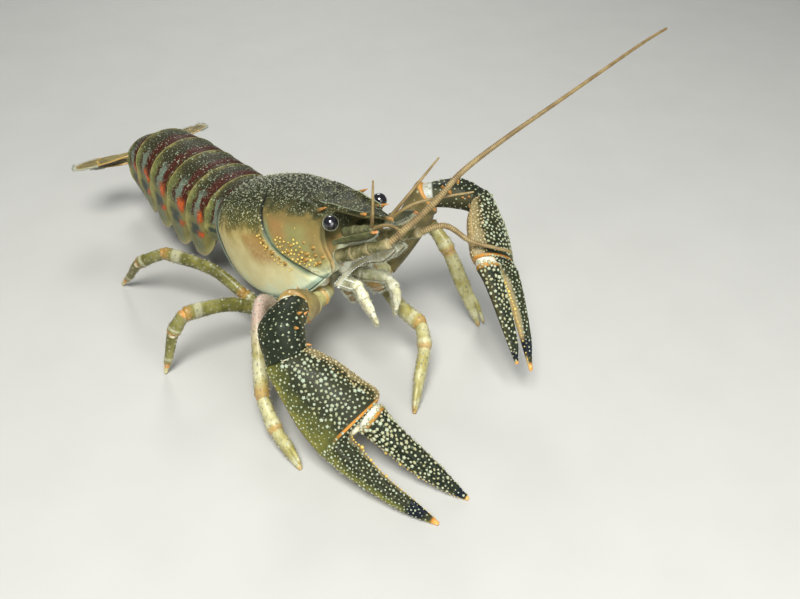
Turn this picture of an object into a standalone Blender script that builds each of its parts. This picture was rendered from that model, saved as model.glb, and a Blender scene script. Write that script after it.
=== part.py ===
"""Spiny-cheek crayfish, life size, in one still walking pose with both claws lowered to the floor.

Sizes are millimetres until the last step, which turns them into metres. Two frames are used:
  the animal's frame: x forward from the rear edge of the carapace, y to its left, z up, and
  the floor frame: the same axes with the body pitched nose up and the floor at z = 0.
The finished model stands on the floor with the middle of its box over the origin.
"""
import math
import random

import bmesh
import bpy
from mathutils import Matrix, Vector

MM = 0.001
GAP = 0.3
SLIVER = 0.03
SIDES = (("right", -1.0), ("left", 1.0))

# Stance of the body over the floor
PITCH = math.radians(16.4)
BODY_HEIGHT = 19.5
STANCE = Matrix.Translation((0.0, 0.0, BODY_HEIGHT)) @ Matrix.Rotation(-PITCH, 4, "Y")

# Carapace, in the animal's frame
CARAPACE_TOP = ((0.0, 8.0), (6.0, 9.2), (14.0, 10.0), (22.0, 9.8), (30.0, 8.7), (37.0, 7.2))
CARAPACE_HALF_WIDTH = ((0.0, 10.6), (6.0, 11.5), (14.0, 11.7), (22.0, 10.8), (28.0, 9.6), (32.0, 8.2), (37.0, 6.4))
WIDEST_HEIGHT = -0.5
FLAP_EDGE_HEIGHT = ((6.0, -9.6), (10.0, -11.6), (16.0, -12.4), (24.0, -11.4), (30.0, -8.6), (34.6, -5.0))
FLAP_EDGE_HALF_WIDTH = ((6.0, 9.6), (16.0, 10.4), (24.0, 10.0), (30.0, 8.6), (34.6, 6.4))
FLAP_THICKNESS = 1.3
UNDERSIDE_RISE = 2.6
# Edges of the two shields: share of the way down the side, and how far forward the edge lies there
REAR_EDGE = ((0.0, 1.4), (0.3, 0.2), (0.6, 0.0), (0.8, 2.2), (1.0, 6.6))
GROOVE = ((0.0, 15.2), (0.3, 17.6), (0.5, 20.4), (0.6, 22.6), (0.75, 27.6), (0.9, 31.2), (1.0, 32.6))
FRONT_EDGE = ((0.0, 36.6), (0.35, 34.8), (0.5, 35.0), (0.7, 35.8), (0.85, 35.6), (1.0, 34.8))
GROOVE_CUT = 0.6
ARCH_SHARE = 0.6
ARCH_STEPS = 8

# Rostrum, in the animal's frame
ROSTRUM_TIP = 48.0
ROSTRUM_HALF_WIDTH = ((30.0, 3.6), (34.0, 4.1), (38.0, 3.4), (42.6, 2.5), (43.6, 1.3), (48.0, 0.25))
ROSTRUM_TOP = ((30.0, 8.2), (34.0, 7.9), (38.0, 7.1), (42.6, 6.3), (48.0, 5.2))
ROSTRUM_THICKNESS = ((30.0, 2.4), (38.0, 1.5), (42.6, 1.2), (48.0, 0.5))
ROSTRUM_TROUGH = 0.45

# Eyes
EYE_CENTRE = (37.3, 6.1, 5.3)
EYE_RADIUS = 1.45
EYE_STALK_ROOT = (35.85, 5.25, 4.3)
EYE_STALK_RADIUS = 1.05

# Abdomen, in the floor frame: x and z of the middle of each joint, then the slope of the joint's plane
ABDOMEN_JOINTS = ((-0.35, 19.4, 16.4), (-5.4, 19.1, 2.0), (-13.0, 18.6, -4.0), (-21.4, 19.0, -5.0),
                  (-29.4, 19.8, -2.0), (-36.8, 20.0, 14.0), (-43.4, 18.0, 36.0))
ABDOMEN_HALF_WIDTH = (8.2, 9.6, 9.8, 9.6, 9.2, 8.6, 7.6)
ABDOMEN_ARCH = (5.8, 7.2, 7.8, 7.8, 7.4, 6.8, 5.8)
PLEURA_DROP = (4.0, 10.2, 11.0, 10.6, 9.7, 8.0)
PLEURA_THICKNESS = 1.3
BELLY_DROP = 1.6
TAIL_LENGTH = 13.5
FAN_SLOPE = math.radians(14.0)

# Walking legs: number, side, hip along the body, then arch, knee, wrist and foot in the floor frame, pincer or not
LEGS = (
    (2, "right", 24.2, (30.4, -14.0, 12.2), (33.0, -15.4, 8.6), (35.2, -15.0, 6.0), (40.6, -13.3, 0.0), True),
    (3, "right", 19.5, (28.0, -19.6, 19.0), (38.2, -27.6, 7.6), (43.6, -28.9, 4.0), (51.6, -29.6, 0.0), True),
    (4, "right", 14.5, (16.6, -19.6, 13.6), (15.0, -28.8, 15.1), (13.2, -31.0, 10.6), (11.4, -33.6, 0.0), False),
    (5, "right", 9.5, (3.0, -14.6, 13.0), (-8.1, -19.6, 14.3), (-15.0, -22.8, 9.8), (-23.4, -24.4, 0.0), False),
    (2, "left", 24.2, (38.6, 6.8, 12.2), (45.9, 6.4, 11.3), (49.2, 4.2, 8.6), (55.3, -4.4, 0.0), True),
    (3, "left", 19.5, (28.2, 15.6, 19.4), (33.2, 21.4, 23.2), (38.2, 21.8, 18.6), (45.0, 25.4, 0.0), True),
    (4, "left", 14.5, (13.2, 16.8, 13.8), (8.0, 24.0, 16.0), (5.4, 25.6, 10.4), (2.0, 27.4, 0.0), False),
    (5, "left", 9.5, (3.4, 15.2, 12.6), (-6.0, 20.6, 15.0), (-9.4, 22.0, 10.6), (-16.0, 24.0, 0.0), False),
)
HIP_ROOT = (5.1, -12.0)
HIP_BEND = (10.6, -15.3)
LEG_THICKNESS = {2: 1.75, 3: 1.75, 4: 1.5, 5: 1.45}
LEG_BREADTH = {2: 1.4, 3: 1.35, 4: 1.15, 5: 1.1}
FOOT_RADIUS = 0.42

# Great claws: joints in the floor frame, from the hip to the tips of the two fingers
CLAW_ROOT = (27.6, 4.1, -11.3)
CLAWS = {
    "right": {
        "hip": (31.7, -10.1, 16.8), "elbow": (38.9, -19.4, 24.6), "wrist": (43.5, -24.8, 18.9),
        "carpus": (41.1, -23.6, 23.3), "palm_end": (56.9, -22.1, 10.0), "breadth": (0.31, 0.83, 0.46),
        "fixed_bend": (64.8, -25.4, 4.4), "fixed_tip": (77.4, -20.2, 0.0),
        "finger_bend": (68.2, -16.2, 4.9), "finger_tip": (77.2, -12.5, 0.0),
    },
    "left": {
        "hip": (31.0, 10.9, 16.3), "elbow": (34.9, 18.8, 31.6), "wrist": (44.0, 24.5, 31.5),
        "carpus": (39.5, 22.8, 32.1), "palm_end": (53.2, 18.9, 24.1), "breadth": (0.14, -0.85, 0.50),
        "fixed_bend": (58.8, 20.4, 19.2), "fixed_tip": (68.0, 14.7, 8.1),
        "finger_bend": (60.9, 14.6, 18.0), "finger_tip": (66.5, 12.0, 10.5),
    },
}
CLAW_SIZE = {"right": 1.0, "left": 0.88}
PALM_HALF_BREADTH = (4.4, 5.8, 6.9, 7.2)
PALM_HALF_THICKNESS = (2.9, 3.6, 3.9, 3.5)
PALM_SIDE_SHIFT = 3.7
FIXED_HALF_BREADTH = (3.3, 2.6, 1.9, 1.5, 0.65)
FIXED_HALF_THICKNESS = (3.1, 2.3, 1.7, 1.2, 0.6)
MOVING_HALF_BREADTH = (2.7, 2.45, 2.3, 2.0, 1.3, 0.6)
MOVING_HALF_THICKNESS = (2.2, 1.9, 1.65, 1.4, 1.0, 0.55)
SHOULDER = 1.2
CLAW_SIDES = 10
# Which face of each claw is its back, as a sign, and the knobs: radius and height of each named size
BACK_FACE = {"right": 1.0, "left": -1.0}
KNOB_SIZES = {"small": (0.46, 0.36), "middle": (0.56, 0.46), "large": (0.68, 0.6)}
TOOTH_SIZES = {"small": (0.5, 0.45)}
# Rows of knobs: the angle round the piece in degrees, 0 at the inner edge and 90 on the back
PALM_KNOBS = ((4.0, "large", 6), (34.0, "middle", 5), (64.0, "small", 5), (92.0, "middle", 5), (120.0, "small", 4))
FIXED_KNOBS = ((70.0, "middle", 4), (118.0, "small", 4))
FINGER_KNOBS = ((150.0, "small", 3), (100.0, "middle", 5), (60.0, "large", 5), (14.0, "middle", 4))
CARPUS_KNOBS = ((30.0, "middle", 3), (75.0, "large", 3), (120.0, "middle", 3))

# Feelers, in the floor frame
ANTENNA_ROOT = (36.4, 5.2, -1.9)
ANTENNAE = {
    "right": {"peduncle": (49.2, -2.9, 1.6),
              "whip": ((49.0, 6.0, 40.7), (48.5, 13.4, 43.9), (48.5, 24.6, 46.7), (48.8, 41.0, 50.0), (49.0, 66.0, 54.7),
                       (49.4, 75.0, 56.2))},
    "left": {"peduncle": (49.0, 4.6, 0.8),
             "whip": ((48.6, 9.6, 34.3), (52.4, 12.6, 31.4), (55.4, 16.3, 29.7), (57.0, 19.2, 28.3))},
}
ANTENNA_THICKNESS = 0.66
ANTENNULES = {
    "right": {"outer": ((42.6, -3.0, 39.4), (41.3, -1.6, 45.0)), "inner": ((45.6, -2.2, 38.0), (49.6, -3.0, 39.2))},
    "left": {"outer": ((43.6, 4.6, 40.4), (43.6, 12.5, 45.4)), "inner": ((46.0, 4.8, 40.0), (50.7, 14.6, 40.4))},
}
SCALE_ROOT = (38.4, 7.0, 1.8)
SCALE_TIP = (49.2, 4.9, 4.7)

# Feet of the mouth, in the floor frame: knee and tip of each third maxilliped
MAXILLIPEDS = {
    "right": ((39.6, -4.4, 22.4), (42.0, -4.6, 20.4), (44.6, -4.1, 16.4)),
    "left": ((39.2, 3.4, 20.8), (41.8, 3.4, 18.8), (42.1, 3.0, 13.6)),
}


def floor_frame(x, y, z):
    """Turns a place in the animal's frame into the floor frame."""
    return STANCE @ Vector((x, y, z))


def curve_value(knots, x):
    """Reads a smooth curve through a few (position, value) knots."""
    if x <= knots[0][0]:
        return knots[0][1]
    for index in range(len(knots) - 1):
        (x0, v0), (x1, v1) = knots[index], knots[index + 1]
        if x <= x1:
            before = knots[max(index - 1, 0)]
            after = knots[min(index + 2, len(knots) - 1)]
            slope0 = (v1 - before[1]) / (x1 - before[0])
            slope1 = (after[1] - v0) / (after[0] - x0)
            span = x1 - x0
            t = (x - x0) / span
            return ((1 + 2 * t) * (1 - t) ** 2 * v0 + t * (1 - t) ** 2 * span * slope0
                    + t * t * (3 - 2 * t) * v1 + t * t * (t - 1) * span * slope1)
    return knots[-1][1]


def smooth_path(points, steps):
    """Puts a smooth path through points, with the given number of steps between each two."""
    points = [Vector(p) for p in points]
    path = []
    for index in range(len(points) - 1):
        p0, p1 = points[max(index - 1, 0)], points[index]
        p2, p3 = points[index + 1], points[min(index + 2, len(points) - 1)]
        for step in range(steps):
            t = step / steps
            path.append(0.5 * ((2 * p1) + (p2 - p0) * t + (2 * p0 - 5 * p1 + 4 * p2 - p3) * t * t
                               + (3 * p1 - p0 - 3 * p2 + p3) * t ** 3))
    path.append(points[-1])
    return path


def material(name, colour, roughness, metallic=0.0):
    """A plain Principled finish."""
    finish = bpy.data.materials.get(name) or bpy.data.materials.new(name)
    finish.use_nodes = True
    shader = finish.node_tree.nodes["Principled BSDF"]
    shader.inputs["Base Color"].default_value = (*colour, 1.0)
    shader.inputs["Roughness"].default_value = roughness
    shader.inputs["Metallic"].default_value = metallic
    return finish


def make_materials():
    """The finishes of the animal, as the photograph shows them."""
    return {
        "shell": material("mottled_olive_shell", (0.10, 0.09, 0.05), 0.45),
        "abdomen": material("banded_abdomen_shell", (0.16, 0.07, 0.05), 0.45),
        "claw": material("tubercled_claw_shell", (0.12, 0.12, 0.06), 0.5),
        "limb": material("ochre_limb_shell", (0.55, 0.40, 0.16), 0.5),
        "pale": material("pale_underside_shell", (0.72, 0.60, 0.42), 0.5),
        "eye": material("black_eye", (0.01, 0.01, 0.01), 0.15),
        "feeler": material("brown_feeler", (0.40, 0.24, 0.10), 0.5),
        "fan": material("translucent_tail_fan", (0.42, 0.33, 0.18), 0.4),
    }


def closed_mesh(rings, tip=None, root=None, level_ends=False, end_faces=None):
    """Lofts rings of equal count into one closed surface.

    Each end has a fan round its middle or a given point, one level face, or the listed faces of ring places.
    """
    count = len(rings[0])
    points = [Vector(p) for ring in rings for p in ring]
    faces = []
    for row in range(len(rings) - 1):
        low, high = row * count, (row + 1) * count
        for side in range(count):
            following = (side + 1) % count
            faces.append((low + side, low + following, high + following))
            faces.append((low + side, high + following, high + side))
    for end, (ring, start, apex) in enumerate(((rings[0], 0, root), (rings[-1], (len(rings) - 1) * count, tip))):
        if end_faces:
            faces += [tuple(start + place for place in face) for face in end_faces[end]]
            continue
        if level_ends:
            faces.append(tuple(range(start, start + count)))
            continue
        centre = Vector(apex) if apex is not None else sum((Vector(p) for p in ring), Vector()) / count
        points.append(centre)
        for side in range(count):
            faces.append((start + side, start + (side + 1) % count, len(points) - 1))
    return points, faces


def make_object(name, points, faces, finish):
    """Makes one closed object of triangles with its faces pointing out."""
    mesh = bpy.data.meshes.new(name)
    mesh.from_pydata([tuple(p) for p in points], [], faces)
    working = bmesh.new()
    working.from_mesh(mesh)
    bmesh.ops.triangulate(working, faces=[face for face in working.faces if len(face.verts) > 3])
    bmesh.ops.recalc_face_normals(working, faces=working.faces)
    working.to_mesh(mesh)
    working.free()
    mesh.materials.append(finish)
    mesh.shade_smooth()
    mesh.set_sharp_from_angle(angle=math.radians(40.0))
    made = bpy.data.objects.new(name, mesh)
    bpy.context.scene.collection.objects.link(made)
    return made


def keep_largest_surface(mesh):
    """Keeps only the largest closed surface of a mesh, in triangles without slivers."""
    working = bmesh.new()
    working.from_mesh(mesh)
    bmesh.ops.remove_doubles(working, verts=working.verts, dist=SLIVER)
    bmesh.ops.triangulate(working, faces=working.faces)
    bmesh.ops.dissolve_degenerate(working, edges=working.edges, dist=SLIVER)
    unseen = set(working.faces)
    shells = []
    while unseen:
        shell = {unseen.pop()}
        edge_of_search = list(shell)
        while edge_of_search:
            face = edge_of_search.pop()
            for edge in face.edges:
                for neighbour in edge.link_faces:
                    if neighbour in unseen:
                        unseen.discard(neighbour)
                        shell.add(neighbour)
                        edge_of_search.append(neighbour)
        shells.append(shell)
    shells.sort(key=lambda shell: sum(face.calc_area() for face in shell), reverse=True)
    scraps = [face for shell in shells[1:] for face in shell]
    bmesh.ops.delete(working, geom=scraps, context="FACES")
    loose = [vertex for vertex in working.verts if not vertex.link_faces]
    bmesh.ops.delete(working, geom=loose, context="VERTS")
    working.to_mesh(mesh)
    working.free()


def fuse(body, pieces):
    """Joins closed pieces to a body in one Boolean union and removes the pieces."""
    if not pieces:
        return body
    group = bpy.data.collections.new(body.name + "_pieces")
    bpy.context.scene.collection.children.link(group)
    for piece in pieces:
        group.objects.link(piece)
    union = body.modifiers.new("join_pieces", "BOOLEAN")
    union.operation = "UNION"
    union.operand_type = "COLLECTION"
    union.collection = group
    union.solver = "EXACT"
    evaluated = body.evaluated_get(bpy.context.evaluated_depsgraph_get())
    joined = bpy.data.meshes.new_from_object(evaluated)
    body.modifiers.clear()
    keep_largest_surface(joined)
    body.data = joined
    joined.name = body.name
    joined.shade_smooth()
    joined.set_sharp_from_angle(angle=math.radians(40.0))
    for piece in pieces:
        bpy.data.objects.remove(piece)
    bpy.data.collections.remove(group)
    return body


def oval_ring(centre, across, upward, half_width, half_height, sides):
    """One ring of points on an oval."""
    ring = []
    for side in range(sides):
        angle = 2 * math.pi * (side + 0.5) / sides
        ring.append(Vector(centre) + across * half_width * math.cos(angle) + upward * half_height * math.sin(angle))
    return ring


def tube_rings(path, half_widths, half_heights, sides, broad_axis, first_along=None, last_along=None):
    """Oval rings along a path, with their broad way kept near broad_axis."""
    rings = []
    for index, point in enumerate(path):
        before, after = path[max(index - 1, 0)], path[min(index + 1, len(path) - 1)]
        along = (after - before).normalized()
        if index == 0 and first_along is not None:
            along = first_along
        if index == len(path) - 1 and last_along is not None:
            along = last_along
        across = (Vector(broad_axis) - along * Vector(broad_axis).dot(along)).normalized()
        upward = along.cross(across)
        rings.append(oval_ring(point, across, upward, half_widths[index], half_heights[index], sides))
    return rings


def joint_plane(before, joint, after):
    """The way through a joint: half way between the way in and the way out."""
    way_in = (Vector(joint) - Vector(before)).normalized()
    way_out = (Vector(after) - Vector(joint)).normalized()
    return (way_in + way_out).normalized()


def spread(values, count):
    """Spreads a few values evenly over a number of places, with straight runs between them."""
    knots = [(index / (len(values) - 1), value) for index, value in enumerate(values)]
    spaced = []
    for place in range(count):
        t = place / (count - 1)
        for (t0, v0), (t1, v1) in zip(knots, knots[1:]):
            if t <= t1 + 1e-9:
                spaced.append(v0 + (v1 - v0) * (t - t0) / (t1 - t0))
                break
    return spaced


def limb(name, joints, widths, heights, finish, sides=8, steps=3, broad_axis=(0.0, 0.0, 1.0), tip=None, foot=0.0,
         first_along=None, last_along=None):
    """A limb segment through its joints, with a pointed tip or a small flat foot on the floor.

    first_along and last_along turn the end faces into a shared joint plane and draw them back by half the gap.
    """
    joints = [Vector(joint) for joint in joints]
    if first_along is not None:
        joints[0] = joints[0] + first_along * GAP * 0.6
    if last_along is not None:
        joints[-1] = joints[-1] - last_along * GAP * 0.6
    path = smooth_path(joints, steps)
    rings = tube_rings(path, spread(widths, len(path)), spread(heights, len(path)), sides, broad_axis,
                       first_along, last_along)
    if foot > 0.0:
        heading = Vector((path[-1].x - path[-2].x, path[-1].y - path[-2].y, 0.0)).normalized()
        rings[-1] = flat_foot_ring(Vector((path[-1].x, path[-1].y, 0.0)), heading, rings[-2], path[-2], foot)
    points, faces = closed_mesh(rings, tip=tip)
    return make_object(name, points, faces, finish)


def flat_foot_ring(ground, heading, last_ring, last_centre, foot):
    """The last ring of a foot, laid flat on the floor in the same order as the ring before it."""
    ring = []
    for point in last_ring:
        spoke = point - last_centre
        level = Vector((spoke.x, spoke.y, 0.0)) + heading * spoke.z
        ring.append(ground + level.normalized() * foot)
    return ring


def spine(root, tip, radius, finish, sides=5, hook=0.0):
    """A pointed spine from a sunk root, about fifteen triangles."""
    root, tip = Vector(root), Vector(tip)
    along = (tip - root).normalized()
    across = along.orthogonal().normalized()
    upward = along.cross(across)
    middle = root.lerp(tip, 0.55) + Vector((0.0, 0.0, hook))
    rings = [oval_ring(root, across, upward, radius, radius, sides),
             oval_ring(middle, across, upward, radius * 0.62, radius * 0.62, sides)]
    points, faces = closed_mesh(rings, tip=tip)
    return make_object("spine", points, faces, finish)


def tubercle(place, normal, radius, height, finish, sides=5):
    """A low rounded knob standing on a surface, its root sunk in."""
    normal = normal.normalized()
    across = normal.orthogonal().normalized()
    upward = normal.cross(across)
    rings = [oval_ring(place - normal * height * 1.2, across, upward, radius, radius, sides),
             oval_ring(place + normal * height * 0.45, across, upward, radius * 0.8, radius * 0.8, sides)]
    points, faces = closed_mesh(rings, tip=place + normal * height)
    return make_object("tubercle", points, faces, finish)


def place_on_tube(rings, run, angle):
    """A place on a lofted piece and the way out of it: run counts rings, angle is round the ring in degrees."""
    low = min(int(run), len(rings) - 2)
    share = run - low
    count = len(rings[0])
    turn = (angle % 360.0) / 360.0 * count - 0.5
    side = math.floor(turn)
    part = turn - side
    corners = [rings[row][(side + step) % count] for row in (low, low + 1) for step in (0, 1)]
    near = corners[0].lerp(corners[1], part)
    far = corners[2].lerp(corners[3], part)
    normal = (corners[1] - corners[0]).cross(far - near).normalized()
    return near.lerp(far, share), normal


def rows_of_knobs(rings, rows, start, end, face, sizes, finish, seed, pointed=False):
    """Knobs or teeth in rows along a lofted piece, evenly spaced, a little uneven in place, lean and size."""
    chance = random.Random(seed)
    pieces = []
    for row, (angle, size, count) in enumerate(rows):
        radius, height = sizes[size]
        for index in range(count):
            run = start + (end - start) * (index + 0.5 + 0.3 * (row % 2) + chance.uniform(-0.12, 0.12)) / (count + 0.3)
            place, normal = place_on_tube(rings, run, face * (angle + chance.uniform(-4.0, 4.0)))
            grow = chance.uniform(0.85, 1.12)
            if pointed:
                pieces.append(spine(place - normal * radius, place + normal * height * 2.0, radius * grow, finish))
                continue
            pieces.append(tubercle(place, normal, radius * grow, height * grow, finish))
    return pieces


def carapace_half_section(share, x, edge_x):
    """Side and height on the shell at a share of the way down from the back to the flap's edge."""
    half_width = curve_value(CARAPACE_HALF_WIDTH, x)
    top = curve_value(CARAPACE_TOP, x)
    if share <= ARCH_SHARE:
        angle = math.pi / 2 * (1.0 - share / ARCH_SHARE)
        return half_width * math.cos(angle) ** 0.92, WIDEST_HEIGHT + (top - WIDEST_HEIGHT) * math.sin(angle)
    angle = math.pi / 2 * (share - ARCH_SHARE) / (1.0 - ARCH_SHARE)
    edge_width = curve_value(FLAP_EDGE_HALF_WIDTH, edge_x)
    edge_height = curve_value(FLAP_EDGE_HEIGHT, edge_x)
    return (edge_width + (half_width - edge_width) * math.cos(angle),
            WIDEST_HEIGHT - (WIDEST_HEIGHT - edge_height) * math.sin(angle))


def carapace_place(rear, front, way, share, side):
    """A place on a shield: way runs from its rear edge to its front edge, share down its side."""
    x = curve_value(rear, share) * (1.0 - way) + curve_value(front, share) * way
    edge_x = curve_value(rear, 1.0) * (1.0 - way) + curve_value(front, 1.0) * way
    y, z = carapace_half_section(share, x, edge_x)
    return Vector((x, y * side, z))


def carapace_normal(rear, front, way, share, side):
    """Which way the shield faces at a place, in the animal's frame."""
    step = 0.02
    ahead = carapace_place(rear, front, way + step, share, side) - carapace_place(rear, front, way - step, share, side)
    down = carapace_place(rear, front, way, share + step, side) - carapace_place(rear, front, way, share - step, side)
    return (down.cross(ahead) * side).normalized()


def carapace_ring(rear, front, way, shift):
    """One ring round a shield, with the hollow between the flaps below it."""
    arch = []
    for step in range(-ARCH_STEPS, ARCH_STEPS + 1):
        share = abs(step) / ARCH_STEPS
        arch.append(carapace_place(rear, front, way, share, 1.0 if step >= 0 else -1.0))
    edge = arch[-1]
    roof = edge.z + UNDERSIDE_RISE
    inner = edge.y - FLAP_THICKNESS
    below = [Vector((edge.x, inner, edge.z + 0.4)), Vector((edge.x, inner - 0.3, roof)),
             Vector((edge.x, 0.0, roof)),
             Vector((edge.x, 0.3 - inner, roof)), Vector((edge.x, -inner, edge.z + 0.4))]
    return [STANCE @ (p + Vector((shift, 0.0, 0.0))) for p in arch + below]


def shield_end(rear, front, way):
    """The faces that close one end of a shield: level strips across it, and one fan in each flap."""
    heights = [carapace_place(rear, front, way, step / ARCH_STEPS, 1.0).z for step in range(ARCH_STEPS + 1)]
    roof = heights[-1] + UNDERSIDE_RISE
    last = max(step for step in range(ARCH_STEPS) if heights[step] > roof + 0.15)
    middle = ARCH_STEPS
    count = 2 * ARCH_STEPS + 1
    faces = [(middle, middle + 1, middle - 1)]
    faces += [(middle + step, middle + step + 1, middle - step - 1, middle - step) for step in range(1, last)]
    inner_left, roof_left, roof_middle, roof_right, inner_right = range(count, count + 5)
    faces.append((middle + last, roof_left, roof_middle, roof_right, middle - last))
    for step in range(last, ARCH_STEPS):
        faces.append((roof_left, middle + step, middle + step + 1))
        faces.append((roof_right, middle - step - 1, middle - step))
    faces.append((roof_left, middle + ARCH_STEPS, inner_left))
    faces.append((roof_right, inner_right, middle - ARCH_STEPS))
    return faces


def make_thorax(finishes):
    """The shield behind the neck groove, with the spines that stand behind the groove."""
    ways = (0.0, 0.08, 0.2, 0.36, 0.52, 0.68, 0.84, 1.0)
    rings = [carapace_ring(REAR_EDGE, GROOVE, way, -GROOVE_CUT / 2 * way) for way in ways]
    ends = [shield_end(REAR_EDGE, GROOVE, way) for way in (0.0, 1.0)]
    points, faces = closed_mesh(rings, end_faces=ends)
    thorax = make_object("thorax_carapace", points, faces, finishes["shell"])
    spines = []
    for _, side in SIDES:
        for share, length in ((0.54, 1.5), (0.62, 1.8), (0.70, 1.4)):
            place = carapace_place(REAR_EDGE, GROOVE, 0.93, share, side)
            normal = carapace_normal(REAR_EDGE, GROOVE, 0.93, share, side)
            lean = (normal * 0.75 + Vector((0.65, 0.0, 0.0))).normalized()
            spines.append(spine(STANCE @ (place - normal * 0.8), STANCE @ (place + lean * length), 0.55,
                                finishes["shell"]))
    return fuse(thorax, spines)


def rostrum_piece(finish):
    """The beak between the eyes: a shallow trough with raised edges, drawn to a point."""
    rings = []
    for x in (30.0, 32.5, 35.0, 38.0, 41.0, 42.6, 43.8, 46.0, ROSTRUM_TIP):
        half = curve_value(ROSTRUM_HALF_WIDTH, x)
        top = curve_value(ROSTRUM_TOP, x)
        bottom = top - curve_value(ROSTRUM_THICKNESS, x)
        trough = min(ROSTRUM_TROUGH, half * 0.2)
        outline = ((half, top - 0.35), (half * 0.82, top), (half * 0.35, top - trough), (0.0, top - trough * 1.1),
                   (-half * 0.35, top - trough), (-half * 0.82, top), (-half, top - 0.35),
                   (-half * 0.6, bottom), (0.0, bottom - 0.2), (half * 0.6, bottom))
        rings.append([floor_frame(x, y, z) for y, z in outline])
    points, faces = closed_mesh(rings)
    return make_object("rostrum", points, faces, finish)


def make_head(finishes):
    """The shield before the neck groove, with the beak, its spines and the spiny cheeks."""
    shell = finishes["shell"]
    ways = (0.0, 0.22, 0.45, 0.68, 0.88, 1.0)
    rings = [carapace_ring(GROOVE, FRONT_EDGE, way, GROOVE_CUT / 2 * (1.0 - way)) for way in ways]
    ends = [shield_end(GROOVE, FRONT_EDGE, way) for way in (0.0, 1.0)]
    points, faces = closed_mesh(rings, end_faces=ends)
    head = make_object("head_carapace", points, faces, shell)
    pieces = [rostrum_piece(shell)]
    for _, side in SIDES:
        pieces.append(spine(floor_frame(41.6, 2.0 * side, 5.8), floor_frame(44.2, 3.0 * side, 6.5), 0.55, shell))
        pieces.append(spine(floor_frame(32.4, 4.9 * side, 6.2), floor_frame(36.0, 5.2 * side, 8.0), 0.7, shell))
        for way, share, length in ((0.30, 0.60, 1.0), (0.48, 0.68, 1.5), (0.44, 0.55, 1.1), (0.62, 0.62, 1.6),
                                   (0.70, 0.72, 1.5), (0.80, 0.56, 1.3), (0.86, 0.66, 1.4)):
            place = carapace_place(GROOVE, FRONT_EDGE, way, share, side)
            normal = carapace_normal(GROOVE, FRONT_EDGE, way, share, side)
            lean = (normal * 0.8 + Vector((0.6, 0.0, 0.0))).normalized()
            pieces.append(spine(STANCE @ (place - normal * 0.8), STANCE @ (place + lean * length), 0.5, shell))
    return fuse(head, pieces)


def make_eyes(finishes):
    """Two black eyes, each on a short stalk that leaves the notch beside the beak."""
    for word, side in SIDES:
        centre = floor_frame(EYE_CENTRE[0], EYE_CENTRE[1] * side, EYE_CENTRE[2])
        root = floor_frame(EYE_STALK_ROOT[0], EYE_STALK_ROOT[1] * side, EYE_STALK_ROOT[2])
        along = (centre - root).normalized()
        back = EYE_RADIUS * 0.62
        stalk_end = centre - along * (back + GAP)
        limb("eye_stalk_" + word, (root, root.lerp(stalk_end, 0.5), stalk_end),
             (EYE_STALK_RADIUS, EYE_STALK_RADIUS * 0.9, EYE_STALK_RADIUS),
             (EYE_STALK_RADIUS, EYE_STALK_RADIUS * 0.9, EYE_STALK_RADIUS), finishes["pale"], steps=1)
        across = along.orthogonal().normalized()
        upward = along.cross(across)
        rings = []
        for height in (-0.62, -0.3, 0.1, 0.5, 0.82):
            radius = EYE_RADIUS * math.sqrt(1.0 - height * height)
            rings.append(oval_ring(centre + along * EYE_RADIUS * height, across, upward, radius, radius, 12))
        points, faces = closed_mesh(rings, tip=centre + along * EYE_RADIUS)
        make_object("eye_" + word, points, faces, finishes["eye"])


def abdomen_plane(index):
    """The middle, the way back and the way up of one joint plane of the abdomen."""
    x, z, slope = ABDOMEN_JOINTS[index]
    angle = math.radians(slope)
    back = Vector((-math.cos(angle), 0.0, -math.sin(angle)))
    return Vector((x, 0.0, z)), back, Vector((-math.sin(angle), 0.0, math.cos(angle)))


def abdomen_ring(middle, upward, half_width, arch, drop, thickness):
    """One ring of an abdomen segment: an arched back with a hanging lobe at each side."""
    lateral = Vector((0.0, 1.0, 0.0))
    outline = []
    for step in range(9):
        angle = math.pi * step / 8
        outline.append((half_width * math.cos(angle), arch * math.sin(angle)))
    outline += [(-half_width - 0.35, -drop * 0.55), (-half_width + 0.25, -drop), (-half_width + thickness, -drop * 0.9),
                (-half_width + thickness + 0.6, -BELLY_DROP), (0.0, -BELLY_DROP - 0.4),
                (half_width - thickness - 0.6, -BELLY_DROP), (half_width - thickness, -drop * 0.9),
                (half_width - 0.25, -drop), (half_width + 0.35, -drop * 0.55)]
    return [middle + lateral * y + upward * z for y, z in outline]


def make_abdomen(finishes):
    """Six segments that meet at their joint planes, with swimmerets under the middle four."""
    for index in range(6):
        front, front_back, front_up = abdomen_plane(index)
        rear, rear_back, rear_up = abdomen_plane(index + 1)
        start, end = front + front_back * GAP / 2, rear - rear_back * GAP / 2
        rings = []
        for t, swell, lobe in ((0.0, 0.965, 0.42), (0.3, 0.985, 0.8), (0.62, 1.0, 1.0), (0.85, 1.005, 0.82),
                               (1.0, 1.0, 0.45)):
            upward = front_up.lerp(rear_up, t).normalized()
            half = (ABDOMEN_HALF_WIDTH[index] * (1 - t) + ABDOMEN_HALF_WIDTH[index + 1] * t) * swell
            arch = (ABDOMEN_ARCH[index] * (1 - t) + ABDOMEN_ARCH[index + 1] * t) * swell
            drop = max(PLEURA_DROP[index] * lobe, BELLY_DROP + 0.8)
            rings.append(abdomen_ring(start.lerp(end, t), upward, half, arch, drop, PLEURA_THICKNESS))
        points, faces = closed_mesh(rings, level_ends=True)
        segment = make_object("abdomen_segment_%d" % (index + 1), points, faces, finishes["abdomen"])
        if 1 <= index <= 4:
            fuse(segment, swimmerets(index, start.lerp(end, 0.5), front_up, finishes["pale"]))


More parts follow.
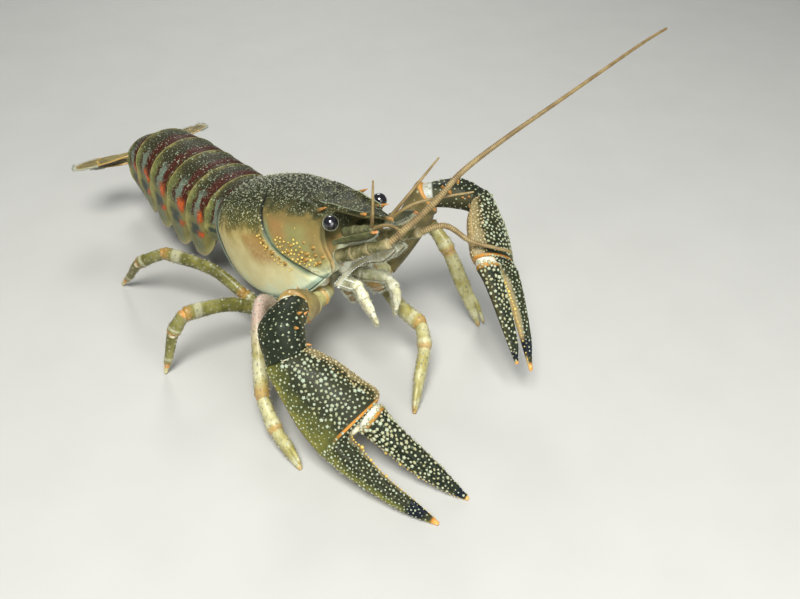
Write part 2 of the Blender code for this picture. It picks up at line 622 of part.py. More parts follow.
def swimmerets(index, middle, upward, finish):
    """A pair of small paddles hanging from the belly of one segment."""
    pieces = []
    for _, side in SIDES:
        root = middle + Vector((0.31, side * 4.27, 0.0)) - upward * (BELLY_DROP - 0.83)
        knee = root - upward * 3.2 + Vector((1.0, side * 0.6, 0.0))
        end = root - upward * 5.6 + Vector((2.6, side * 0.2, 0.0))
        pieces.append(limb("swimmeret", (root, knee, end), (0.8, 1.0, 0.45), (0.5, 0.45, 0.35), finish, sides=6,
                           steps=2, broad_axis=(0.0, 1.0, 0.0)))
    return pieces


def fan_blade(name, root, along, broad, length, width, thickness, finish, shares, face=None):
    """One flat blade of the tail fan with a raised middle rib; face gives the two ways of its first ring."""
    along, broad = along.normalized(), (broad - along * broad.dot(along)).normalized()
    upward = along.cross(broad)
    if upward.z < 0.0:
        upward = -upward
    rings = []
    for t, share in shares:
        half, thick = width / 2 * share, thickness / 2 * (1.0 - 0.3 * t)
        outline = ((half, 0.0), (half * 0.8, thick), (half * 0.2, thick), (0.0, thick * 1.5), (-half * 0.2, thick),
                   (-half * 0.8, thick), (-half, 0.0), (-half * 0.8, -thick), (0.0, -thick), (half * 0.8, -thick))
        across, up = (face if face and t == 0.0 else (broad, upward))
        rings.append([root + along * length * t + across * y + up * z for y, z in outline])
    points, faces = closed_mesh(rings, level_ends=True)
    return make_object(name, points, faces, finish)


def make_tail_fan(finishes):
    """The telson, curled under, and two blades at each side of it, held nearly level."""
    middle, back, upward = abdomen_plane(6)
    lateral = Vector((0.0, 1.0, 0.0))
    along = (back * 0.96 - upward * 0.1).normalized()
    root = middle + back * (GAP + 0.1) + upward * 0.9
    shares = ((0.0, 0.62), (0.3, 0.95), (0.6, 1.0), (0.85, 0.86), (1.0, 0.55))
    fan_blade("telson", root, along, lateral, TAIL_LENGTH, 8.0, 1.3, finishes["fan"], shares)
    blade = ((0.0, 0.36), (0.15, 0.42), (0.3, 0.8), (0.5, 1.0), (0.75, 1.0), (0.92, 0.78), (1.0, 0.45))
    fan_back = Vector((-math.cos(FAN_SLOPE), 0.0, -math.sin(FAN_SLOPE)))
    for word, side in SIDES:
        for kind, spread_angle, offset, lift, width in (("endopod", 30.0, 4.9, 0.6, 6.2), ("exopod", 60.0, 5.7, 2.6, 6.8)):
            angle = math.radians(spread_angle)
            heading = fan_back * math.cos(angle) + lateral * side * math.sin(angle)
            broad = lateral * side * math.cos(angle) - fan_back * math.sin(angle)
            base = middle + back * (GAP + 0.1) + lateral * side * offset + upward * lift
            fan_blade("uropod_%s_%s" % (kind, word), base, heading, broad, TAIL_LENGTH, width, 1.1, finishes["fan"],
                      blade, (lateral * side, upward))


def make_sternum(finishes):
    """The narrow plate between the legs."""
    rings = []
    for x, half, top, bottom in ((6.5, 3.4, -8.6, -10.8), (9.0, 4.2, -9.4, -12.8), (16.0, 4.1, -10.2, -13.4),
                                 (22.0, 3.9, -9.8, -13.0), (26.0, 3.0, -9.0, -12.2), (29.0, 2.6, -8.0, -11.2)):
        outline = ((half, top), (half, bottom + 0.8), (half * 0.4, bottom), (-half * 0.4, bottom),
                   (-half, bottom + 0.8), (-half, top), (0.0, top + 0.2))
        rings.append([floor_frame(x, y, z) for y, z in outline])
    points, faces = closed_mesh(rings, level_ends=True)
    make_object("sternum", points, faces, finishes["pale"])


def make_legs(finishes):
    """Eight walking legs, each an upper part to the knee and a lower part to the foot."""
    for number, word, along_body, arch, knee, wrist, foot, has_pincer in LEGS:
        side = -1.0 if word == "right" else 1.0
        root = floor_frame(along_body, HIP_ROOT[0] * side, HIP_ROOT[1])
        hip = floor_frame(along_body, HIP_BEND[0] * side, HIP_BEND[1] + 0.1 * max(along_body - 16.0, 0.0))
        arch, knee, wrist, foot = Vector(arch), Vector(knee), Vector(wrist), Vector(foot)
        thick, broad = LEG_THICKNESS[number], LEG_BREADTH[number]
        bend = joint_plane(arch, knee, wrist)
        limb("leg_%d_upper_%s" % (number, word), (root, hip, arch, knee),
             (thick * 0.95, thick * 1.0, thick * 1.15, thick * 1.0), (broad * 1.3, broad * 1.25, broad, broad),
             finishes["limb"], sides=8, steps=2, last_along=bend)
        name = "leg_%d_lower_%s" % (number, word)
        if not has_pincer:
            middle = wrist.lerp(foot, 0.55)
            limb(name, (knee, wrist, middle, foot), (thick, thick * 0.9, thick * 0.6, 0.4),
                 (broad, broad * 0.9, broad * 0.6, 0.4), finishes["limb"], sides=8, steps=2, foot=FOOT_RADIUS,
                 first_along=bend)
            continue
        hand = wrist.lerp(foot, 0.5) + Vector((0.0, 0.0, 0.5))
        lower = limb(name, (knee, wrist, hand, foot), (thick, thick * 0.95, thick * 1.05, 0.4),
                     (broad, broad, broad * 0.9, 0.4), finishes["limb"], sides=8, steps=2, foot=FOOT_RADIUS,
                     first_along=bend)
        along = (foot - wrist).normalized()
        outward = Vector((0.0, 0.0, 1.0)) - along * along.z
        outward.normalize()
        finger_root = hand - along * 0.6 + outward * 0.5
        finger_tip = foot - along * 1.0 + outward * 1.7
        finger = limb("finger", (finger_root, finger_root.lerp(finger_tip, 0.5) + outward * 0.6, finger_tip),
                      (0.8, 0.62, 0.3), (0.6, 0.5, 0.3), finishes["limb"], sides=6, steps=2)
        fuse(lower, [finger])


def quadratic_path(start, bend, end, steps):
    """Points along a curve that leaves start towards bend and arrives at end from it."""
    start, bend, end = Vector(start), Vector(bend), Vector(end)
    return [start * (1 - t) ** 2 + bend * 2 * t * (1 - t) + end * t * t for t in (i / steps for i in range(steps + 1))]


def finger_rings(path, broad_axis, breadths, thicknesses, size, first_along, on_floor):
    """Tapering rings along one finger of a great claw, ending in a small flat where it meets the floor."""
    widths = [value * size for value in spread(breadths, len(path))]
    heights = [value * size for value in spread(thicknesses, len(path))]
    rings = tube_rings(path, widths, heights, CLAW_SIDES, broad_axis, first_along=first_along)
    if on_floor:
        heading = Vector((path[-1].x - path[-2].x, path[-1].y - path[-2].y, 0.0)).normalized()
        rings[-1] = flat_foot_ring(Vector((path[-1].x, path[-1].y, 0.0)), heading, rings[-2], path[-2], 0.5)
    return rings


def make_claws(finishes):
    """Two great claws: base, merus, carpus, palm with its fixed finger, and the moving finger."""
    for word, side in SIDES:
        claw = {key: Vector(value) for key, value in CLAWS[word].items()}
        shell = finishes["claw"]
        root = floor_frame(CLAW_ROOT[0], CLAW_ROOT[1] * side, CLAW_ROOT[2])
        hip, elbow, wrist = claw["hip"], claw["elbow"], claw["wrist"]
        at_hip = joint_plane(root, hip, elbow)
        at_elbow = joint_plane(hip, elbow, claw["carpus"])
        at_wrist = joint_plane(claw["carpus"], wrist, claw["palm_end"])
        limb("claw_base_" + word, (root, root.lerp(hip, 0.5), hip), (1.7, 2.0, 2.2), (1.6, 1.9, 2.0), finishes["limb"],
             steps=2, last_along=at_hip)
        merus = limb("claw_merus_" + word, (hip, hip.lerp(elbow, 0.5), elbow), (2.4, 3.4, 3.7), (2.1, 2.8, 3.0), shell,
                     steps=2, first_along=at_hip, last_along=at_elbow)
        fuse(merus, merus_spines(hip, elbow, side, shell))
        size = CLAW_SIZE[word]
        carpus = limb("claw_carpus_" + word, (elbow, claw["carpus"], wrist), (3.4 * size, 4.3 * size, 3.7 * size),
                      (2.7 * size, 3.3 * size, 2.8 * size), shell, sides=10, steps=3, first_along=at_elbow,
                      last_along=at_wrist)
        middle = claw["carpus"]
        breadth = (claw["breadth"]).normalized()
        spines = [spine(middle + breadth * 2.6, middle + breadth * 5.8 + Vector((0.4, 0.0, 0.6)), 0.9, shell),
                  spine(middle.lerp(wrist, 0.6) + breadth * 2.2, middle.lerp(wrist, 0.6) + breadth * 4.9, 0.7, shell)]
        rings = tube_rings(smooth_path((elbow, middle, wrist), 3), spread((3.4 * size, 4.3 * size, 3.7 * size), 7),
                           spread((2.7 * size, 3.3 * size, 2.8 * size), 7), 10, breadth, at_elbow, at_wrist)
        spines += rows_of_knobs(rings, CARPUS_KNOBS, 1.2, 5.2, BACK_FACE[word], KNOB_SIZES, shell, 31)
        fuse(carpus, spines)
        make_hand(word, claw, at_wrist, shell)


def merus_spines(hip, elbow, side, finish):
    """Spines near the far end of a great claw's merus: two above, one below at each side."""
    along = (elbow - hip).normalized()
    above = (Vector((0.0, 0.0, 1.0)) - along * along.z).normalized()
    inward = above.cross(along).normalized() * side
    spines = []
    for run, lift, sideways, reach in ((0.66, 0.95, 0.1, 2.0), (0.44, 0.98, -0.15, 1.5), (0.7, -0.75, 0.6, 1.8),
                                       (0.66, -0.75, -0.7, 1.6)):
        lean = (above * lift + inward * sideways).normalized()
        place = hip.lerp(elbow, run) + lean * 2.2
        spines.append(spine(place, place + lean * reach + along * reach * 0.6, 0.6, finish))
    return spines


def make_hand(word, claw, at_wrist, shell):
    """The palm with its fixed finger as one piece, and the moving finger beside it."""
    size = CLAW_SIZE[word]
    wrist, palm_end = claw["wrist"], claw["palm_end"]
    axis = (palm_end - wrist).normalized()
    breadth = (claw["breadth"] - axis * claw["breadth"].dot(axis)).normalized()
    start = wrist + at_wrist * GAP
    rings = []
    for index, (half_breadth, half_thickness) in enumerate(zip(PALM_HALF_BREADTH, PALM_HALF_THICKNESS)):
        share = index / (len(PALM_HALF_BREADTH) - 1)
        along = at_wrist.lerp(axis, min(share * 3.0, 1.0)).normalized()
        across = (breadth - along * breadth.dot(along)).normalized()
        rings.append(oval_ring(start.lerp(palm_end, share), across, along.cross(across), half_breadth * size,
                               half_thickness * size, CLAW_SIDES))
    on_floor = claw["fixed_tip"].z < 0.01
    outer = palm_end - breadth * PALM_SIDE_SHIFT * size + axis * SHOULDER
    path = quadratic_path(outer, claw["fixed_bend"], claw["fixed_tip"], 5)
    rings += finger_rings(path, breadth, FIXED_HALF_BREADTH, FIXED_HALF_THICKNESS, size, axis, on_floor)
    points, faces = closed_mesh(rings)
    palm = make_object("claw_palm_" + word, points, faces, shell)
    face = BACK_FACE[word]
    knobs = rows_of_knobs(rings, PALM_KNOBS, 0.35, 2.9, face, KNOB_SIZES, shell, 11)
    knobs += rows_of_knobs(rings, FIXED_KNOBS, 4.4, 7.6, face, KNOB_SIZES, shell, 12)
    knobs += rows_of_knobs(rings, ((0.0, "small", 5),), 5.4, 8.4, face, TOOTH_SIZES, shell, 13, pointed=True)
    fuse(palm, knobs)
    inner = palm_end + breadth * PALM_SIDE_SHIFT * size + axis * (SHOULDER / 2 + GAP + 0.15)
    path = quadratic_path(inner, claw["finger_bend"], claw["finger_tip"], 6)
    tilt = (axis * 7.4 + breadth * SHOULDER).normalized()
    rings = finger_rings(path, breadth, MOVING_HALF_BREADTH, MOVING_HALF_THICKNESS, size, tilt, on_floor)
    points, faces = closed_mesh(rings)
    finger = make_object("claw_finger_" + word, points, faces, shell)
    knobs = rows_of_knobs(rings, FINGER_KNOBS, 0.5, 5.0, face, KNOB_SIZES, shell, 21)
    knobs += rows_of_knobs(rings, ((180.0, "small", 4),), 2.2, 5.2, face, TOOTH_SIZES, shell, 22, pointed=True)
    fuse(finger, knobs)


def make_antennae(finishes):
    """Two long antennae, each a jointed base, a leaf-shaped scale and a whip in two lengths."""
    for word, side in SIDES:
        antenna = ANTENNAE[word]
        root = floor_frame(ANTENNA_ROOT[0], ANTENNA_ROOT[1] * side, ANTENNA_ROOT[2])
        end = floor_frame(*antenna["peduncle"])
        whip = [end] + [Vector(p) for p in antenna["whip"]]
        at_end = joint_plane(root, end, whip[1])
        limb("antenna_base_" + word, (root, root.lerp(end, 0.35), root.lerp(end, 0.7), end), (1.5, 1.45, 1.15, 0.95),
             (1.5, 1.4, 1.1, 0.95), finishes["feeler"], steps=2, last_along=at_end)
        path = smooth_path([end + at_end * GAP * 0.6] + whip[1:], 4)
        radii = spread((ANTENNA_THICKNESS, 0.55, 0.4, 0.27), len(path))
        radii[0] = 0.8
        split = len(path) // 2
        across_way = Vector((1.0, 0.0, 0.3))
        rings = tube_rings(path[:split + 1], radii[:split + 1], radii[:split + 1], 6, across_way, first_along=at_end)
        points, faces = closed_mesh(rings)
        make_object("antenna_near_" + word, points, faces, finishes["feeler"])
        along = (path[split + 1] - path[split - 1]).normalized()
        far = [path[split] + along * GAP] + path[split + 1:]
        rings = tube_rings(far, radii[split:], radii[split:], 6, across_way, first_along=along)
        points, faces = closed_mesh(rings)
        make_object("antenna_far_" + word, points, faces, finishes["feeler"])
        make_scale(word, side, finishes["limb"])


def make_scale(word, side, finish):
    """The leaf-shaped scale beside the base of an antenna, with a spine at its outer corner."""
    root = floor_frame(SCALE_ROOT[0], SCALE_ROOT[1] * side, SCALE_ROOT[2])
    tip = floor_frame(SCALE_TIP[0], SCALE_TIP[1] * side, SCALE_TIP[2])
    along = (tip - root).normalized()
    inward = STANCE.to_3x3() @ Vector((0.1, -0.86 * side, -0.50))
    inward = (inward - along * inward.dot(along)).normalized()
    upward = along.cross(inward)
    length = (tip - root).length
    rings = []
    for t, inner_edge, outer_edge in ((0.0, 0.7, -0.7), (0.25, 1.5, -1.0), (0.55, 1.9, -0.9), (0.8, 1.3, -0.7),
                                      (0.9, 0.5, -0.5), (1.0, 0.12, -0.15)):
        thick = 0.42 if t < 0.9 else 0.3 - 0.2 * (t > 0.95)
        outline = ((outer_edge, 0.0), (outer_edge * 0.5, thick), (inner_edge * 0.5, thick * 0.8), (inner_edge, 0.0),
                   (inner_edge * 0.5, -thick * 0.8), (outer_edge * 0.5, -thick))
        rings.append([root + along * length * t + inward * y + upward * z for y, z in outline])
    points, faces = closed_mesh(rings)
    make_object("antenna_scale_" + word, points, faces, finish)


def make_antennules(finishes):
    """Two short forked feelers under the beak, each one piece."""
    for word, side in SIDES:
        root = floor_frame(35.3, 1.9 * side, 1.6)
        fork = floor_frame(44.0, 1.8 * side, 3.4)
        base = limb("antennule_" + word, (root, root.lerp(fork, 0.5), fork), (1.1, 1.0, 0.75), (1.1, 1.0, 0.75),
                    finishes["feeler"], sides=8, steps=2)
        whips = []
        for branch in ("outer", "inner"):
            middle, tip = ANTENNULES[word][branch]
            start = fork - (fork - root).normalized() * 0.5
            whips.append(limb("whip", (start, middle, tip), (0.36, 0.32, 0.22), (0.36, 0.32, 0.22), finishes["feeler"],
                              sides=5, steps=3, broad_axis=(1.0, 0.2, 0.1)))
        fuse(base, whips)


def make_mouth(finishes):
    """The jaws under the head and the third maxillipeds, each a broad base and a hanging end."""
    rings = []
    for x, half, top, bottom in ((30.2, 2.2, -6.2, -8.2), (31.8, 3.4, -5.0, -7.8), (33.6, 3.6, -4.0, -7.2),
                                 (35.4, 2.4, -3.4, -5.8)):
        outline = ((half, top - 0.3), (half, bottom + 0.9), (half * 0.5, bottom), (0.0, bottom + 0.5),
                   (-half * 0.5, bottom), (-half, bottom + 0.9), (-half, top - 0.3), (0.0, top))
        rings.append([floor_frame(x, y, z) for y, z in outline])
    points, faces = closed_mesh(rings, level_ends=True)
    make_object("mouthparts", points, faces, finishes["pale"])
    for word, side in SIDES:
        root = floor_frame(29.9, 2.0 * side, -9.8)
        knee, bend, tip = (Vector(p) for p in MAXILLIPEDS[word])
        at_knee = joint_plane(root, knee, bend)
        base = limb("maxilliped_base_" + word, (root, root.lerp(knee, 0.35) - Vector((0.0, 0.0, 0.2)), knee),
                    (1.3, 1.7, 1.3), (1.1, 1.25, 1.1), finishes["pale"], steps=3, last_along=at_knee)
        below = Vector((0.3, 0.0, -1.9))
        joints = (root.lerp(knee, 0.3) + below * 0.6, root.lerp(knee, 0.6) + below, root.lerp(knee, 0.88) + below * 0.7)
        lobe = limb("lobe", joints, (1.0, 1.6, 0.9), (0.8, 1.2, 0.8), finishes["pale"], steps=2)
        fuse(base, [lobe])
        limb("maxilliped_end_" + word, (knee, bend, tip), (1.15, 1.2, 0.35), (1.0, 1.0, 0.3), finishes["pale"], steps=3,
             first_along=at_knee, broad_axis=(1.0, 0.0, 0.3))


def stand_over_origin():
    """Moves every mesh so that the middle of the whole box stands over the origin, and turns it into metres."""
    pieces = [thing for thing in bpy.data.objects if thing.type == "MESH"]
    corners = [vertex.co for piece in pieces for vertex in piece.data.vertices]
    middle_x = (min(c.x for c in corners) + max(c.x for c in corners)) / 2
    middle_y = (min(c.y for c in corners) + max(c.y for c in corners)) / 2
    for piece in pieces:
        piece.data.transform(Matrix.Scale(MM, 4) @ Matrix.Translation((-middle_x, -middle_y, 0.0)))


def clear_scene():
    """Removes whatever the scene holds at the start."""
    for thing in list(bpy.data.objects):
        bpy.data.objects.remove(thing)


def main():
    """Builds the whole animal."""
    clear_scene()
    finishes = make_materials()
    make_thorax(finishes)
    make_head(finishes)
    make_eyes(finishes)
    make_abdomen(finishes)
    make_tail_fan(finishes)
    make_sternum(finishes)
    make_legs(finishes)
    make_claws(finishes)
    make_antennae(finishes)
    make_antennules(finishes)
    make_mouth(finishes)
    stand_over_origin()


main()
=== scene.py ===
"""Dressed spiny-cheek crayfish, life size, standing on a plain pale floor.

Shapes are worked out in millimetres in two frames, as the solids are:
  the animal's frame: x forward from the rear edge of the carapace, y to its left, z up, and
  the floor frame: the same axes with the body pitched nose up and the floor at z = 0.
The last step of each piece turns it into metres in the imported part's frame.
"""

import logging
import math
import random
from collections.abc import Callable
from dataclasses import dataclass, field
from enum import Enum
from functools import reduce
from itertools import product

import bmesh
import bpy
import numpy as np
from mathutils import Matrix, Vector

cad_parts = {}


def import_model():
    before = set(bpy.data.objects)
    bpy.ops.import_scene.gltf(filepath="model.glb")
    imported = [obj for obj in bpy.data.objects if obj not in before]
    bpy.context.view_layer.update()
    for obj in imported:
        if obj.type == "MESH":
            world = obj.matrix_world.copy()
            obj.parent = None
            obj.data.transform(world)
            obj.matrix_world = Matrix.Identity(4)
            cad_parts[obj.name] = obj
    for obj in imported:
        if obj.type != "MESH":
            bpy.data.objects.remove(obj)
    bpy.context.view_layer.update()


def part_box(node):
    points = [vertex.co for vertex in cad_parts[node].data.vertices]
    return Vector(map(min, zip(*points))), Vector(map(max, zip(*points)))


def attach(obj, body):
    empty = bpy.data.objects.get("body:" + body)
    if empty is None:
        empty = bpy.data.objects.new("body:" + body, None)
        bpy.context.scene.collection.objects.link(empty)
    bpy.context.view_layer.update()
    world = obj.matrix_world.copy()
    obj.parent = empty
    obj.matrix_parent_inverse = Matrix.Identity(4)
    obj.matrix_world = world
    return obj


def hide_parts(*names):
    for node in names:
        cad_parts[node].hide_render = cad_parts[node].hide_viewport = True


Knots = tuple[tuple[float, float], ...]
Triple = tuple[float, float, float]
Socket = bpy.types.NodeSocket

LOG = logging.getLogger("crayfish")
MM = 0.001
GAP = 0.3
PITCH = math.radians(16.4)
BODY_HEIGHT = 19.5
STANCE = Matrix.Translation((0.0, 0.0, BODY_HEIGHT)) @ Matrix.Rotation(-PITCH, 4, "Y")
SIDEWAYS = Vector((0.0, 1.0, 0.0))
UPWARD = Vector((0.0, 0.0, 1.0))


class Side(Enum):
    """The two sides of the animal, with the sign of y on each."""

    RIGHT = -1.0
    LEFT = 1.0

    @property
    def word(self) -> str:
        """The side's word in the names of nodes."""
        return self.name.lower()

    def at(self, place: Triple) -> Vector:
        """A place of the animal's frame, given for its left side, on this side and in the floor frame."""
        return STANCE @ self.free(place)

    def free(self, place: Triple) -> Vector:
        """A place given for the left side, on this side and in the same frame."""
        return Vector((place[0], place[1] * self.value, place[2]))


class Slot(Enum):
    """The record's material slots."""

    SHELL = "mottled_olive_shell"
    ABDOMEN = "banded_abdomen_shell"
    CLAW = "tubercled_claw_shell"
    LIMB = "ochre_limb_shell"
    PALE = "pale_underside_shell"
    EYE = "black_eye"
    FEELER = "brown_feeler"
    FAN = "translucent_tail_fan"


# Curves and frames


def floor_frame(x: float, y: float, z: float) -> Vector:
    """Turns a place in the animal's frame into the floor frame."""
    return STANCE @ Vector((x, y, z))


def curve_value(knots: Knots, x: float) -> float:
    """Reads a smooth curve through a few (position, value) knots.

    Args:
        knots: The knots in rising order of position.
        x: The position to read at.

    Returns:
        The curve's value, held level beyond its ends.
    """
    if x <= knots[0][0]:
        return knots[0][1]
    for index in range(len(knots) - 1):
        (x0, v0), (x1, v1) = knots[index], knots[index + 1]
        if x <= x1:
            before = knots[max(index - 1, 0)]
            after = knots[min(index + 2, len(knots) - 1)]
            slope0 = (v1 - before[1]) / (x1 - before[0])
            slope1 = (after[1] - v0) / (after[0] - x0)
            span = x1 - x0
            t = (x - x0) / span
            return ((1 + 2 * t) * (1 - t) ** 2 * v0 + t * (1 - t) ** 2 * span * slope0
                    + t * t * (3 - 2 * t) * v1 + t * t * (t - 1) * span * slope1)
    return knots[-1][1]


def smooth_path(points: list, steps: int) -> list[Vector]:
    """Puts a smooth path through points.

    Args:
        points: The points to pass through.
        steps: Steps between each two of them.

    Returns:
        The path's points.
    """
    ends = [Vector(p) for p in points]
    path = []
    for index in range(len(ends) - 1):
        p0, p1 = ends[max(index - 1, 0)], ends[index]
        p2, p3 = ends[index + 1], ends[min(index + 2, len(ends) - 1)]
        for step in range(steps):
            t = step / steps
            path.append(0.5 * ((2 * p1) + (p2 - p0) * t + (2 * p0 - 5 * p1 + 4 * p2 - p3) * t * t
                               + (3 * p1 - p0 - 3 * p2 + p3) * t ** 3))
    path.append(ends[-1])
    return path


def quadratic_path(start: Vector, bend: Vector, end: Vector, steps: int) -> list[Vector]:
    """Points along a curve that leaves start towards bend and arrives at end from it."""
    shares = [step / steps for step in range(steps + 1)]
    return [start * (1 - t) ** 2 + bend * 2 * t * (1 - t) + end * t * t for t in shares]


def spread(values: tuple[float, ...], count: int) -> list[float]:
    """Spreads a few values evenly over a number of places, with straight runs between them."""
    knots = np.linspace(0.0, 1.0, len(values))
    return [float(v) for v in np.interp(np.linspace(0.0, 1.0, count), knots, values)]


def joint_plane(before: Vector, joint: Vector, after: Vector) -> Vector:
    """The way through a joint: half way between the way in and the way out."""
    way_in = (Vector(joint) - Vector(before)).normalized()
    way_out = (Vector(after) - Vector(joint)).normalized()
    return (way_in + way_out).normalized()


def square_to(way: Vector, along: Vector) -> Vector:
    """The part of a way that is square to another one, one unit long."""
    return (way - along * way.dot(along)).normalized()


def oval_ring(centre: Vector, across: Vector, upward: Vector, half_width: float, half_height: float,
              sides: int) -> list[Vector]:
    """One ring of points on an oval."""
    angles = [2 * math.pi * (side + 0.5) / sides for side in range(sides)]
    return [Vector(centre) + across * half_width * math.cos(a) + upward * half_height * math.sin(a) for a in angles]


def tube_rings(path: list[Vector], half_widths: tuple[float, ...], half_heights: tuple[float, ...], sides: int,
               broad_axis: Triple | Vector, first_along: Vector | None = None,
               last_along: Vector | None = None) -> list[list[Vector]]:
    """Oval rings along a path, with their broad way kept near broad_axis.

    Args:
        path: The middle of each ring.
        half_widths: A few values of half the broad way, spread evenly over the path.
        half_heights: The same of half the thin way.
        sides: Points on a ring.
        broad_axis: The broad way.
        first_along: The way that the first ring faces, where it isn't the path's.
        last_along: The way that the last ring faces, where it isn't the path's.

    Returns:
        One list of points for each ring.
    """
    rings = []
    widths, heights = spread(half_widths, len(path)), spread(half_heights, len(path))
    for index, point in enumerate(path):
        before, after = path[max(index - 1, 0)], path[min(index + 1, len(path) - 1)]
        along = (after - before).normalized()
        if index == 0 and first_along is not None:
            along = first_along
        if index == len(path) - 1 and last_along is not None:
            along = last_along
        across = square_to(Vector(broad_axis), along)
        rings.append(oval_ring(point, across, along.cross(across), widths[index], heights[index], sides))
    return rings


def bump_at(value: np.ndarray | float, centre: float, width: float) -> np.ndarray | float:
    """A smooth bump of height 1 round a value."""
    return np.exp(-((value - centre) / width) ** 2)


def step_up(value: np.ndarray | float, low: float, high: float) -> np.ndarray | float:
    """A smooth step from 0 at low to 1 at high."""
    t = np.clip((value - low) / (high - low), 0.0, 1.0)
    return t * t * (3 - 2 * t)


# Forms: smooth grids lofted from the same coarse rings as the solids


def smooth_between(p0: np.ndarray, p1: np.ndarray, p2: np.ndarray, p3: np.ndarray, t: float) -> np.ndarray:
    """A point of a smooth curve from p1 to p2."""
    return 0.5 * (2 * p1 + (p2 - p0) * t + (2 * p0 - 5 * p1 + 4 * p2 - p3) * t * t
                  + (3 * p1 - p0 - 3 * p2 + p3) * t ** 3)


def points_of(rings: list[list[Vector]]) -> np.ndarray:
    """Rings of points as one array, rows by columns by 3."""
    return np.array([[tuple(p) for p in ring] for ring in rings], dtype=float)


def smooth_rows(grid: np.ndarray, steps: int) -> np.ndarray:
    """Puts smooth curves between the rows of a grid, with so many steps from one to the next."""
    last = len(grid) - 1
    rows = [smooth_between(grid[max(row - 1, 0)], grid[row], grid[row + 1], grid[min(row + 2, last)], step / steps)
            for row in range(last) for step in range(steps)]
    return np.array(rows + [grid[last]])


def refine(rings: list[list[Vector]], around: int, along: int) -> np.ndarray:
    """Puts smooth curves round and along coarse rings.

    Args:
        rings: Coarse rings of equal count.
        around: How many points each side of a ring becomes.
        along: How many rows each step between rings becomes.

    Returns:
        A grid of points, rows by columns by 3, closed round its columns.
    """
    coarse = points_of(rings)
    before, after, beyond = (np.roll(coarse, shift, axis=1) for shift in (1, -1, -2))
    pieces = [smooth_between(before, coarse, after, beyond, step / around) for step in range(around)]
    return smooth_rows(np.stack(pieces, axis=2).reshape(coarse.shape[0], -1, 3), along)


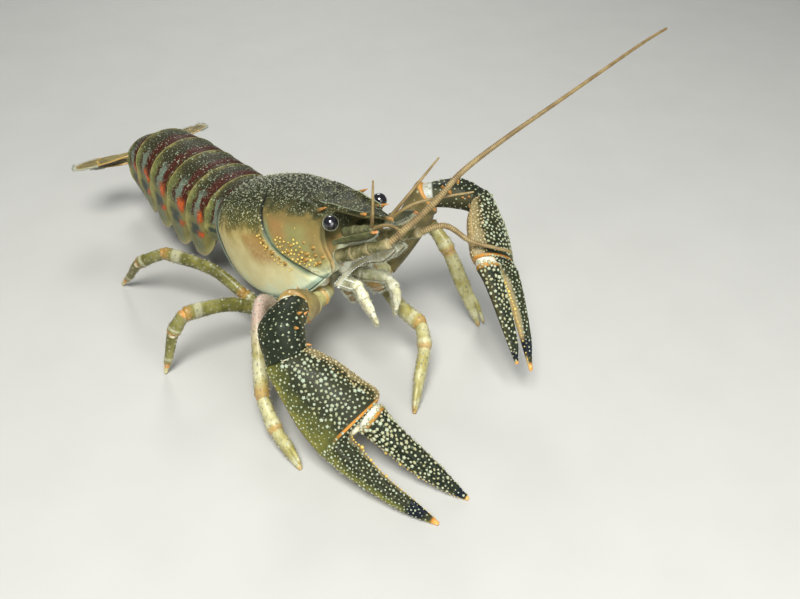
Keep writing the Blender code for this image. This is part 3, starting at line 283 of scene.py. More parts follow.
class Form:
    """One lofted form: a grid of points closed round its columns, with the way out at each point."""

    def __init__(self, grid: np.ndarray) -> None:
        """Takes a grid of points and works out its ways out."""
        self.grid = grid
        self.rows, self.columns = grid.shape[:2]
        self.run = np.linspace(0.0, 1.0, self.rows)[:, None] * np.ones((1, self.columns))
        self.turn = np.ones((self.rows, 1)) * (np.arange(self.columns) / self.columns)[None, :]
        self.ways: np.ndarray | None = None

    def ways_out(self) -> np.ndarray:
        """The unit way out of the form at each point of its grid."""
        along = np.gradient(self.grid, axis=0)
        around = (np.roll(self.grid, -1, axis=1) - np.roll(self.grid, 1, axis=1)) / 2
        ways = np.cross(around, along)
        lengths = np.linalg.norm(ways, axis=2, keepdims=True)
        ways = ways / np.maximum(lengths, 1e-9)
        centres = self.grid.mean(axis=1, keepdims=True)
        if np.sum(ways * (self.grid - centres)) < 0:
            ways = -ways
        return ways

    def raise_by(self, heights: np.ndarray) -> "Form":
        """Moves the surface out by a height at each point and returns the form."""
        self.grid = self.grid + self.ways_out() * heights[:, :, None]
        return self

    def round_ends(self, start: float = 0.35, end: float = 0.35, steps: int = 4) -> "Form":
        """Adds a rounded cap at each end, as deep as a share of the end's radius, and returns the form."""
        for at_end, depth in ((False, start), (True, end)):
            ring = self.grid[-1] if at_end else self.grid[0]
            inner = self.grid[-2] if at_end else self.grid[1]
            centre = ring.mean(axis=0)
            away = centre - inner.mean(axis=0)
            away = away / max(np.linalg.norm(away), 1e-9)
            radius = np.linalg.norm(ring - centre, axis=1).mean()
            angles = [math.pi / 2 * step / (steps + 0.4) for step in range(1, steps + 1)]
            self.extend([centre + (ring - centre) * math.cos(a) + away * radius * depth * math.sin(a) for a in angles],
                        at_end, 1.0 if at_end else 0.0)
        return self

    def extend(self, rows: list[np.ndarray], at_end: bool, level: float) -> None:
        """Adds rows of points beyond one end, from the form outwards, all at one level of its run."""
        block = np.array(rows if at_end else rows[::-1])
        levels = np.full((len(rows), self.columns), level)
        self.grid = np.concatenate([self.grid, block] if at_end else [block, self.grid])
        self.run = np.concatenate([self.run, levels] if at_end else [levels, self.run])
        self.turn = np.concatenate([self.turn, np.repeat(self.turn[:1], len(rows), axis=0)])
        self.rows = len(self.grid)

    def at(self, run: float, turn: float) -> tuple[Vector, Vector]:
        """A place on the form and the way out there; run is a share of its rows, turn a share of its columns."""
        row = min(max(run, 0.0), 1.0) * (self.rows - 1)
        low = min(int(row), self.rows - 2)
        column = (turn % 1.0) * self.columns
        left = int(column) % self.columns
        right = (left + 1) % self.columns
        a, b = row - low, column - int(column)
        if self.ways is None or self.ways.shape != self.grid.shape:
            self.ways = self.ways_out()
        place, way = ((values[low, left] * (1 - b) + values[low, right] * b) * (1 - a)
                      + (values[low + 1, left] * (1 - b) + values[low + 1, right] * b) * a
                      for values in (self.grid, self.ways))
        return Vector(place), Vector(way).normalized()

    def scatter(self, spacing: float, seed: int, run: tuple[float, float] = (0.0, 1.0),
                turn: tuple[float, float] = (0.0, 1.0), limit: int = 6000) -> list[tuple[float, float]]:
        """Even but irregular places on the form, none nearer to each other than spacing.

        Args:
            spacing: The least distance between two places, in millimetres.
            seed: The seed of their order.
            run: The share of the rows to cover.
            turn: The share of the columns to cover, which may pass through 1.
            limit: The most places.

        Returns:
            (run, turn) of each place.
        """
        chance = np.random.default_rng(seed)
        edges_along = np.linalg.norm(np.diff(self.grid, axis=0), axis=2)
        edges_around = np.linalg.norm(np.roll(self.grid, -1, axis=1) - self.grid, axis=2)[:-1]
        area = edges_along * edges_around
        rows = np.arange(self.rows - 1)[:, None] / (self.rows - 1)
        columns = (np.arange(self.columns)[None, :] / self.columns - turn[0]) % 1.0
        wanted = (rows >= run[0]) & (rows <= run[1]) & (columns <= turn[1] - turn[0])
        area = np.where(wanted, area, 0.0)
        total = area.sum()
        tries = int(min(total / spacing ** 2 * 7, limit * 8))
        cells = chance.choice(area.size, size=tries, p=(area / total).ravel())
        shifts = chance.random((tries, 2))
        taken: dict[tuple[int, int, int], list[np.ndarray]] = {}
        kept = []
        for cell, (a, b) in zip(cells, shifts):
            row, column = divmod(int(cell), self.columns)
            following = (column + 1) % self.columns
            place = ((self.grid[row, column] * (1 - b) + self.grid[row, following] * b) * (1 - a)
                     + (self.grid[row + 1, column] * (1 - b) + self.grid[row + 1, following] * b) * a)
            key = tuple(int(v) for v in np.floor(place / spacing))
            around = product(*((value - 1, value, value + 1) for value in key))
            if any(np.sum((place - other) ** 2) < spacing ** 2 for cube in around for other in taken.get(cube, ())):
                continue
            taken.setdefault(key, []).append(place)
            kept.append(((row + a) / (self.rows - 1), ((column + b) / self.columns) % 1.0))
            if len(kept) >= limit:
                break
        return kept


def place_object(name: str, data: bpy.types.ID) -> bpy.types.Object:
    """Makes an object of a mesh, a lamp or a camera and puts it in the scene."""
    made = bpy.data.objects.new(name, data)
    bpy.context.scene.collection.objects.link(made)
    return made


class Sculpt:
    """Collects closed forms into one mesh, with a place map and a tone map on its corners."""

    def __init__(self, name: str) -> None:
        """Starts an empty piece with its object's name."""
        self.name = name
        self.points: list[tuple[float, float, float]] = []
        self.faces: list[tuple[int, ...]] = []
        self.places: list[tuple[float, float]] = []
        self.tones: list[tuple[float, float]] = []

    def add(self, form: Form, tone: float = 0.0, kind: float = 0.0) -> "Sculpt":
        """Adds a form, with the tone and kind that its finish reads, and returns the piece."""
        start = len(self.points)
        rows, columns, run, turn = form.rows, form.columns, form.run, form.turn
        self.points += [tuple(p) for p in form.grid.reshape(-1, 3)]
        pairs = [(column, (column + 1) % columns) for column in range(columns)]
        for row in range(rows - 1):
            low, high = start + row * columns, start + (row + 1) * columns
            for column, following in pairs:
                self.faces.append((low + column, low + following, high + following, high + column))
                next_turn = turn[row, following] if following else max(turn[row, column], 1.0)
                self.places += [(run[row, column], turn[row, column]), (run[row, column], next_turn),
                                (run[row + 1, column], next_turn), (run[row + 1, column], turn[row + 1, column])]
        for row, flip in ((0, True), (rows - 1, False)):
            self.points.append(tuple(form.grid[row].mean(axis=0)))
            for column, following in pairs:
                ring = (start + row * columns + column, start + row * columns + following)
                self.faces.append((*(ring[::-1] if flip else ring), len(self.points) - 1))
                self.places += [(run[row, column], turn[row, column])] * 3
        self.tones += [(tone, kind)] * (len(self.places) - len(self.tones))
        return self

    def to_object(self, finish: bpy.types.Material, sharp: float = 60.0) -> bpy.types.Object:
        """Makes the piece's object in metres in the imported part's frame, with its faces pointing out."""
        mesh = bpy.data.meshes.new(self.name)
        mesh.from_pydata(self.points, [], self.faces)
        for title, values in (("Place", self.places), ("Tone", self.tones)):
            layer = mesh.uv_layers.new(name=title)
            layer.data.foreach_set("uv", np.array(values, dtype=np.float32).ravel())
        mesh.transform(PackedFrame.matrix())
        working = bmesh.new()
        working.from_mesh(mesh)
        bmesh.ops.recalc_face_normals(working, faces=working.faces)
        working.to_mesh(mesh)
        working.free()
        mesh.materials.append(finish)
        mesh.shade_smooth()
        mesh.set_sharp_from_angle(angle=math.radians(sharp))
        return place_object(self.name, mesh)


class PackedFrame:
    """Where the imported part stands: its origin seen from the floor frame, in millimetres."""

    shift = Vector((0.0, 0.0, 0.0))

    @classmethod
    def find(cls, node: str, rings: list[list[Vector]]) -> None:
        """Finds the shift from one solid's box and the rings that it is made from."""
        low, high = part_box(node)
        points = [p for ring in rings for p in ring]
        for axis in (0, 1):
            ours = (min(p[axis] for p in points) + max(p[axis] for p in points)) / 2
            cls.shift[axis] = ours - (low[axis] + high[axis]) / 2 / MM

    @classmethod
    def matrix(cls) -> Matrix:
        """The matrix from floor-frame millimetres to packed metres."""
        return Matrix.Scale(MM, 4) @ Matrix.Translation(-cls.shift)


# Node trees


class NodeMaker:
    """Adds and joins nodes in one tree."""

    def __init__(self, tree: bpy.types.NodeTree) -> None:
        """Takes the tree to work in."""
        self.tree = tree

    def feed(self, target: Socket, value: object) -> None:
        """Gives an input a socket, a number or a colour."""
        if isinstance(value, bpy.types.NodeSocket):
            self.tree.links.new(value, target)
        elif isinstance(value, tuple) and len(value) == 3 and target.type == "RGBA":
            target.default_value = (*value, 1.0)
        else:
            target.default_value = value

    def node(self, kind: str, feeds: dict[str | int, object], **settings: object) -> bpy.types.bpy_prop_collection:
        """Adds one node with its settings and its inputs, and returns its outputs."""
        made = self.tree.nodes.new(kind)
        for title, value in settings.items():
            setattr(made, title, value)
        for key, value in feeds.items():
            self.feed(made.inputs[key], value)
        return made.outputs

    def math(self, operation: str, first: object, second: object = 0.0, clamp: bool = False) -> Socket:
        """One sum of two values."""
        return self.node("ShaderNodeMath", {0: first, 1: second}, operation=operation, use_clamp=clamp)[0]

    def add(self, first: object, second: object) -> Socket:
        """Two values added."""
        return self.math("ADD", first, second)

    def times(self, *values: object) -> Socket:
        """Several values multiplied."""
        return reduce(lambda first, second: self.math("MULTIPLY", first, second), values)

    def most(self, *values: object) -> Socket:
        """The largest of several values."""
        return reduce(lambda first, second: self.math("MAXIMUM", first, second), values)

    def waver(self, value: object, clouds: Socket, amount: float) -> Socket:
        """A value that wanders with the clouds, by up to half the amount each way."""
        return self.add(value, self.times(self.math("SUBTRACT", clouds, 0.5), amount))

    def step(self, value: object, low: float, high: float) -> Socket:
        """A smooth step from 0 at low to 1 at high; low may be above high."""
        feeds = {"Value": value, "From Min": min(low, high), "From Max": max(low, high),
                 "To Min": 1.0 if low > high else 0.0, "To Max": 0.0 if low > high else 1.0}
        return self.node("ShaderNodeMapRange", feeds, interpolation_type="SMOOTHSTEP")["Result"]

    def hill(self, value: object, centre: float, width: float) -> Socket:
        """1 at a value's centre, falling smoothly to 0 at width from it."""
        return self.step(self.math("ABSOLUTE", self.math("SUBTRACT", value, centre)), width, width * 0.35)

    def mix(self, share: object, first: object, second: object, blend: str = "MIX") -> Socket:
        """Mixes two colours."""
        return self.node("ShaderNodeMix", {0: share, 6: first, 7: second}, data_type="RGBA", blend_type=blend)[2]

    def blend(self, share: object, low: object, high: object) -> Socket:
        """A value between two values."""
        return self.node("ShaderNodeMix", {0: share, 2: low, 3: high}, data_type="FLOAT")[0]

    def colours(self, value: object, *stops: tuple[float, Triple]) -> Socket:
        """A colour ramp."""
        node = self.tree.nodes.new("ShaderNodeValToRGB")
        ramp = node.color_ramp
        while len(ramp.elements) < len(stops):
            ramp.elements.new(0.5)
        for element, (place, colour) in zip(ramp.elements, stops):
            element.position = place
            element.color = (*colour, 1.0)
        self.feed(node.inputs[0], value)
        return node.outputs[0]

    def noise(self, vector: Socket, scale: object, detail: float = 3.0, roughness: float = 0.55) -> Socket:
        """A noise value about one half."""
        feeds = {"Vector": vector, "Scale": scale, "Detail": detail, "Roughness": roughness}
        return self.node("ShaderNodeTexNoise", feeds)[0]

    def cells(self, vector: Socket, scale: object) -> bpy.types.bpy_prop_collection:
        """Many scattered points: the distance to the nearest one, and a random colour for each."""
        return self.node("ShaderNodeTexVoronoi", {"Vector": vector, "Scale": scale}, feature="F1")

    def parts(self, vector: Socket) -> bpy.types.bpy_prop_collection:
        """The three parts of a vector."""
        return self.node("ShaderNodeSeparateXYZ", {0: vector})

    def group(self, group: bpy.types.NodeTree, **feeds: object) -> bpy.types.bpy_prop_collection:
        """Places a node group with its own values."""
        return self.node("ShaderNodeGroup", feeds, node_tree=group)


# Planting: small shapes set on points by Geometry Nodes


@dataclass
class Plant:
    """One small shape to set on the animal: where, which way it points, how wide and how long."""

    place: Vector
    facing: Vector
    width: float
    length: float
    tone: float = 0.5
    root: tuple[float, float] = (0.0, 0.0)


class Pattern(Enum):
    """The small shapes that are planted."""

    GRANULE = "granule"
    KNOB = "knob"
    STAR = "star"
    HORN = "horn"
    TUFT = "tuft"
    RING = "ring"
    BEAD = "bead"


@dataclass(frozen=True)
class Turned:
    """A shape turned round z.

    Its sides, its rows of height and radius, how much narrower than broad it may be, and how far its even and odd
    corners reach.
    """

    sides: int
    rows: Knots
    oval: float = 0.0
    lobes: tuple[float, float] = (1.0, 1.0)


class Patterns:
    """Makes each planted shape once, one unit long along z from its root, about one unit in radius."""

    TURNED = {
        Pattern.GRANULE: Turned(6, ((-0.4, 1.0), (0.35, 0.8), (0.85, 0.35)), 0.3),
        Pattern.KNOB: Turned(8, ((-0.5, 1.05), (0.1, 1.0), (0.6, 0.8), (0.92, 0.4)), 0.15),
        Pattern.HORN: Turned(7, ((-0.35, 1.05), (0.0, 0.9), (0.35, 0.6), (0.7, 0.3))),
        Pattern.BEAD: Turned(6, ((-0.6, 0.7), (0.0, 1.0), (0.6, 0.7))),
        Pattern.STAR: Turned(10, ((-0.4, 1.0), (0.3, 1.0), (0.75, 0.66), (1.0, 0.28)), 0.35, (1.12, 0.78)),
        Pattern.RING: Turned(10, ((-0.5, 0.88), (-0.18, 1.04), (0.18, 1.05), (0.5, 0.88))),
    }
    # How far each bristle of a tuft leans each way, and how long it is
    BRISTLES = ((0.0, 0.0, 1.0), (0.16, 0.05, 0.9), (-0.15, 0.08, 0.86), (0.07, -0.17, 0.8), (-0.09, -0.13, 0.94))
    BRISTLE_RADIUS = 0.045

    def __init__(self) -> None:
        """Starts with no shape made."""
        self.made: dict[Pattern, bpy.types.Object] = {}

    def shape(self, pattern: Pattern) -> bpy.types.Object:
        """The object of one planted shape, with its place map, made the first time that it is asked for."""
        if pattern not in self.made:
            points, faces, places = self.tuft() if pattern is Pattern.TUFT else self.turned(pattern)
            mesh = bpy.data.meshes.new(pattern.value + "_shape")
            mesh.from_pydata(points, [], faces)
            mesh.uv_layers.new(name="Place").data.foreach_set("uv", np.array(places, dtype=np.float32).ravel())
            mesh.shade_smooth()
            self.made[pattern] = place_object(pattern.value + "_shape", mesh)
        return self.made[pattern]

    def turned(self, pattern: Pattern) -> tuple[list, list, list]:
        """The points, faces and places of a shape turned round z."""
        shape = self.TURNED[pattern]
        sides, rows = shape.sides, shape.rows
        points, faces, places = [], [], []
        for height, radius in rows:
            for s in range(sides):
                reach, angle = radius * shape.lobes[s % 2], 2 * math.pi * s / sides
                points.append((reach * math.cos(angle), reach * math.sin(angle), height))
        base = rows[0][0] if pattern is Pattern.RING else 0.0
        for row in range(len(rows) - 1):
            low, high = (max(height - base, 0.0) for height, _ in rows[row:row + 2])
            for s in range(sides):
                here, following = row * sides + s, row * sides + (s + 1) % sides
                faces.append((here, following, following + sides, here + sides))
                places += [(s / sides, low), ((s + 1) / sides, low), ((s + 1) / sides, high), (s / sides, high)]
        if pattern is Pattern.RING:
            return points, faces, places
        last = (len(rows) - 1) * sides
        if pattern is Pattern.STAR:
            faces.append(tuple(range(last, last + sides)))
            places += [(s / sides, 1.0) for s in range(sides)]
        else:
            points.append((0.0, 0.0, 1.0))
            for s in range(sides):
                faces.append((last + s, last + (s + 1) % sides, len(points) - 1))
                places += [(s / sides, rows[-1][0]), ((s + 1) / sides, rows[-1][0]), ((s + 0.5) / sides, 1.0)]
        faces.append(tuple(range(sides))[::-1])
        places += [(0.0, 0.0)] * sides
        return points, faces, places

    def tuft(self) -> tuple[list, list, list]:
        """The points, faces and places of five fine bristles that spread from one root."""
        points, faces, places = [], [], []
        for index, (lean_x, lean_y, reach) in enumerate(self.BRISTLES):
            start = len(points)
            for height, radius in ((-0.05, 1.0), (0.5, 0.7)):
                for s in range(3):
                    angle, thick = 2 * math.pi * s / 3 + index, self.BRISTLE_RADIUS * radius
                    points.append((lean_x * height * 1.4 + thick * math.cos(angle) + lean_x * 0.25,
                                   lean_y * height * 1.4 + thick * math.sin(angle) + lean_y * 0.25, height * reach))
            points.append((lean_x * 2.0, lean_y * 2.0, reach))
            for s in range(3):
                n = (s + 1) % 3
                faces.append((start + s, start + n, start + 3 + n, start + 3 + s))
                faces.append((start + 3 + s, start + 3 + n, start + 6))
                places += [(s / 3, 0.0), ((s + 1) / 3, 0.0), ((s + 1) / 3, 0.5), (s / 3, 0.5),
                           (s / 3, 0.5), ((s + 1) / 3, 0.5), (0.5, 1.0)]
            faces.append((start + 2, start + 1, start))
            places += [(0.0, 0.0)] * 3
        return points, faces, places

    def clear(self) -> None:
        """Removes the objects of the planted shapes, once every piece is made."""
        for made in self.made.values():
            bpy.data.objects.remove(made)


class Planter:
    """Sets a small shape on many points with one Geometry Nodes tree, and turns the result into a plain mesh."""

    INPUTS = {"Geometry": "Geometry", "Shape": "Object", "Finish": "Material", "Unevenness": "Float", "Turn": "Float",
              "Seed": "Int"}
    # The width of a shape's patch on the map OFBake, and how far a shape may turn round its own axis, in radians
    PATCH = 0.003
    FULL_TURN = 6.28

    def __init__(self, patterns: Patterns) -> None:
        """Builds the tree."""
        self.patterns = patterns
        self.tree = bpy.data.node_groups.new("plant_on_points", "GeometryNodeTree")
        self.sockets = {title: self.tree.interface.new_socket(
            title, in_out="INPUT", socket_type="NodeSocket" + kind).identifier for title, kind in self.INPUTS.items()}
        self.tree.interface.new_socket("Geometry", in_out="OUTPUT", socket_type="NodeSocketGeometry")
        make = NodeMaker(self.tree)
        entry = make.node("NodeGroupInput", {})
        kind = "GeometryNodeInputNamedAttribute"
        facing, size = (make.node(kind, {"Name": name}, data_type="FLOAT_VECTOR")["Attribute"]
                        for name in ("facing", "size"))
        points = make.node("GeometryNodeMeshToPoints", {"Mesh": entry["Geometry"]})[0]
        shape = make.node("GeometryNodeObjectInfo", {"Object": entry["Shape"]})["Geometry"]
        align = make.node("FunctionNodeAlignRotationToVector", {"Vector": facing}, axis="Z")[0]
        twist = make.node("FunctionNodeRandomValue", {3: entry["Turn"], "Seed": entry["Seed"]}, data_type="FLOAT")[1]
        spin = make.node("FunctionNodeEulerToRotation", {0: make.node("ShaderNodeCombineXYZ", {"Z": twist})[0]})[0]
        turned = make.node("FunctionNodeRotateRotation", {0: align, 1: spin}, rotation_space="LOCAL")[0]
        least = make.math("SUBTRACT", 1.0, entry["Unevenness"])
        uneven = make.node("FunctionNodeRandomValue", {2: least, 3: 1.0, "Seed": entry["Seed"]}, data_type="FLOAT")[1]
        grown = make.node("ShaderNodeVectorMath", {0: size, "Scale": uneven}, operation="SCALE")[0]
        plants = make.node("GeometryNodeInstanceOnPoints",
                           {"Points": points, "Instance": shape, "Rotation": turned, "Scale": grown})[0]
        real = make.node("GeometryNodeRealizeInstances", {0: plants})[0]
        dressed = make.node("GeometryNodeSetMaterial", {"Geometry": real, "Material": entry["Finish"]})[0]
        make.node("NodeGroupOutput", {0: dressed})

    def grow(self, name: str, plants: list[Plant], pattern: Pattern, finish: bpy.types.Material, seed: int,
             unevenness: float, coat: bool) -> bpy.types.Object:
        """Plants one shape on every point.

        Args:
            name: The new object's name.
            plants: Where and how large each shape is.
            pattern: The shape.
            finish: The material.
            seed: The seed of the turns and sizes.
            unevenness: How much smaller than asked a shape may be, as a share.
            coat: Whether the piece gets the map OFBake, with a patch for each shape at its root's place.

        Returns:
            The object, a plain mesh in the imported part's frame.
        """
        mesh = bpy.data.meshes.new(name + "_points")
        mesh.from_pydata([tuple(p.place) for p in plants], [], [])
        oval = self.patterns.TURNED[pattern].oval if pattern in self.patterns.TURNED else 0.0
        columns = {"facing": [tuple(p.facing) for p in plants],
                   "size": [(p.width, p.width * (1.0 - oval * p.tone), p.length) for p in plants],
                   "root": [(*p.root, 0.0) for p in plants]}
        for title, values in columns.items():
            layer = mesh.attributes.new(title, "FLOAT_VECTOR", "POINT")
            layer.data.foreach_set("vector", [part for value in values for part in value])
        mesh.attributes.new("tone", "FLOAT", "POINT").data.foreach_set("value", [p.tone for p in plants])
        bed = place_object(name + "_points", mesh)
        tree = bed.modifiers.new("plant", "NODES")
        tree.node_group = self.tree
        for title, value in (("Shape", self.patterns.shape(pattern)), ("Finish", finish), ("Unevenness", unevenness),
                             ("Turn", self.FULL_TURN), ("Seed", seed)):
            tree[self.sockets[title]] = value
        bpy.context.view_layer.update()
        grown = bpy.data.meshes.new_from_object(bed.evaluated_get(bpy.context.evaluated_depsgraph_get()))
        bed.modifiers.clear()
        bpy.data.objects.remove(bed)
        grown.name = name
        if coat:
            self.map_coat(grown)
        for title in columns:
            grown.attributes.remove(grown.attributes[title])
        grown.transform(PackedFrame.matrix())
        grown.shade_smooth()
        return place_object(name, grown)

    def map_coat(self, mesh: bpy.types.Mesh) -> None:
        """Adds the map OFBake: each shape is a small patch at its root's place."""
        corners = len(mesh.loops)
        vertex = np.zeros(corners, dtype=np.int32)
        mesh.loops.foreach_get("vertex_index", vertex)
        roots = np.zeros(len(mesh.vertices) * 3, dtype=np.float32)
        mesh.attributes["root"].data.foreach_get("vector", roots)
        local = np.zeros(corners * 2, dtype=np.float32)
        mesh.uv_layers["Place"].data.foreach_get("uv", local)
        placed = roots.reshape(-1, 3)[vertex][:, :2] + (local.reshape(-1, 2) - 0.5) * self.PATCH
        mesh.uv_layers.new(name="OFBake").data.foreach_set("uv", placed.astype(np.float32).ravel())


def bed_place(bed: int, beds: int, run: float, turn: float) -> tuple[float, float]:
    """A root's place on the coat's unwrap: each bed is one column of it."""
    return (bed + 0.04 + 0.92 * (turn % 1.0)) / beds, 0.02 + 0.96 * run


# Finishes: node trees for what the photograph shows of each surface

# The beak's outline has so many corners; its raised margins and its shoulders lie at these shares of the way round
BEAK_CORNERS = 14
BEAK_MARGINS = (2.0 / BEAK_CORNERS, 8.0 / BEAK_CORNERS)
BEAK_SHOULDERS = (1.0 / BEAK_CORNERS, 9.0 / BEAK_CORNERS)


class Effects:
    """Shader node groups that several finishes use."""

    def __init__(self) -> None:
        """Builds the groups."""
        self.speckles = self.build("speckles", self.fill_speckles, ("Mask", "Tone"), Density=1200.0, Share=0.7,
                                   Size=0.4)
        self.mottle = self.build("mottle", self.fill_mottle, ("Clouds", "Fine"), Scale=200.0)
        self.relief = self.build("relief", self.fill_relief, ("Height",), Pits=1500.0, Depth=0.5, Waves=500.0)

    @staticmethod
    def build(name: str, fill: Callable, outputs: tuple[str, ...], **inputs: float) -> bpy.types.NodeTree:
        """Builds a group that reads a place and a few numbers and gives a few values."""
        tree = bpy.data.node_groups.new(name, "ShaderNodeTree")
        tree.interface.new_socket("Vector", in_out="INPUT", socket_type="NodeSocketVector")
        for title, value in inputs.items():
            tree.interface.new_socket(title, in_out="INPUT", socket_type="NodeSocketFloat").default_value = value
        for title in outputs:
            tree.interface.new_socket(title, in_out="OUTPUT", socket_type="NodeSocketFloat")
        make = NodeMaker(tree)
        entry = make.node("NodeGroupInput", {})
        make.node("NodeGroupOutput", dict(enumerate(fill(make, entry))))
        return tree

    @staticmethod
    def fill_speckles(make: NodeMaker, entry: bpy.types.bpy_prop_collection) -> tuple[Socket, ...]:
        """Small round dots of uneven size, sparse or dense."""
        cells = make.cells(entry["Vector"], entry["Density"])
        red, green, blue = make.parts(cells["Color"])
        size = make.times(entry["Size"], make.add(make.times(red, 0.65), 0.35))
        depth = make.math("SUBTRACT", 1.0, make.math("DIVIDE", cells["Distance"], size))
        inside = make.math("MULTIPLY", depth, 2.6, clamp=True)
        return make.times(inside, make.math("LESS_THAN", green, entry["Share"])), blue

    @staticmethod
    def fill_mottle(make: NodeMaker, entry: bpy.types.bpy_prop_collection) -> tuple[Socket, ...]:
        """Clouds of two sizes, as the pigment under a shell lies."""
        clouds = make.noise(entry["Vector"], entry["Scale"], 4.0, 0.6)
        fine = make.noise(entry["Vector"], make.times(entry["Scale"], 5.3), 2.0)
        return make.step(clouds, 0.36, 0.64), make.step(fine, 0.3, 0.7)

    @staticmethod
    def fill_relief(make: NodeMaker, entry: bpy.types.bpy_prop_collection) -> tuple[Socket, ...]:
        """Fine pits and waves of a shell's surface, for a bump."""
        distance = make.cells(entry["Vector"], entry["Pits"])["Distance"]
        pits = make.times(make.step(distance, 0.0, 0.45), entry["Depth"])
        return (make.add(pits, make.noise(entry["Vector"], entry["Waves"], 4.0, 0.6)),)


@dataclass(frozen=True)
class Finish:
    """The plain facts of one finish: gloss, bump, how much light passes in, and the scale of its clouds."""

    name: str
    clouds: float = 0.0
    roughness: float = 0.35
    bump: float = 0.3
    bump_distance: float = 0.0002
    coat: float = 0.3
    coat_roughness: float = 0.22
    shine: float = 0.22
    subsurface: float = 0.0
    pits: float = 1500.0
    depth: float = 0.5
    waves: float = 500.0
    alpha: float = 1.0


class Canvas(NodeMaker):
    """A material being painted: the coordinates that it reads, its clouds of pigment and its colour so far."""

    # How far red, green and blue light pass into a shell, in metres
    SKIN_DEPTHS = (0.0006, 0.0005, 0.0003)

    def __init__(self, finish: Finish, effects: Effects) -> None:
        """Starts the material with its plain values set and its coordinates ready."""
        self.finish, self.effects = finish, effects
        self.material = bpy.data.materials.new(finish.name)
        self.material.use_nodes = True
        super().__init__(self.material.node_tree)
        self.shader = self.tree.nodes["Principled BSDF"]
        values = {"Roughness": finish.roughness, "Coat Weight": finish.coat, "Coat Roughness": finish.coat_roughness,
                  "Specular IOR Level": finish.shine, "Alpha": finish.alpha}
        if finish.subsurface:
            values |= {"Subsurface Weight": finish.subsurface, "Subsurface Radius": self.SKIN_DEPTHS,
                       "Subsurface Scale": 1.0}
        for title, value in values.items():
            self.shader.inputs[title].default_value = value
        self.where = self.node("ShaderNodeTexCoord", {})["Object"]
        (self.run, self.turn, _), (self.tone, self.kind, _) = (
            self.parts(self.node("ShaderNodeUVMap", {}, uv_map=title)[0]) for title in ("Place", "Tone"))
        if finish.clouds:
            self.clouds, self.fine = self.group(effects.mottle, Vector=self.where, Scale=finish.clouds)
        self.colour: object = (0.0, 0.0, 0.0)

    def lay(self, colour: object, *shares: object) -> None:
        """Lays one more colour over the colour so far, as strong as its shares multiplied."""
        self.colour = self.mix(self.times(*shares), self.colour, colour)

    def grain(self, strength: float) -> None:
        """Makes the colour so far uneven with the fine clouds."""
        self.colour = self.mix(self.times(self.fine, strength), self.colour, (0.5, 0.5, 0.5), "OVERLAY")

    def speckles(self, density: float, share: float, size: float) -> bpy.types.bpy_prop_collection:
        """Scattered dots: the mask of them and a tone for each."""
        return self.group(self.effects.speckles, Vector=self.where, Density=density, Share=share, Size=size)

    def close(self, roughness: Socket | None = None, height: Socket | None = None) -> bpy.types.Material:
        """Joins the colour, the roughness and the relief to the shader and returns the material."""
        self.feed(self.shader.inputs["Base Color"], self.colour)
        if roughness is not None:
            self.feed(self.shader.inputs["Roughness"], roughness)
        finish = self.finish
        total = self.group(self.effects.relief, Vector=self.where, Pits=finish.pits, Depth=finish.depth,
                           Waves=finish.waves)["Height"]
        if height is not None:
            total = self.add(total, height)
        bump = self.node("ShaderNodeBump", {"Strength": finish.bump, "Distance": finish.bump_distance, "Height": total})
        self.feed(self.shader.inputs["Normal"], bump[0])
        return self.material


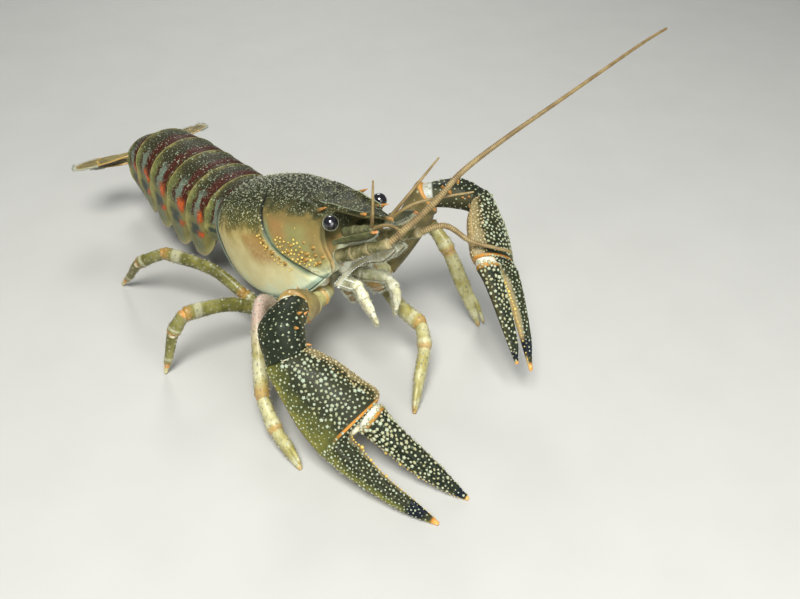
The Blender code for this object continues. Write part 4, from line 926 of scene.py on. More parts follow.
class Wardrobe:
    """Makes every finish of the animal."""

    DARK = (0.012, 0.014, 0.007)
    SPECK = (0.33, 0.40, 0.28)
    MAROON = (0.040, 0.012, 0.007)

    def __init__(self) -> None:
        """Builds the shared effects and then each material."""
        self.effects = Effects()
        self.carapace = self.make_carapace()
        self.abdomen = self.make_abdomen()
        self.claw = self.make_claw()
        self.limb = self.make_limb()
        self.pale = self.make_pale()
        self.eye = self.make_eye()
        self.feeler = self.make_feeler()
        self.fan = self.make_fan()
        self.scale = self.make_scale()
        self.knob = self.make_knob("raised_grey_knobs", (0.32, 0.37, 0.28), (0.055, 0.065, 0.035), 0.6)
        self.cream = self.make_knob("raised_cream_knobs", (0.36, 0.39, 0.28), (0.07, 0.08, 0.045), 0.6)
        self.silver = self.make_knob("silvery_beads", (0.82, 0.86, 0.80), (0.30, 0.30, 0.22), 0.25)
        self.granule = self.make_knob("pale_granules", (0.33, 0.39, 0.29), (0.035, 0.038, 0.022), 0.6)
        self.gold = self.make_knob("golden_cheek_knobs", (0.60, 0.46, 0.12), (0.26, 0.15, 0.035), 0.35)
        self.horn = self.make_knob("orange_tipped_spines", (0.46, 0.22, 0.06), (0.17, 0.12, 0.04), 0.45)
        self.rim = self.make_knob("beige_margin_knobs", (0.40, 0.35, 0.21), (0.17, 0.135, 0.07), 0.5)
        self.feeler_ring = self.make_feeler_ring()
        self.beak = self.make_beak()
        self.cup = self.make_cup()
        self.merus = self.make_merus()
        self.bristle = self.make_bristle()
        self.membrane = self.make_membrane()

    def start(self, name: str, clouds: float = 0.0, **facts: float) -> Canvas:
        """Starts one finish."""
        return Canvas(Finish(name, clouds, **facts), self.effects)

    def make_carapace(self) -> bpy.types.Material:
        """Near-black speckled back, beige flanks, tan cheeks, a teal-grey rim and a dark groove."""
        c = self.start("mottled_olive_shell_dressed", 260.0, roughness=0.42, bump=0.45, coat=0.04, shine=0.12,
                       pits=1900.0, depth=0.45, waves=700.0, subsurface=0.04)
        run, turn = c.run, c.turn
        share = c.waver(turn, c.clouds, 0.075)
        ahead = c.step(run, 0.99, 1.03)
        c.colour = c.colours(share, (0.0, self.DARK), (0.25, (0.026, 0.027, 0.011)), (0.40, (0.07, 0.068, 0.020)),
                             (0.475, (0.16, 0.125, 0.035)), (0.53, (0.36, 0.285, 0.095)), (0.62, (0.50, 0.42, 0.19)),
                             (0.78, (0.61, 0.56, 0.31)), (0.88, (0.56, 0.61, 0.42)), (1.0, (0.48, 0.55, 0.42)))
        c.lay((0.30, 0.17, 0.05), c.hill(run, 0.76, 0.26), c.hill(turn, 0.60, 0.13), c.add(c.times(c.fine, 0.3), 0.62))
        c.lay((0.17, 0.19, 0.10), c.hill(run, 0.972, 0.022), c.step(turn, 0.40, 0.52), c.step(turn, 0.88, 0.78), 0.6)
        flank = c.colour
        c.colour = c.colours(share, (0.0, self.DARK), (0.20, (0.024, 0.025, 0.010)), (0.27, (0.045, 0.043, 0.017)),
                             (0.34, (0.165, 0.125, 0.042)), (0.48, (0.21, 0.158, 0.056)), (0.62, (0.235, 0.19, 0.07)),
                             (0.74, (0.30, 0.285, 0.125)), (0.80, (0.44, 0.46, 0.28)), (1.0, (0.55, 0.57, 0.40)))
        c.lay((0.17, 0.115, 0.045), c.step(c.clouds, 0.50, 0.66), c.step(share, 0.30, 0.38), 0.5)
        c.lay((0.28, 0.155, 0.055), c.hill(run, 1.30, 0.2), c.hill(turn, 0.44, 0.10), 0.6)
        c.lay((0.20, 0.215, 0.085), c.hill(turn, 0.50, 0.16), c.hill(run, 1.56, 0.26), 0.55)
        c.lay((0.33, 0.18, 0.075), c.step(run, 1.84, 1.97), c.step(turn, 0.52, 0.62), c.step(turn, 0.88, 0.78), 0.45)
        c.lay((0.055, 0.057, 0.026), c.step(run, 1.90, 1.97), c.step(turn, 0.60, 0.46), 0.7)
        c.lay((0.145, 0.185, 0.10), c.hill(run, 1.07, 0.065), c.step(turn, 0.34, 0.46), c.step(turn, 0.90, 0.80), 0.9)
        c.colour = c.mix(ahead, flank, c.colour)
        groove = c.mix(c.step(turn, 0.36, 0.62), (0.006, 0.007, 0.005), (0.085, 0.115, 0.07))
        c.lay(groove, c.hill(run, 1.004, 0.042), c.step(turn, 0.10, 0.26), c.step(turn, 0.92, 0.80))
        specks = c.speckles(1450.0, 0.8, 0.46)
        limit = c.blend(ahead, c.step(share, 0.57, 0.43), c.step(share, 0.34, 0.24))
        pale = c.mix(c.step(turn, 0.28, 0.46), self.SPECK, (0.44, 0.34, 0.10))
        pale = c.mix(specks["Tone"], pale, (0.50, 0.49, 0.30))
        c.lay(pale, specks["Mask"], limit, c.blend(ahead, 0.75, 0.35))
        c.lay(pale, c.speckles(2500.0, 0.6, 0.42)["Mask"], limit, 0.3)
        rear = c.times(c.step(run, 0.080, 0.050), c.step(turn, 0.3, 0.5))
        c.lay((0.19, 0.255, 0.19), c.most(c.step(turn, 0.875, 0.915), rear), c.step(run, 1.75, 1.55), 0.85)
        rear = c.times(c.step(run, 0.016, 0.006), c.step(turn, 0.15, 0.5))
        c.lay((0.42, 0.44, 0.30), c.most(c.step(turn, 0.975, 0.99), rear), 0.7)
        rear = c.times(c.hill(run, 0.032, 0.013), c.step(turn, 0.2, 0.4))
        c.lay((0.022, 0.034, 0.030), c.most(c.hill(turn, 0.955, 0.014), rear), c.step(run, 1.2, 0.9), 0.85)
        c.grain(0.35)
        return c.close(c.blend(limit, 0.36, 0.58), c.times(specks["Mask"], limit, 1.3))

    def make_abdomen(self) -> bpy.types.Material:
        """Dark speckled back, maroon bands, pale stripes, two rows of orange spots and pale lobe tips."""
        c = self.start("banded_abdomen_shell_dressed", 420.0, roughness=0.42, bump=0.4, coat=0.04, shine=0.12,
                       pits=1900.0, depth=0.4, waves=800.0, subsurface=0.04)
        run, down = c.waver(c.run, c.clouds, 0.12), c.waver(c.turn, c.fine, 0.03)
        back = c.colours(run, (0.0, (0.06, 0.055, 0.018)), (0.22, (0.03, 0.018, 0.008)), (0.28, self.MAROON),
                         (0.46, (0.040, 0.009, 0.006)), (0.54, (0.022, 0.020, 0.009)), (0.82, (0.030, 0.028, 0.013)),
                         (0.93, (0.06, 0.056, 0.018)), (1.0, (0.13, 0.12, 0.04)))
        side = c.colours(run, (0.0, (0.12, 0.11, 0.035)), (0.20, (0.09, 0.082, 0.026)), (0.25, self.MAROON),
                         (0.42, (0.048, 0.011, 0.006)), (0.48, (0.105, 0.135, 0.10)), (0.64, (0.12, 0.15, 0.11)),
                         (0.69, (0.045, 0.012, 0.007)), (0.74, (0.040, 0.018, 0.010)), (0.79, (0.075, 0.080, 0.028)),
                         (0.94, (0.11, 0.115, 0.036)), (1.0, (0.20, 0.19, 0.07)))
        lobe = c.colours(run, (0.0, (0.11, 0.10, 0.03)), (0.30, (0.17, 0.15, 0.045)), (0.50, (0.13, 0.15, 0.085)),
                         (0.72, (0.12, 0.12, 0.04)), (1.0, (0.22, 0.20, 0.07)))
        c.colour = c.mix(c.step(down, 0.20, 0.33), back, side)
        c.lay(lobe, c.step(down, 0.45, 0.55))
        c.lay((0.022, 0.032, 0.030), c.hill(down, 0.66, 0.10), c.hill(run, 0.62, 0.28), 0.9)
        for centre, half, at, wide, depth in ((0.50, 0.11, 0.42, 0.17, 1.0), (0.71, 0.06, 0.38, 0.18, 0.95)):
            c.lay((0.24, 0.05, 0.008), c.hill(down, centre, half), c.hill(run, at, wide), depth)
            c.lay((0.46, 0.080, 0.010), c.hill(down, centre, half * 0.6), c.hill(run, at, wide * 0.55), depth)
        c.lay((0.30, 0.30, 0.13), c.step(down, 0.86, 0.97), 0.6)
        c.lay((0.42, 0.30, 0.13), c.hill(c.turn, 0.985, 0.02), 0.7)
        c.lay((0.26, 0.24, 0.11), c.step(c.turn, 1.02, 1.08))
        specks, upper = c.speckles(1500.0, 0.62, 0.42)["Mask"], c.step(down, 0.44, 0.24)
        c.lay(self.SPECK, specks, upper, 0.55)
        c.grain(0.25)
        c.lay((0.34, 0.29, 0.11), c.step(c.run, 0.965, 0.99), c.step(c.turn, 1.0, 0.9), 0.55)
        return c.close(c.blend(upper, 0.36, 0.56), c.times(specks, upper))

    def make_claw(self) -> bpy.types.Material:
        """Near-black olive back, yellow-olive outer side, beige inner margin, orange tips behind a dark band."""
        c = self.start("tubercled_claw_shell_dressed", 300.0, roughness=0.5, bump=0.5, coat=0.03, shine=0.10,
                       pits=1500.0, depth=0.6, waves=800.0)
        run, kind, turn = c.run, c.kind, c.waver(c.turn, c.clouds, 0.05)
        c.colour = c.colours(turn, (0.0, (0.24, 0.20, 0.11)), (0.05, (0.16, 0.135, 0.07)),
                             (0.09, (0.018, 0.021, 0.011)), (0.28, (0.020, 0.023, 0.012)),
                             (0.36, (0.065, 0.070, 0.020)), (0.44, (0.17, 0.165, 0.035)),
                             (0.54, (0.24, 0.20, 0.05)), (0.72, (0.36, 0.27, 0.10)), (0.90, (0.40, 0.29, 0.13)),
                             (1.0, (0.34, 0.26, 0.14)))
        dark = c.colours(turn, (0.0, (0.05, 0.048, 0.026)), (0.08, (0.012, 0.016, 0.010)),
                         (0.34, (0.013, 0.018, 0.011)), (0.45, (0.035, 0.038, 0.017)),
                         (0.56, (0.045, 0.042, 0.018)), (0.85, (0.040, 0.040, 0.020)),
                         (1.0, (0.05, 0.048, 0.026)))
        moving, fingers, wrist = c.step(kind, 0.55, 0.75), c.step(kind, 0.3, 0.4), c.step(kind, 0.35, 0.15)
        c.lay(dark, c.most(moving, wrist))
        c.lay(c.mix(1.0, c.colour, (1.5, 1.35, 0.8), "MULTIPLY"), c.clouds, 0.35)
        specks = c.speckles(1300.0, 0.55, 0.40)["Mask"]
        back = c.times(c.step(turn, 0.0, 0.06), c.step(turn, 0.5, 0.4))
        c.lay((0.26, 0.30, 0.20), specks, back, 0.35)
        freckles = c.speckles(1700.0, 0.5, 0.40)["Mask"]
        c.lay((0.05, 0.045, 0.02), freckles, c.step(turn, 0.40, 0.48), c.step(turn, 0.62, 0.56), 0.7)
        c.lay((0.006, 0.009, 0.014), c.step(run, 0.86, 0.90), c.step(run, 0.955, 0.93), fingers)
        c.lay(c.mix(c.fine, (0.50, 0.20, 0.035), (0.62, 0.36, 0.12)), c.step(run, 0.96, 0.978), fingers)
        c.lay((0.40, 0.19, 0.035), c.step(run, 0.075, 0.055), moving, 0.9)
        c.lay((0.56, 0.56, 0.46), c.step(run, 0.045, 0.03), moving, 0.95)
        inner = c.most(c.step(c.turn, 0.34, 0.26), c.step(c.turn, 0.66, 0.74))
        c.lay((0.48, 0.20, 0.03), fingers, c.step(kind, 0.7, 0.6), c.hill(run, 0.338, 0.013), inner, 0.9)
        c.grain(0.25)
        c.lay(c.mix(c.clouds, (0.50, 0.53, 0.50), (0.36, 0.36, 0.28)), c.step(run, 0.135, 0.105),
              c.step(c.tone, 0.5, 0.6), wrist, 0.85)
        return c.close(c.blend(c.clouds, 0.44, 0.58), c.times(specks, back, 1.2))

    def make_limb(self) -> bpy.types.Material:
        """Ochre and cream shell, grey-green speckles above, orange-brown at the joints."""
        c = self.start("ochre_limb_shell_dressed", 330.0, roughness=0.42, bump=0.25, coat=0.15, pits=1300.0, depth=0.4,
                       waves=700.0, subsurface=0.06)
        ochre = c.mix(c.clouds, (0.08, 0.078, 0.016), (0.175, 0.165, 0.044))
        cream = c.mix(c.clouds, (0.29, 0.255, 0.08), (0.43, 0.41, 0.22))
        c.colour = c.mix(c.step(c.tone, 0.2, 0.8), ochre, cream)
        c.lay((0.46, 0.33, 0.31), c.hill(c.kind, 0.2, 0.06), c.step(c.run, 0.75, 0.45), 0.8)
        above = c.add(c.most(c.step(c.turn, 0.32, 0.12), c.step(c.turn, 0.68, 0.88)), 0.15)
        specks = c.speckles(1150.0, 0.55, 0.46)
        c.lay(c.mix(specks["Tone"], (0.07, 0.08, 0.04), (0.34, 0.38, 0.30)), specks["Mask"], above, 0.7)
        c.lay((0.15, 0.14, 0.07), c.speckles(2100.0, 0.55, 0.46)["Mask"], above, 0.5)
        c.lay((0.34, 0.17, 0.035), c.most(c.step(c.run, 0.86, 0.97), c.step(c.run, 0.07, 0.01)), 0.6)
        c.lay((0.56, 0.55, 0.40), c.hill(c.run, 0.80, 0.08), 0.4)
        c.lay((0.50, 0.45, 0.24), c.step(c.kind, 0.5, 0.9), 0.8)
        c.grain(0.25)
        return c.close(c.blend(c.fine, 0.32, 0.46))

    def make_pale(self) -> bpy.types.Material:
        """Cream and white shell of the mouth and the underside, with orange-brown and grey-green spots."""
        c = self.start("pale_underside_shell_dressed", 520.0, roughness=0.36, bump=0.25, coat=0.25, pits=1100.0,
                       depth=0.4, waves=700.0, subsurface=0.08)
        c.colour = c.mix(c.clouds, (0.64, 0.64, 0.52), (0.44, 0.42, 0.26))
        c.lay(c.mix(c.clouds, (0.56, 0.56, 0.40), (0.34, 0.34, 0.19)), c.hill(c.kind, 0.25, 0.1))
        spots = c.speckles(620.0, 0.4, 0.5)
        tint = c.mix(c.step(spots["Tone"], 0.4, 0.6), (0.38, 0.17, 0.03), (0.13, 0.16, 0.10))
        c.lay(tint, spots["Mask"], c.blend(c.tone, 0.15, 0.85))
        c.lay(c.mix(c.clouds, (0.30, 0.15, 0.03), (0.22, 0.13, 0.035)), c.step(c.kind, 0.5, 0.9), 0.9)
        c.lay((0.60, 0.58, 0.42), c.step(c.run, 0.85, 0.97), 0.4)
        c.grain(0.2)
        return c.close(c.blend(c.fine, 0.3, 0.42))

    def make_eye(self) -> bpy.types.Material:
        """Glossy black eye with a fine honeycomb of facets and a brown-violet depth."""
        c = self.start("black_eye_dressed", 900.0, roughness=0.16, bump=0.05, bump_distance=0.00003, coat=1.0,
                       coat_roughness=0.04, shine=0.5, pits=7000.0, depth=1.0, waves=900.0)
        c.colour = c.mix(c.clouds, (0.004, 0.0045, 0.006), (0.012, 0.010, 0.014))
        return c.close()

    def make_feeler(self) -> bpy.types.Material:
        """Tan-brown feelers, paler along one side, darker between the rings."""
        c = self.start("brown_feeler_dressed", 500.0, roughness=0.42, bump=0.25, coat=0.2, pits=2500.0, depth=0.3,
                       waves=900.0, subsurface=0.06)
        c.colour = c.mix(c.clouds, (0.085, 0.082, 0.030), (0.24, 0.21, 0.10))
        c.lay((0.32, 0.25, 0.13), c.step(c.run, 0.86, 0.97), 0.45)
        c.lay(c.mix(c.fine, (0.05, 0.06, 0.03), (0.15, 0.165, 0.085)), c.hill(c.tone, 0.6, 0.1), 0.7)
        base = c.colour
        c.colour = c.mix(c.clouds, (0.17, 0.12, 0.035), (0.27, 0.21, 0.08))
        c.lay((0.42, 0.37, 0.18), c.hill(c.turn, 0.3, 0.25), 0.3)
        c.lay(base, c.step(c.tone, 0.5, 0.58))
        c.lay((0.16, 0.15, 0.08), c.speckles(1200.0, 0.4, 0.42)["Mask"], c.tone, 0.6)
        c.grain(0.25)
        return c.close()

    def make_fan(self) -> bpy.types.Material:
        """Thin horn-like tan plates with paler ribs, dark freckles and a pale orange rim."""
        c = self.start("translucent_tail_fan_dressed", 420.0, roughness=0.33, bump=0.3, coat=0.35, pits=1700.0,
                       depth=0.35, waves=900.0, subsurface=0.35, alpha=0.93)
        c.colour = c.mix(c.clouds, (0.12, 0.10, 0.038), (0.23, 0.185, 0.07))
        c.lay((0.07, 0.07, 0.045), c.speckles(1250.0, 0.5, 0.45)["Mask"], 0.55)
        wave = c.times(c.add(c.math("SINE", c.times(c.turn, 75.0)), 1.0), 0.5)
        c.lay((0.34, 0.29, 0.13), c.step(wave, 0.75, 1.0), 0.35)
        sides = (c.hill(c.turn, at, half) for at, half in ((0.0, 0.035), (1.0, 0.035), (0.6, 0.03)))
        c.lay((0.50, 0.30, 0.09), c.most(c.step(c.run, 0.91, 0.985), *sides), 0.7)
        c.grain(0.25)
        return c.close()

    def make_scale(self) -> bpy.types.Material:
        """The antennal scale: olive-grey with a pale rib and an orange spine tip."""
        c = self.start("olive_antennal_scale", 600.0, roughness=0.36, bump=0.25, pits=1500.0, depth=0.4, waves=800.0,
                       subsurface=0.1)
        c.colour = c.mix(c.clouds, (0.045, 0.052, 0.022), (0.11, 0.115, 0.045))
        c.lay((0.30, 0.29, 0.11), c.hill(c.turn, 0.35, 0.07), 0.8)
        c.lay((0.32, 0.30, 0.14), c.hill(c.turn, 0.02, 0.06), 0.7)
        c.lay((0.44, 0.19, 0.06), c.step(c.run, 0.88, 0.95))
        c.grain(0.25)
        return c.close()

    def make_knob(self, name: str, top: Triple, foot: Triple, roughness: float) -> bpy.types.Material:
        """Planted knobs, pale at the top and darker at the foot."""
        c = self.start(name, roughness=roughness, bump=0.15, coat=0.1, pits=3000.0, depth=0.4, waves=1500.0,
                       subsurface=0.12)
        deep, warm = (tuple(part * share for part, share in zip(top, shares))
                      for shares in ((0.72, 0.66, 0.5), (0.95, 0.82, 0.6)))
        tone = c.node("ShaderNodeAttribute", {}, attribute_name="tone")["Fac"]
        c.colour = foot
        c.lay(c.mix(tone, top, c.mix(c.noise(c.where, 900.0), deep, warm)), c.step(c.turn, 0.0, 0.55))
        return c.close()

    def make_feeler_ring(self) -> bpy.types.Material:
        """The rings of a feeler: tan swellings with dark furrows between them."""
        c = self.start("ringed_feeler", 260.0, roughness=0.4, bump=0.12, coat=0.25, pits=2500.0, depth=0.3,
                       waves=1100.0, subsurface=0.12)
        c.colour = c.mix(c.clouds, (0.15, 0.10, 0.038), (0.25, 0.185, 0.08))
        c.lay((0.07, 0.045, 0.016), c.most(c.step(c.turn, 0.22, 0.02), c.step(c.turn, 0.78, 0.98)), 0.75)
        return c.close()

    def make_beak(self) -> bpy.types.Material:
        """The beak: dark trough, pale raised margins that are partly a painted highlight along the ridges, orange
        point.
        """
        c = self.start("dark_beak_with_pale_margins", 420.0, roughness=0.5, bump=0.45, coat=0.02, shine=0.10,
                       pits=1900.0, depth=0.45, waves=800.0)
        c.colour = c.mix(c.clouds, self.DARK, (0.045, 0.043, 0.018))
        # The raised margins are painted pale: partly the shell's own pale margin, partly a painted highlight along the
        # ridges
        margins = c.most(*(c.hill(c.turn, at, 0.022) for at in BEAK_MARGINS))
        c.lay((0.34, 0.36, 0.22), margins, 0.9, c.step(c.run, 0.10, 0.30))
        shoulders = c.most(*(c.hill(c.turn, at, 0.06) for at in BEAK_SHOULDERS))
        c.lay((0.50, 0.20, 0.03), c.hill(c.run, 0.66, 0.03), shoulders, 0.8)
        specks = c.speckles(1500.0, 0.7, 0.42)["Mask"]
        c.lay(self.SPECK, specks, 0.45)
        c.lay((0.16, 0.14, 0.06), c.step(c.turn, 0.68, 0.74), c.step(c.turn, 0.99, 0.95))
        c.lay((0.30, 0.18, 0.07), c.step(c.run, 0.89, 0.97), 0.8)
        c.grain(0.22)
        return c.close(height=specks)

    def make_cup(self) -> bpy.types.Material:
        """The pale grey cup round an eye, with a darker stalk."""
        c = self.start("pale_grey_eye_cup", 900.0, roughness=0.32, bump=0.15, coat=0.4, pits=1500.0, depth=0.3,
                       waves=900.0, subsurface=0.2)
        c.colour = c.mix(c.clouds, (0.20, 0.21, 0.15), (0.12, 0.13, 0.09))
        c.lay((0.06, 0.055, 0.025), c.step(c.run, 0.45, 0.30))
        c.lay((0.05, 0.05, 0.05), c.step(c.run, 0.84, 0.92))
        return c.close()

    def make_merus(self) -> bpy.types.Material:
        """The claw's upper arm: cream and tan below, darker and speckled above, with an orange rim; the far arm takes a
        dark olive copy, partly its own darker inner face and partly painted shade.
        """
        c = self.start("cream_claw_arm", 330.0, roughness=0.45, bump=0.4, coat=0.08, pits=1400.0, depth=0.5,
                       waves=700.0, subsurface=0.12)
        # near is the cream and tan arm; far is a dark olive copy for the far arm, partly its darker inner face and
        # partly painted shade; the tone picks between them
        near = c.mix(c.clouds, (0.42, 0.33, 0.12), (0.30, 0.20, 0.06))
        far = c.mix(c.clouds, (0.085, 0.065, 0.024), (0.032, 0.038, 0.016))
        c.colour = c.mix(c.tone, far, near)
        above = c.most(c.step(c.turn, 0.16, 0.06), c.step(c.turn, 0.84, 0.94))
        c.lay((0.12, 0.10, 0.045), above, 0.7)
        c.lay((0.50, 0.46, 0.30), c.speckles(1200.0, 0.5, 0.42)["Mask"], above, 0.8)
        c.lay((0.46, 0.22, 0.05), c.step(c.run, 0.955, 0.99), c.blend(c.tone, 0.95, 0.2))
        c.grain(0.22)
        return c.close()

    def make_bristle(self) -> bpy.types.Material:
        """Setae: pale straw at the tip, brown at the root."""
        c = self.start("straw_setae", roughness=0.45, bump=0.05, coat=0.1, subsurface=0.2)
        c.colour = (0.26, 0.18, 0.08)
        c.lay(c.mix(c.noise(c.where, 400.0), (0.44, 0.42, 0.28), (0.54, 0.60, 0.48)), c.step(c.turn, 0.0, 0.7))
        return c.close()

    def make_membrane(self) -> bpy.types.Material:
        """Soft white skin of the joints, tinged orange."""
        c = self.start("soft_joint_membrane", 520.0, roughness=0.42, bump=0.25, coat=0.35, pits=900.0, depth=0.3,
                       waves=900.0, subsurface=0.3)
        c.colour = c.mix(c.clouds, (0.60, 0.58, 0.46), (0.46, 0.34, 0.15))
        c.lay((0.50, 0.20, 0.03), c.step(c.kind, 0.5, 0.9), 0.9)
        return c.close()


# The parts of the body


class Workshop:
    """Holds what every part of the body needs, and hands each finished piece to the frame."""

    def __init__(self) -> None:
        """Makes the finishes and the planter."""
        self.wear = Wardrobe()
        self.patterns = Patterns()
        self.planter = Planter(self.patterns)

    def hand_over(self, piece: bpy.types.Object, slot: Slot, *nodes: str) -> None:
        """Gives a finished piece to the frame: its body and the nodes that it stands for."""
        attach(piece, "root")
        if nodes:
            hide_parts(*nodes)
        LOG.info("%s: %d faces, for %s", piece.name, len(piece.data.polygons), ", ".join(nodes) or "detail only")

    def show(self, piece: Sculpt, finish: bpy.types.Material, slot: Slot, *nodes: str) -> None:
        """Turns a sculpted piece into its object and hands it over."""
        self.hand_over(piece.to_object(finish), slot, *nodes)

    def sow(self, name: str, plants: list[Plant], pattern: Pattern, finish: bpy.types.Material, slot: Slot, seed: int,
            unevenness: float, coat: bool = False) -> None:
        """Plants one shape on every point and hands the piece over."""
        self.hand_over(self.planter.grow(name, plants, pattern, finish, seed, unevenness, coat), slot)


def oval_form(rings: list[list[Vector]], around: int = 6, along: int = 8, mirrored: bool = False) -> Form:
    """A smooth form from the solids' oval rings, with turn 0 on the broad way; mirrored runs the turn backwards."""
    grid = np.roll(refine(rings, around, along), around // 2, axis=1)
    if mirrored:
        grid = np.roll(grid[:, ::-1], 1, axis=1)
    return Form(grid)


def turned_form(centre: Vector, axis: Vector, profile: tuple[tuple[float, float], ...], columns: int = 32) -> Form:
    """A form turned round an axis, from (height, radius) pairs."""
    along = axis.normalized()
    across = along.orthogonal().normalized()
    upward = along.cross(across)
    rings = [oval_ring(centre + along * height, across, upward, radius, radius, columns) for height, radius in profile]
    return Form(points_of(rings))


def podomere(path: list[Vector], start: float, end: float, widths: tuple[float, ...], heights: tuple[float, ...],
             broad_axis: Triple | Vector, swell: float = 0.1, waist: float = 0.1, sides: int = 28) -> Form:
    """One joint of a limb: part of a limb's path, a little waisted at its root and swollen towards its end.

    Args:
        path: Fine points along the whole limb.
        start: Where the joint starts, as a share of the path.
        end: Where it ends.
        widths: A few values of half the limb's broad way, spread evenly over the path.
        heights: The same of half its thin way.
        broad_axis: The broad way.
        swell: How much the joint swells near its end, as a share.
        waist: How much it narrows at its root, as a share.
        sides: Points round it.

    Returns:
        The joint's form with rounded ends.
    """
    rows = 22
    last = len(path) - 1
    widths, heights = spread(widths, len(path)), spread(heights, len(path))
    centres, across, thick = [], [], []
    for row in range(rows):
        t = row / (rows - 1)
        place = (start + (end - start) * t) * last
        low = min(int(place), last - 1)
        share = place - low
        centres.append(path[low].lerp(path[low + 1], share))
        grow = 1.0 - waist * (1.0 - t) ** 3 * 1.2 + swell * float(bump_at(t, 0.84, 0.16))
        grow -= 0.05 * float(bump_at(t, 0.45, 0.25))
        across.append(max((widths[low] * (1 - share) + widths[low + 1] * share) * grow, 0.05))
        thick.append(max((heights[low] * (1 - share) + heights[low + 1] * share) * grow, 0.05))
    rings = tube_rings(centres, across, thick, sides, broad_axis)
    return Form(points_of(rings)).round_ends(0.45, 0.4)


def spiny_lean(way_out: Vector, forward: Vector, rise: float, reach: float) -> Vector:
    """The way that a spine points: part out of the surface and part forward."""
    return (way_out * rise + forward * reach).normalized()


@dataclass(frozen=True)
class ShellShape:
    """The shell over head and thorax as curves in the animal's frame; way runs 0 to 1 to the groove, then to 2."""

    top: Knots = ((0.0, 8.0), (6.0, 9.2), (14.0, 10.0), (22.0, 9.8), (30.0, 8.7), (37.0, 7.2))
    half_width: Knots = ((0.0, 10.6), (6.0, 11.5), (14.0, 11.7), (22.0, 10.8), (28.0, 9.6), (32.0, 8.2), (37.0, 6.4))
    edge_height: Knots = ((6.0, -9.6), (10.0, -11.6), (16.0, -12.4), (24.0, -11.4), (30.0, -8.6), (34.6, -5.0))
    edge_half_width: Knots = ((6.0, 9.6), (16.0, 10.4), (24.0, 10.0), (30.0, 8.6), (34.6, 6.4))
    rear: Knots = ((0.0, 1.4), (0.3, 0.2), (0.6, 0.0), (0.8, 2.2), (1.0, 6.6))
    groove: Knots = ((0.0, 15.2), (0.3, 17.6), (0.5, 20.4), (0.6, 22.6), (0.75, 27.6), (0.9, 31.2), (1.0, 32.6))
    front: Knots = ((0.0, 36.6), (0.35, 34.8), (0.5, 35.0), (0.7, 35.8), (0.85, 35.6), (1.0, 34.8))
    widest_height: float = -0.5
    arch_share: float = 0.6
    flap_thickness: float = 1.3
    rise: float = 2.6

    def half_section(self, share: float, x: float, edge_x: float) -> tuple[float, float]:
        """Side and height on the shell at a share of the way down from the back to the flap's edge."""
        half = curve_value(self.half_width, x)
        if share <= self.arch_share:
            angle = math.pi / 2 * (1.0 - share / self.arch_share)
            return (half * max(math.cos(angle), 0.0) ** 0.92,
                    self.widest_height + (curve_value(self.top, x) - self.widest_height) * math.sin(angle))
        angle = math.pi / 2 * (share - self.arch_share) / (1.0 - self.arch_share)
        edge_width = curve_value(self.edge_half_width, edge_x)
        edge_height = curve_value(self.edge_height, edge_x)
        return (edge_width + (half - edge_width) * math.cos(angle),
                self.widest_height - (self.widest_height - edge_height) * math.sin(angle))

    def place(self, way: float, share: float, side: float) -> Vector:
        """A place on the shell in the animal's frame."""
        rear, front = (self.rear, self.groove) if way <= 1.0 else (self.groove, self.front)
        part = way if way <= 1.0 else way - 1.0
        x = curve_value(rear, share) * (1.0 - part) + curve_value(front, share) * part
        edge_x = curve_value(rear, 1.0) * (1.0 - part) + curve_value(front, 1.0) * part
        y, z = self.half_section(share, x, edge_x)
        return Vector((x, y * side, z))

    def out(self, way: float, share: float, side: float) -> Vector:
        """The way out of the shell in the animal's frame."""
        step = 0.02
        ahead = self.place(way + step, share, side) - self.place(way - step, share, side)
        down = self.place(way, share + step, side) - self.place(way, share - step, side)
        return (down.cross(ahead) * side).normalized()


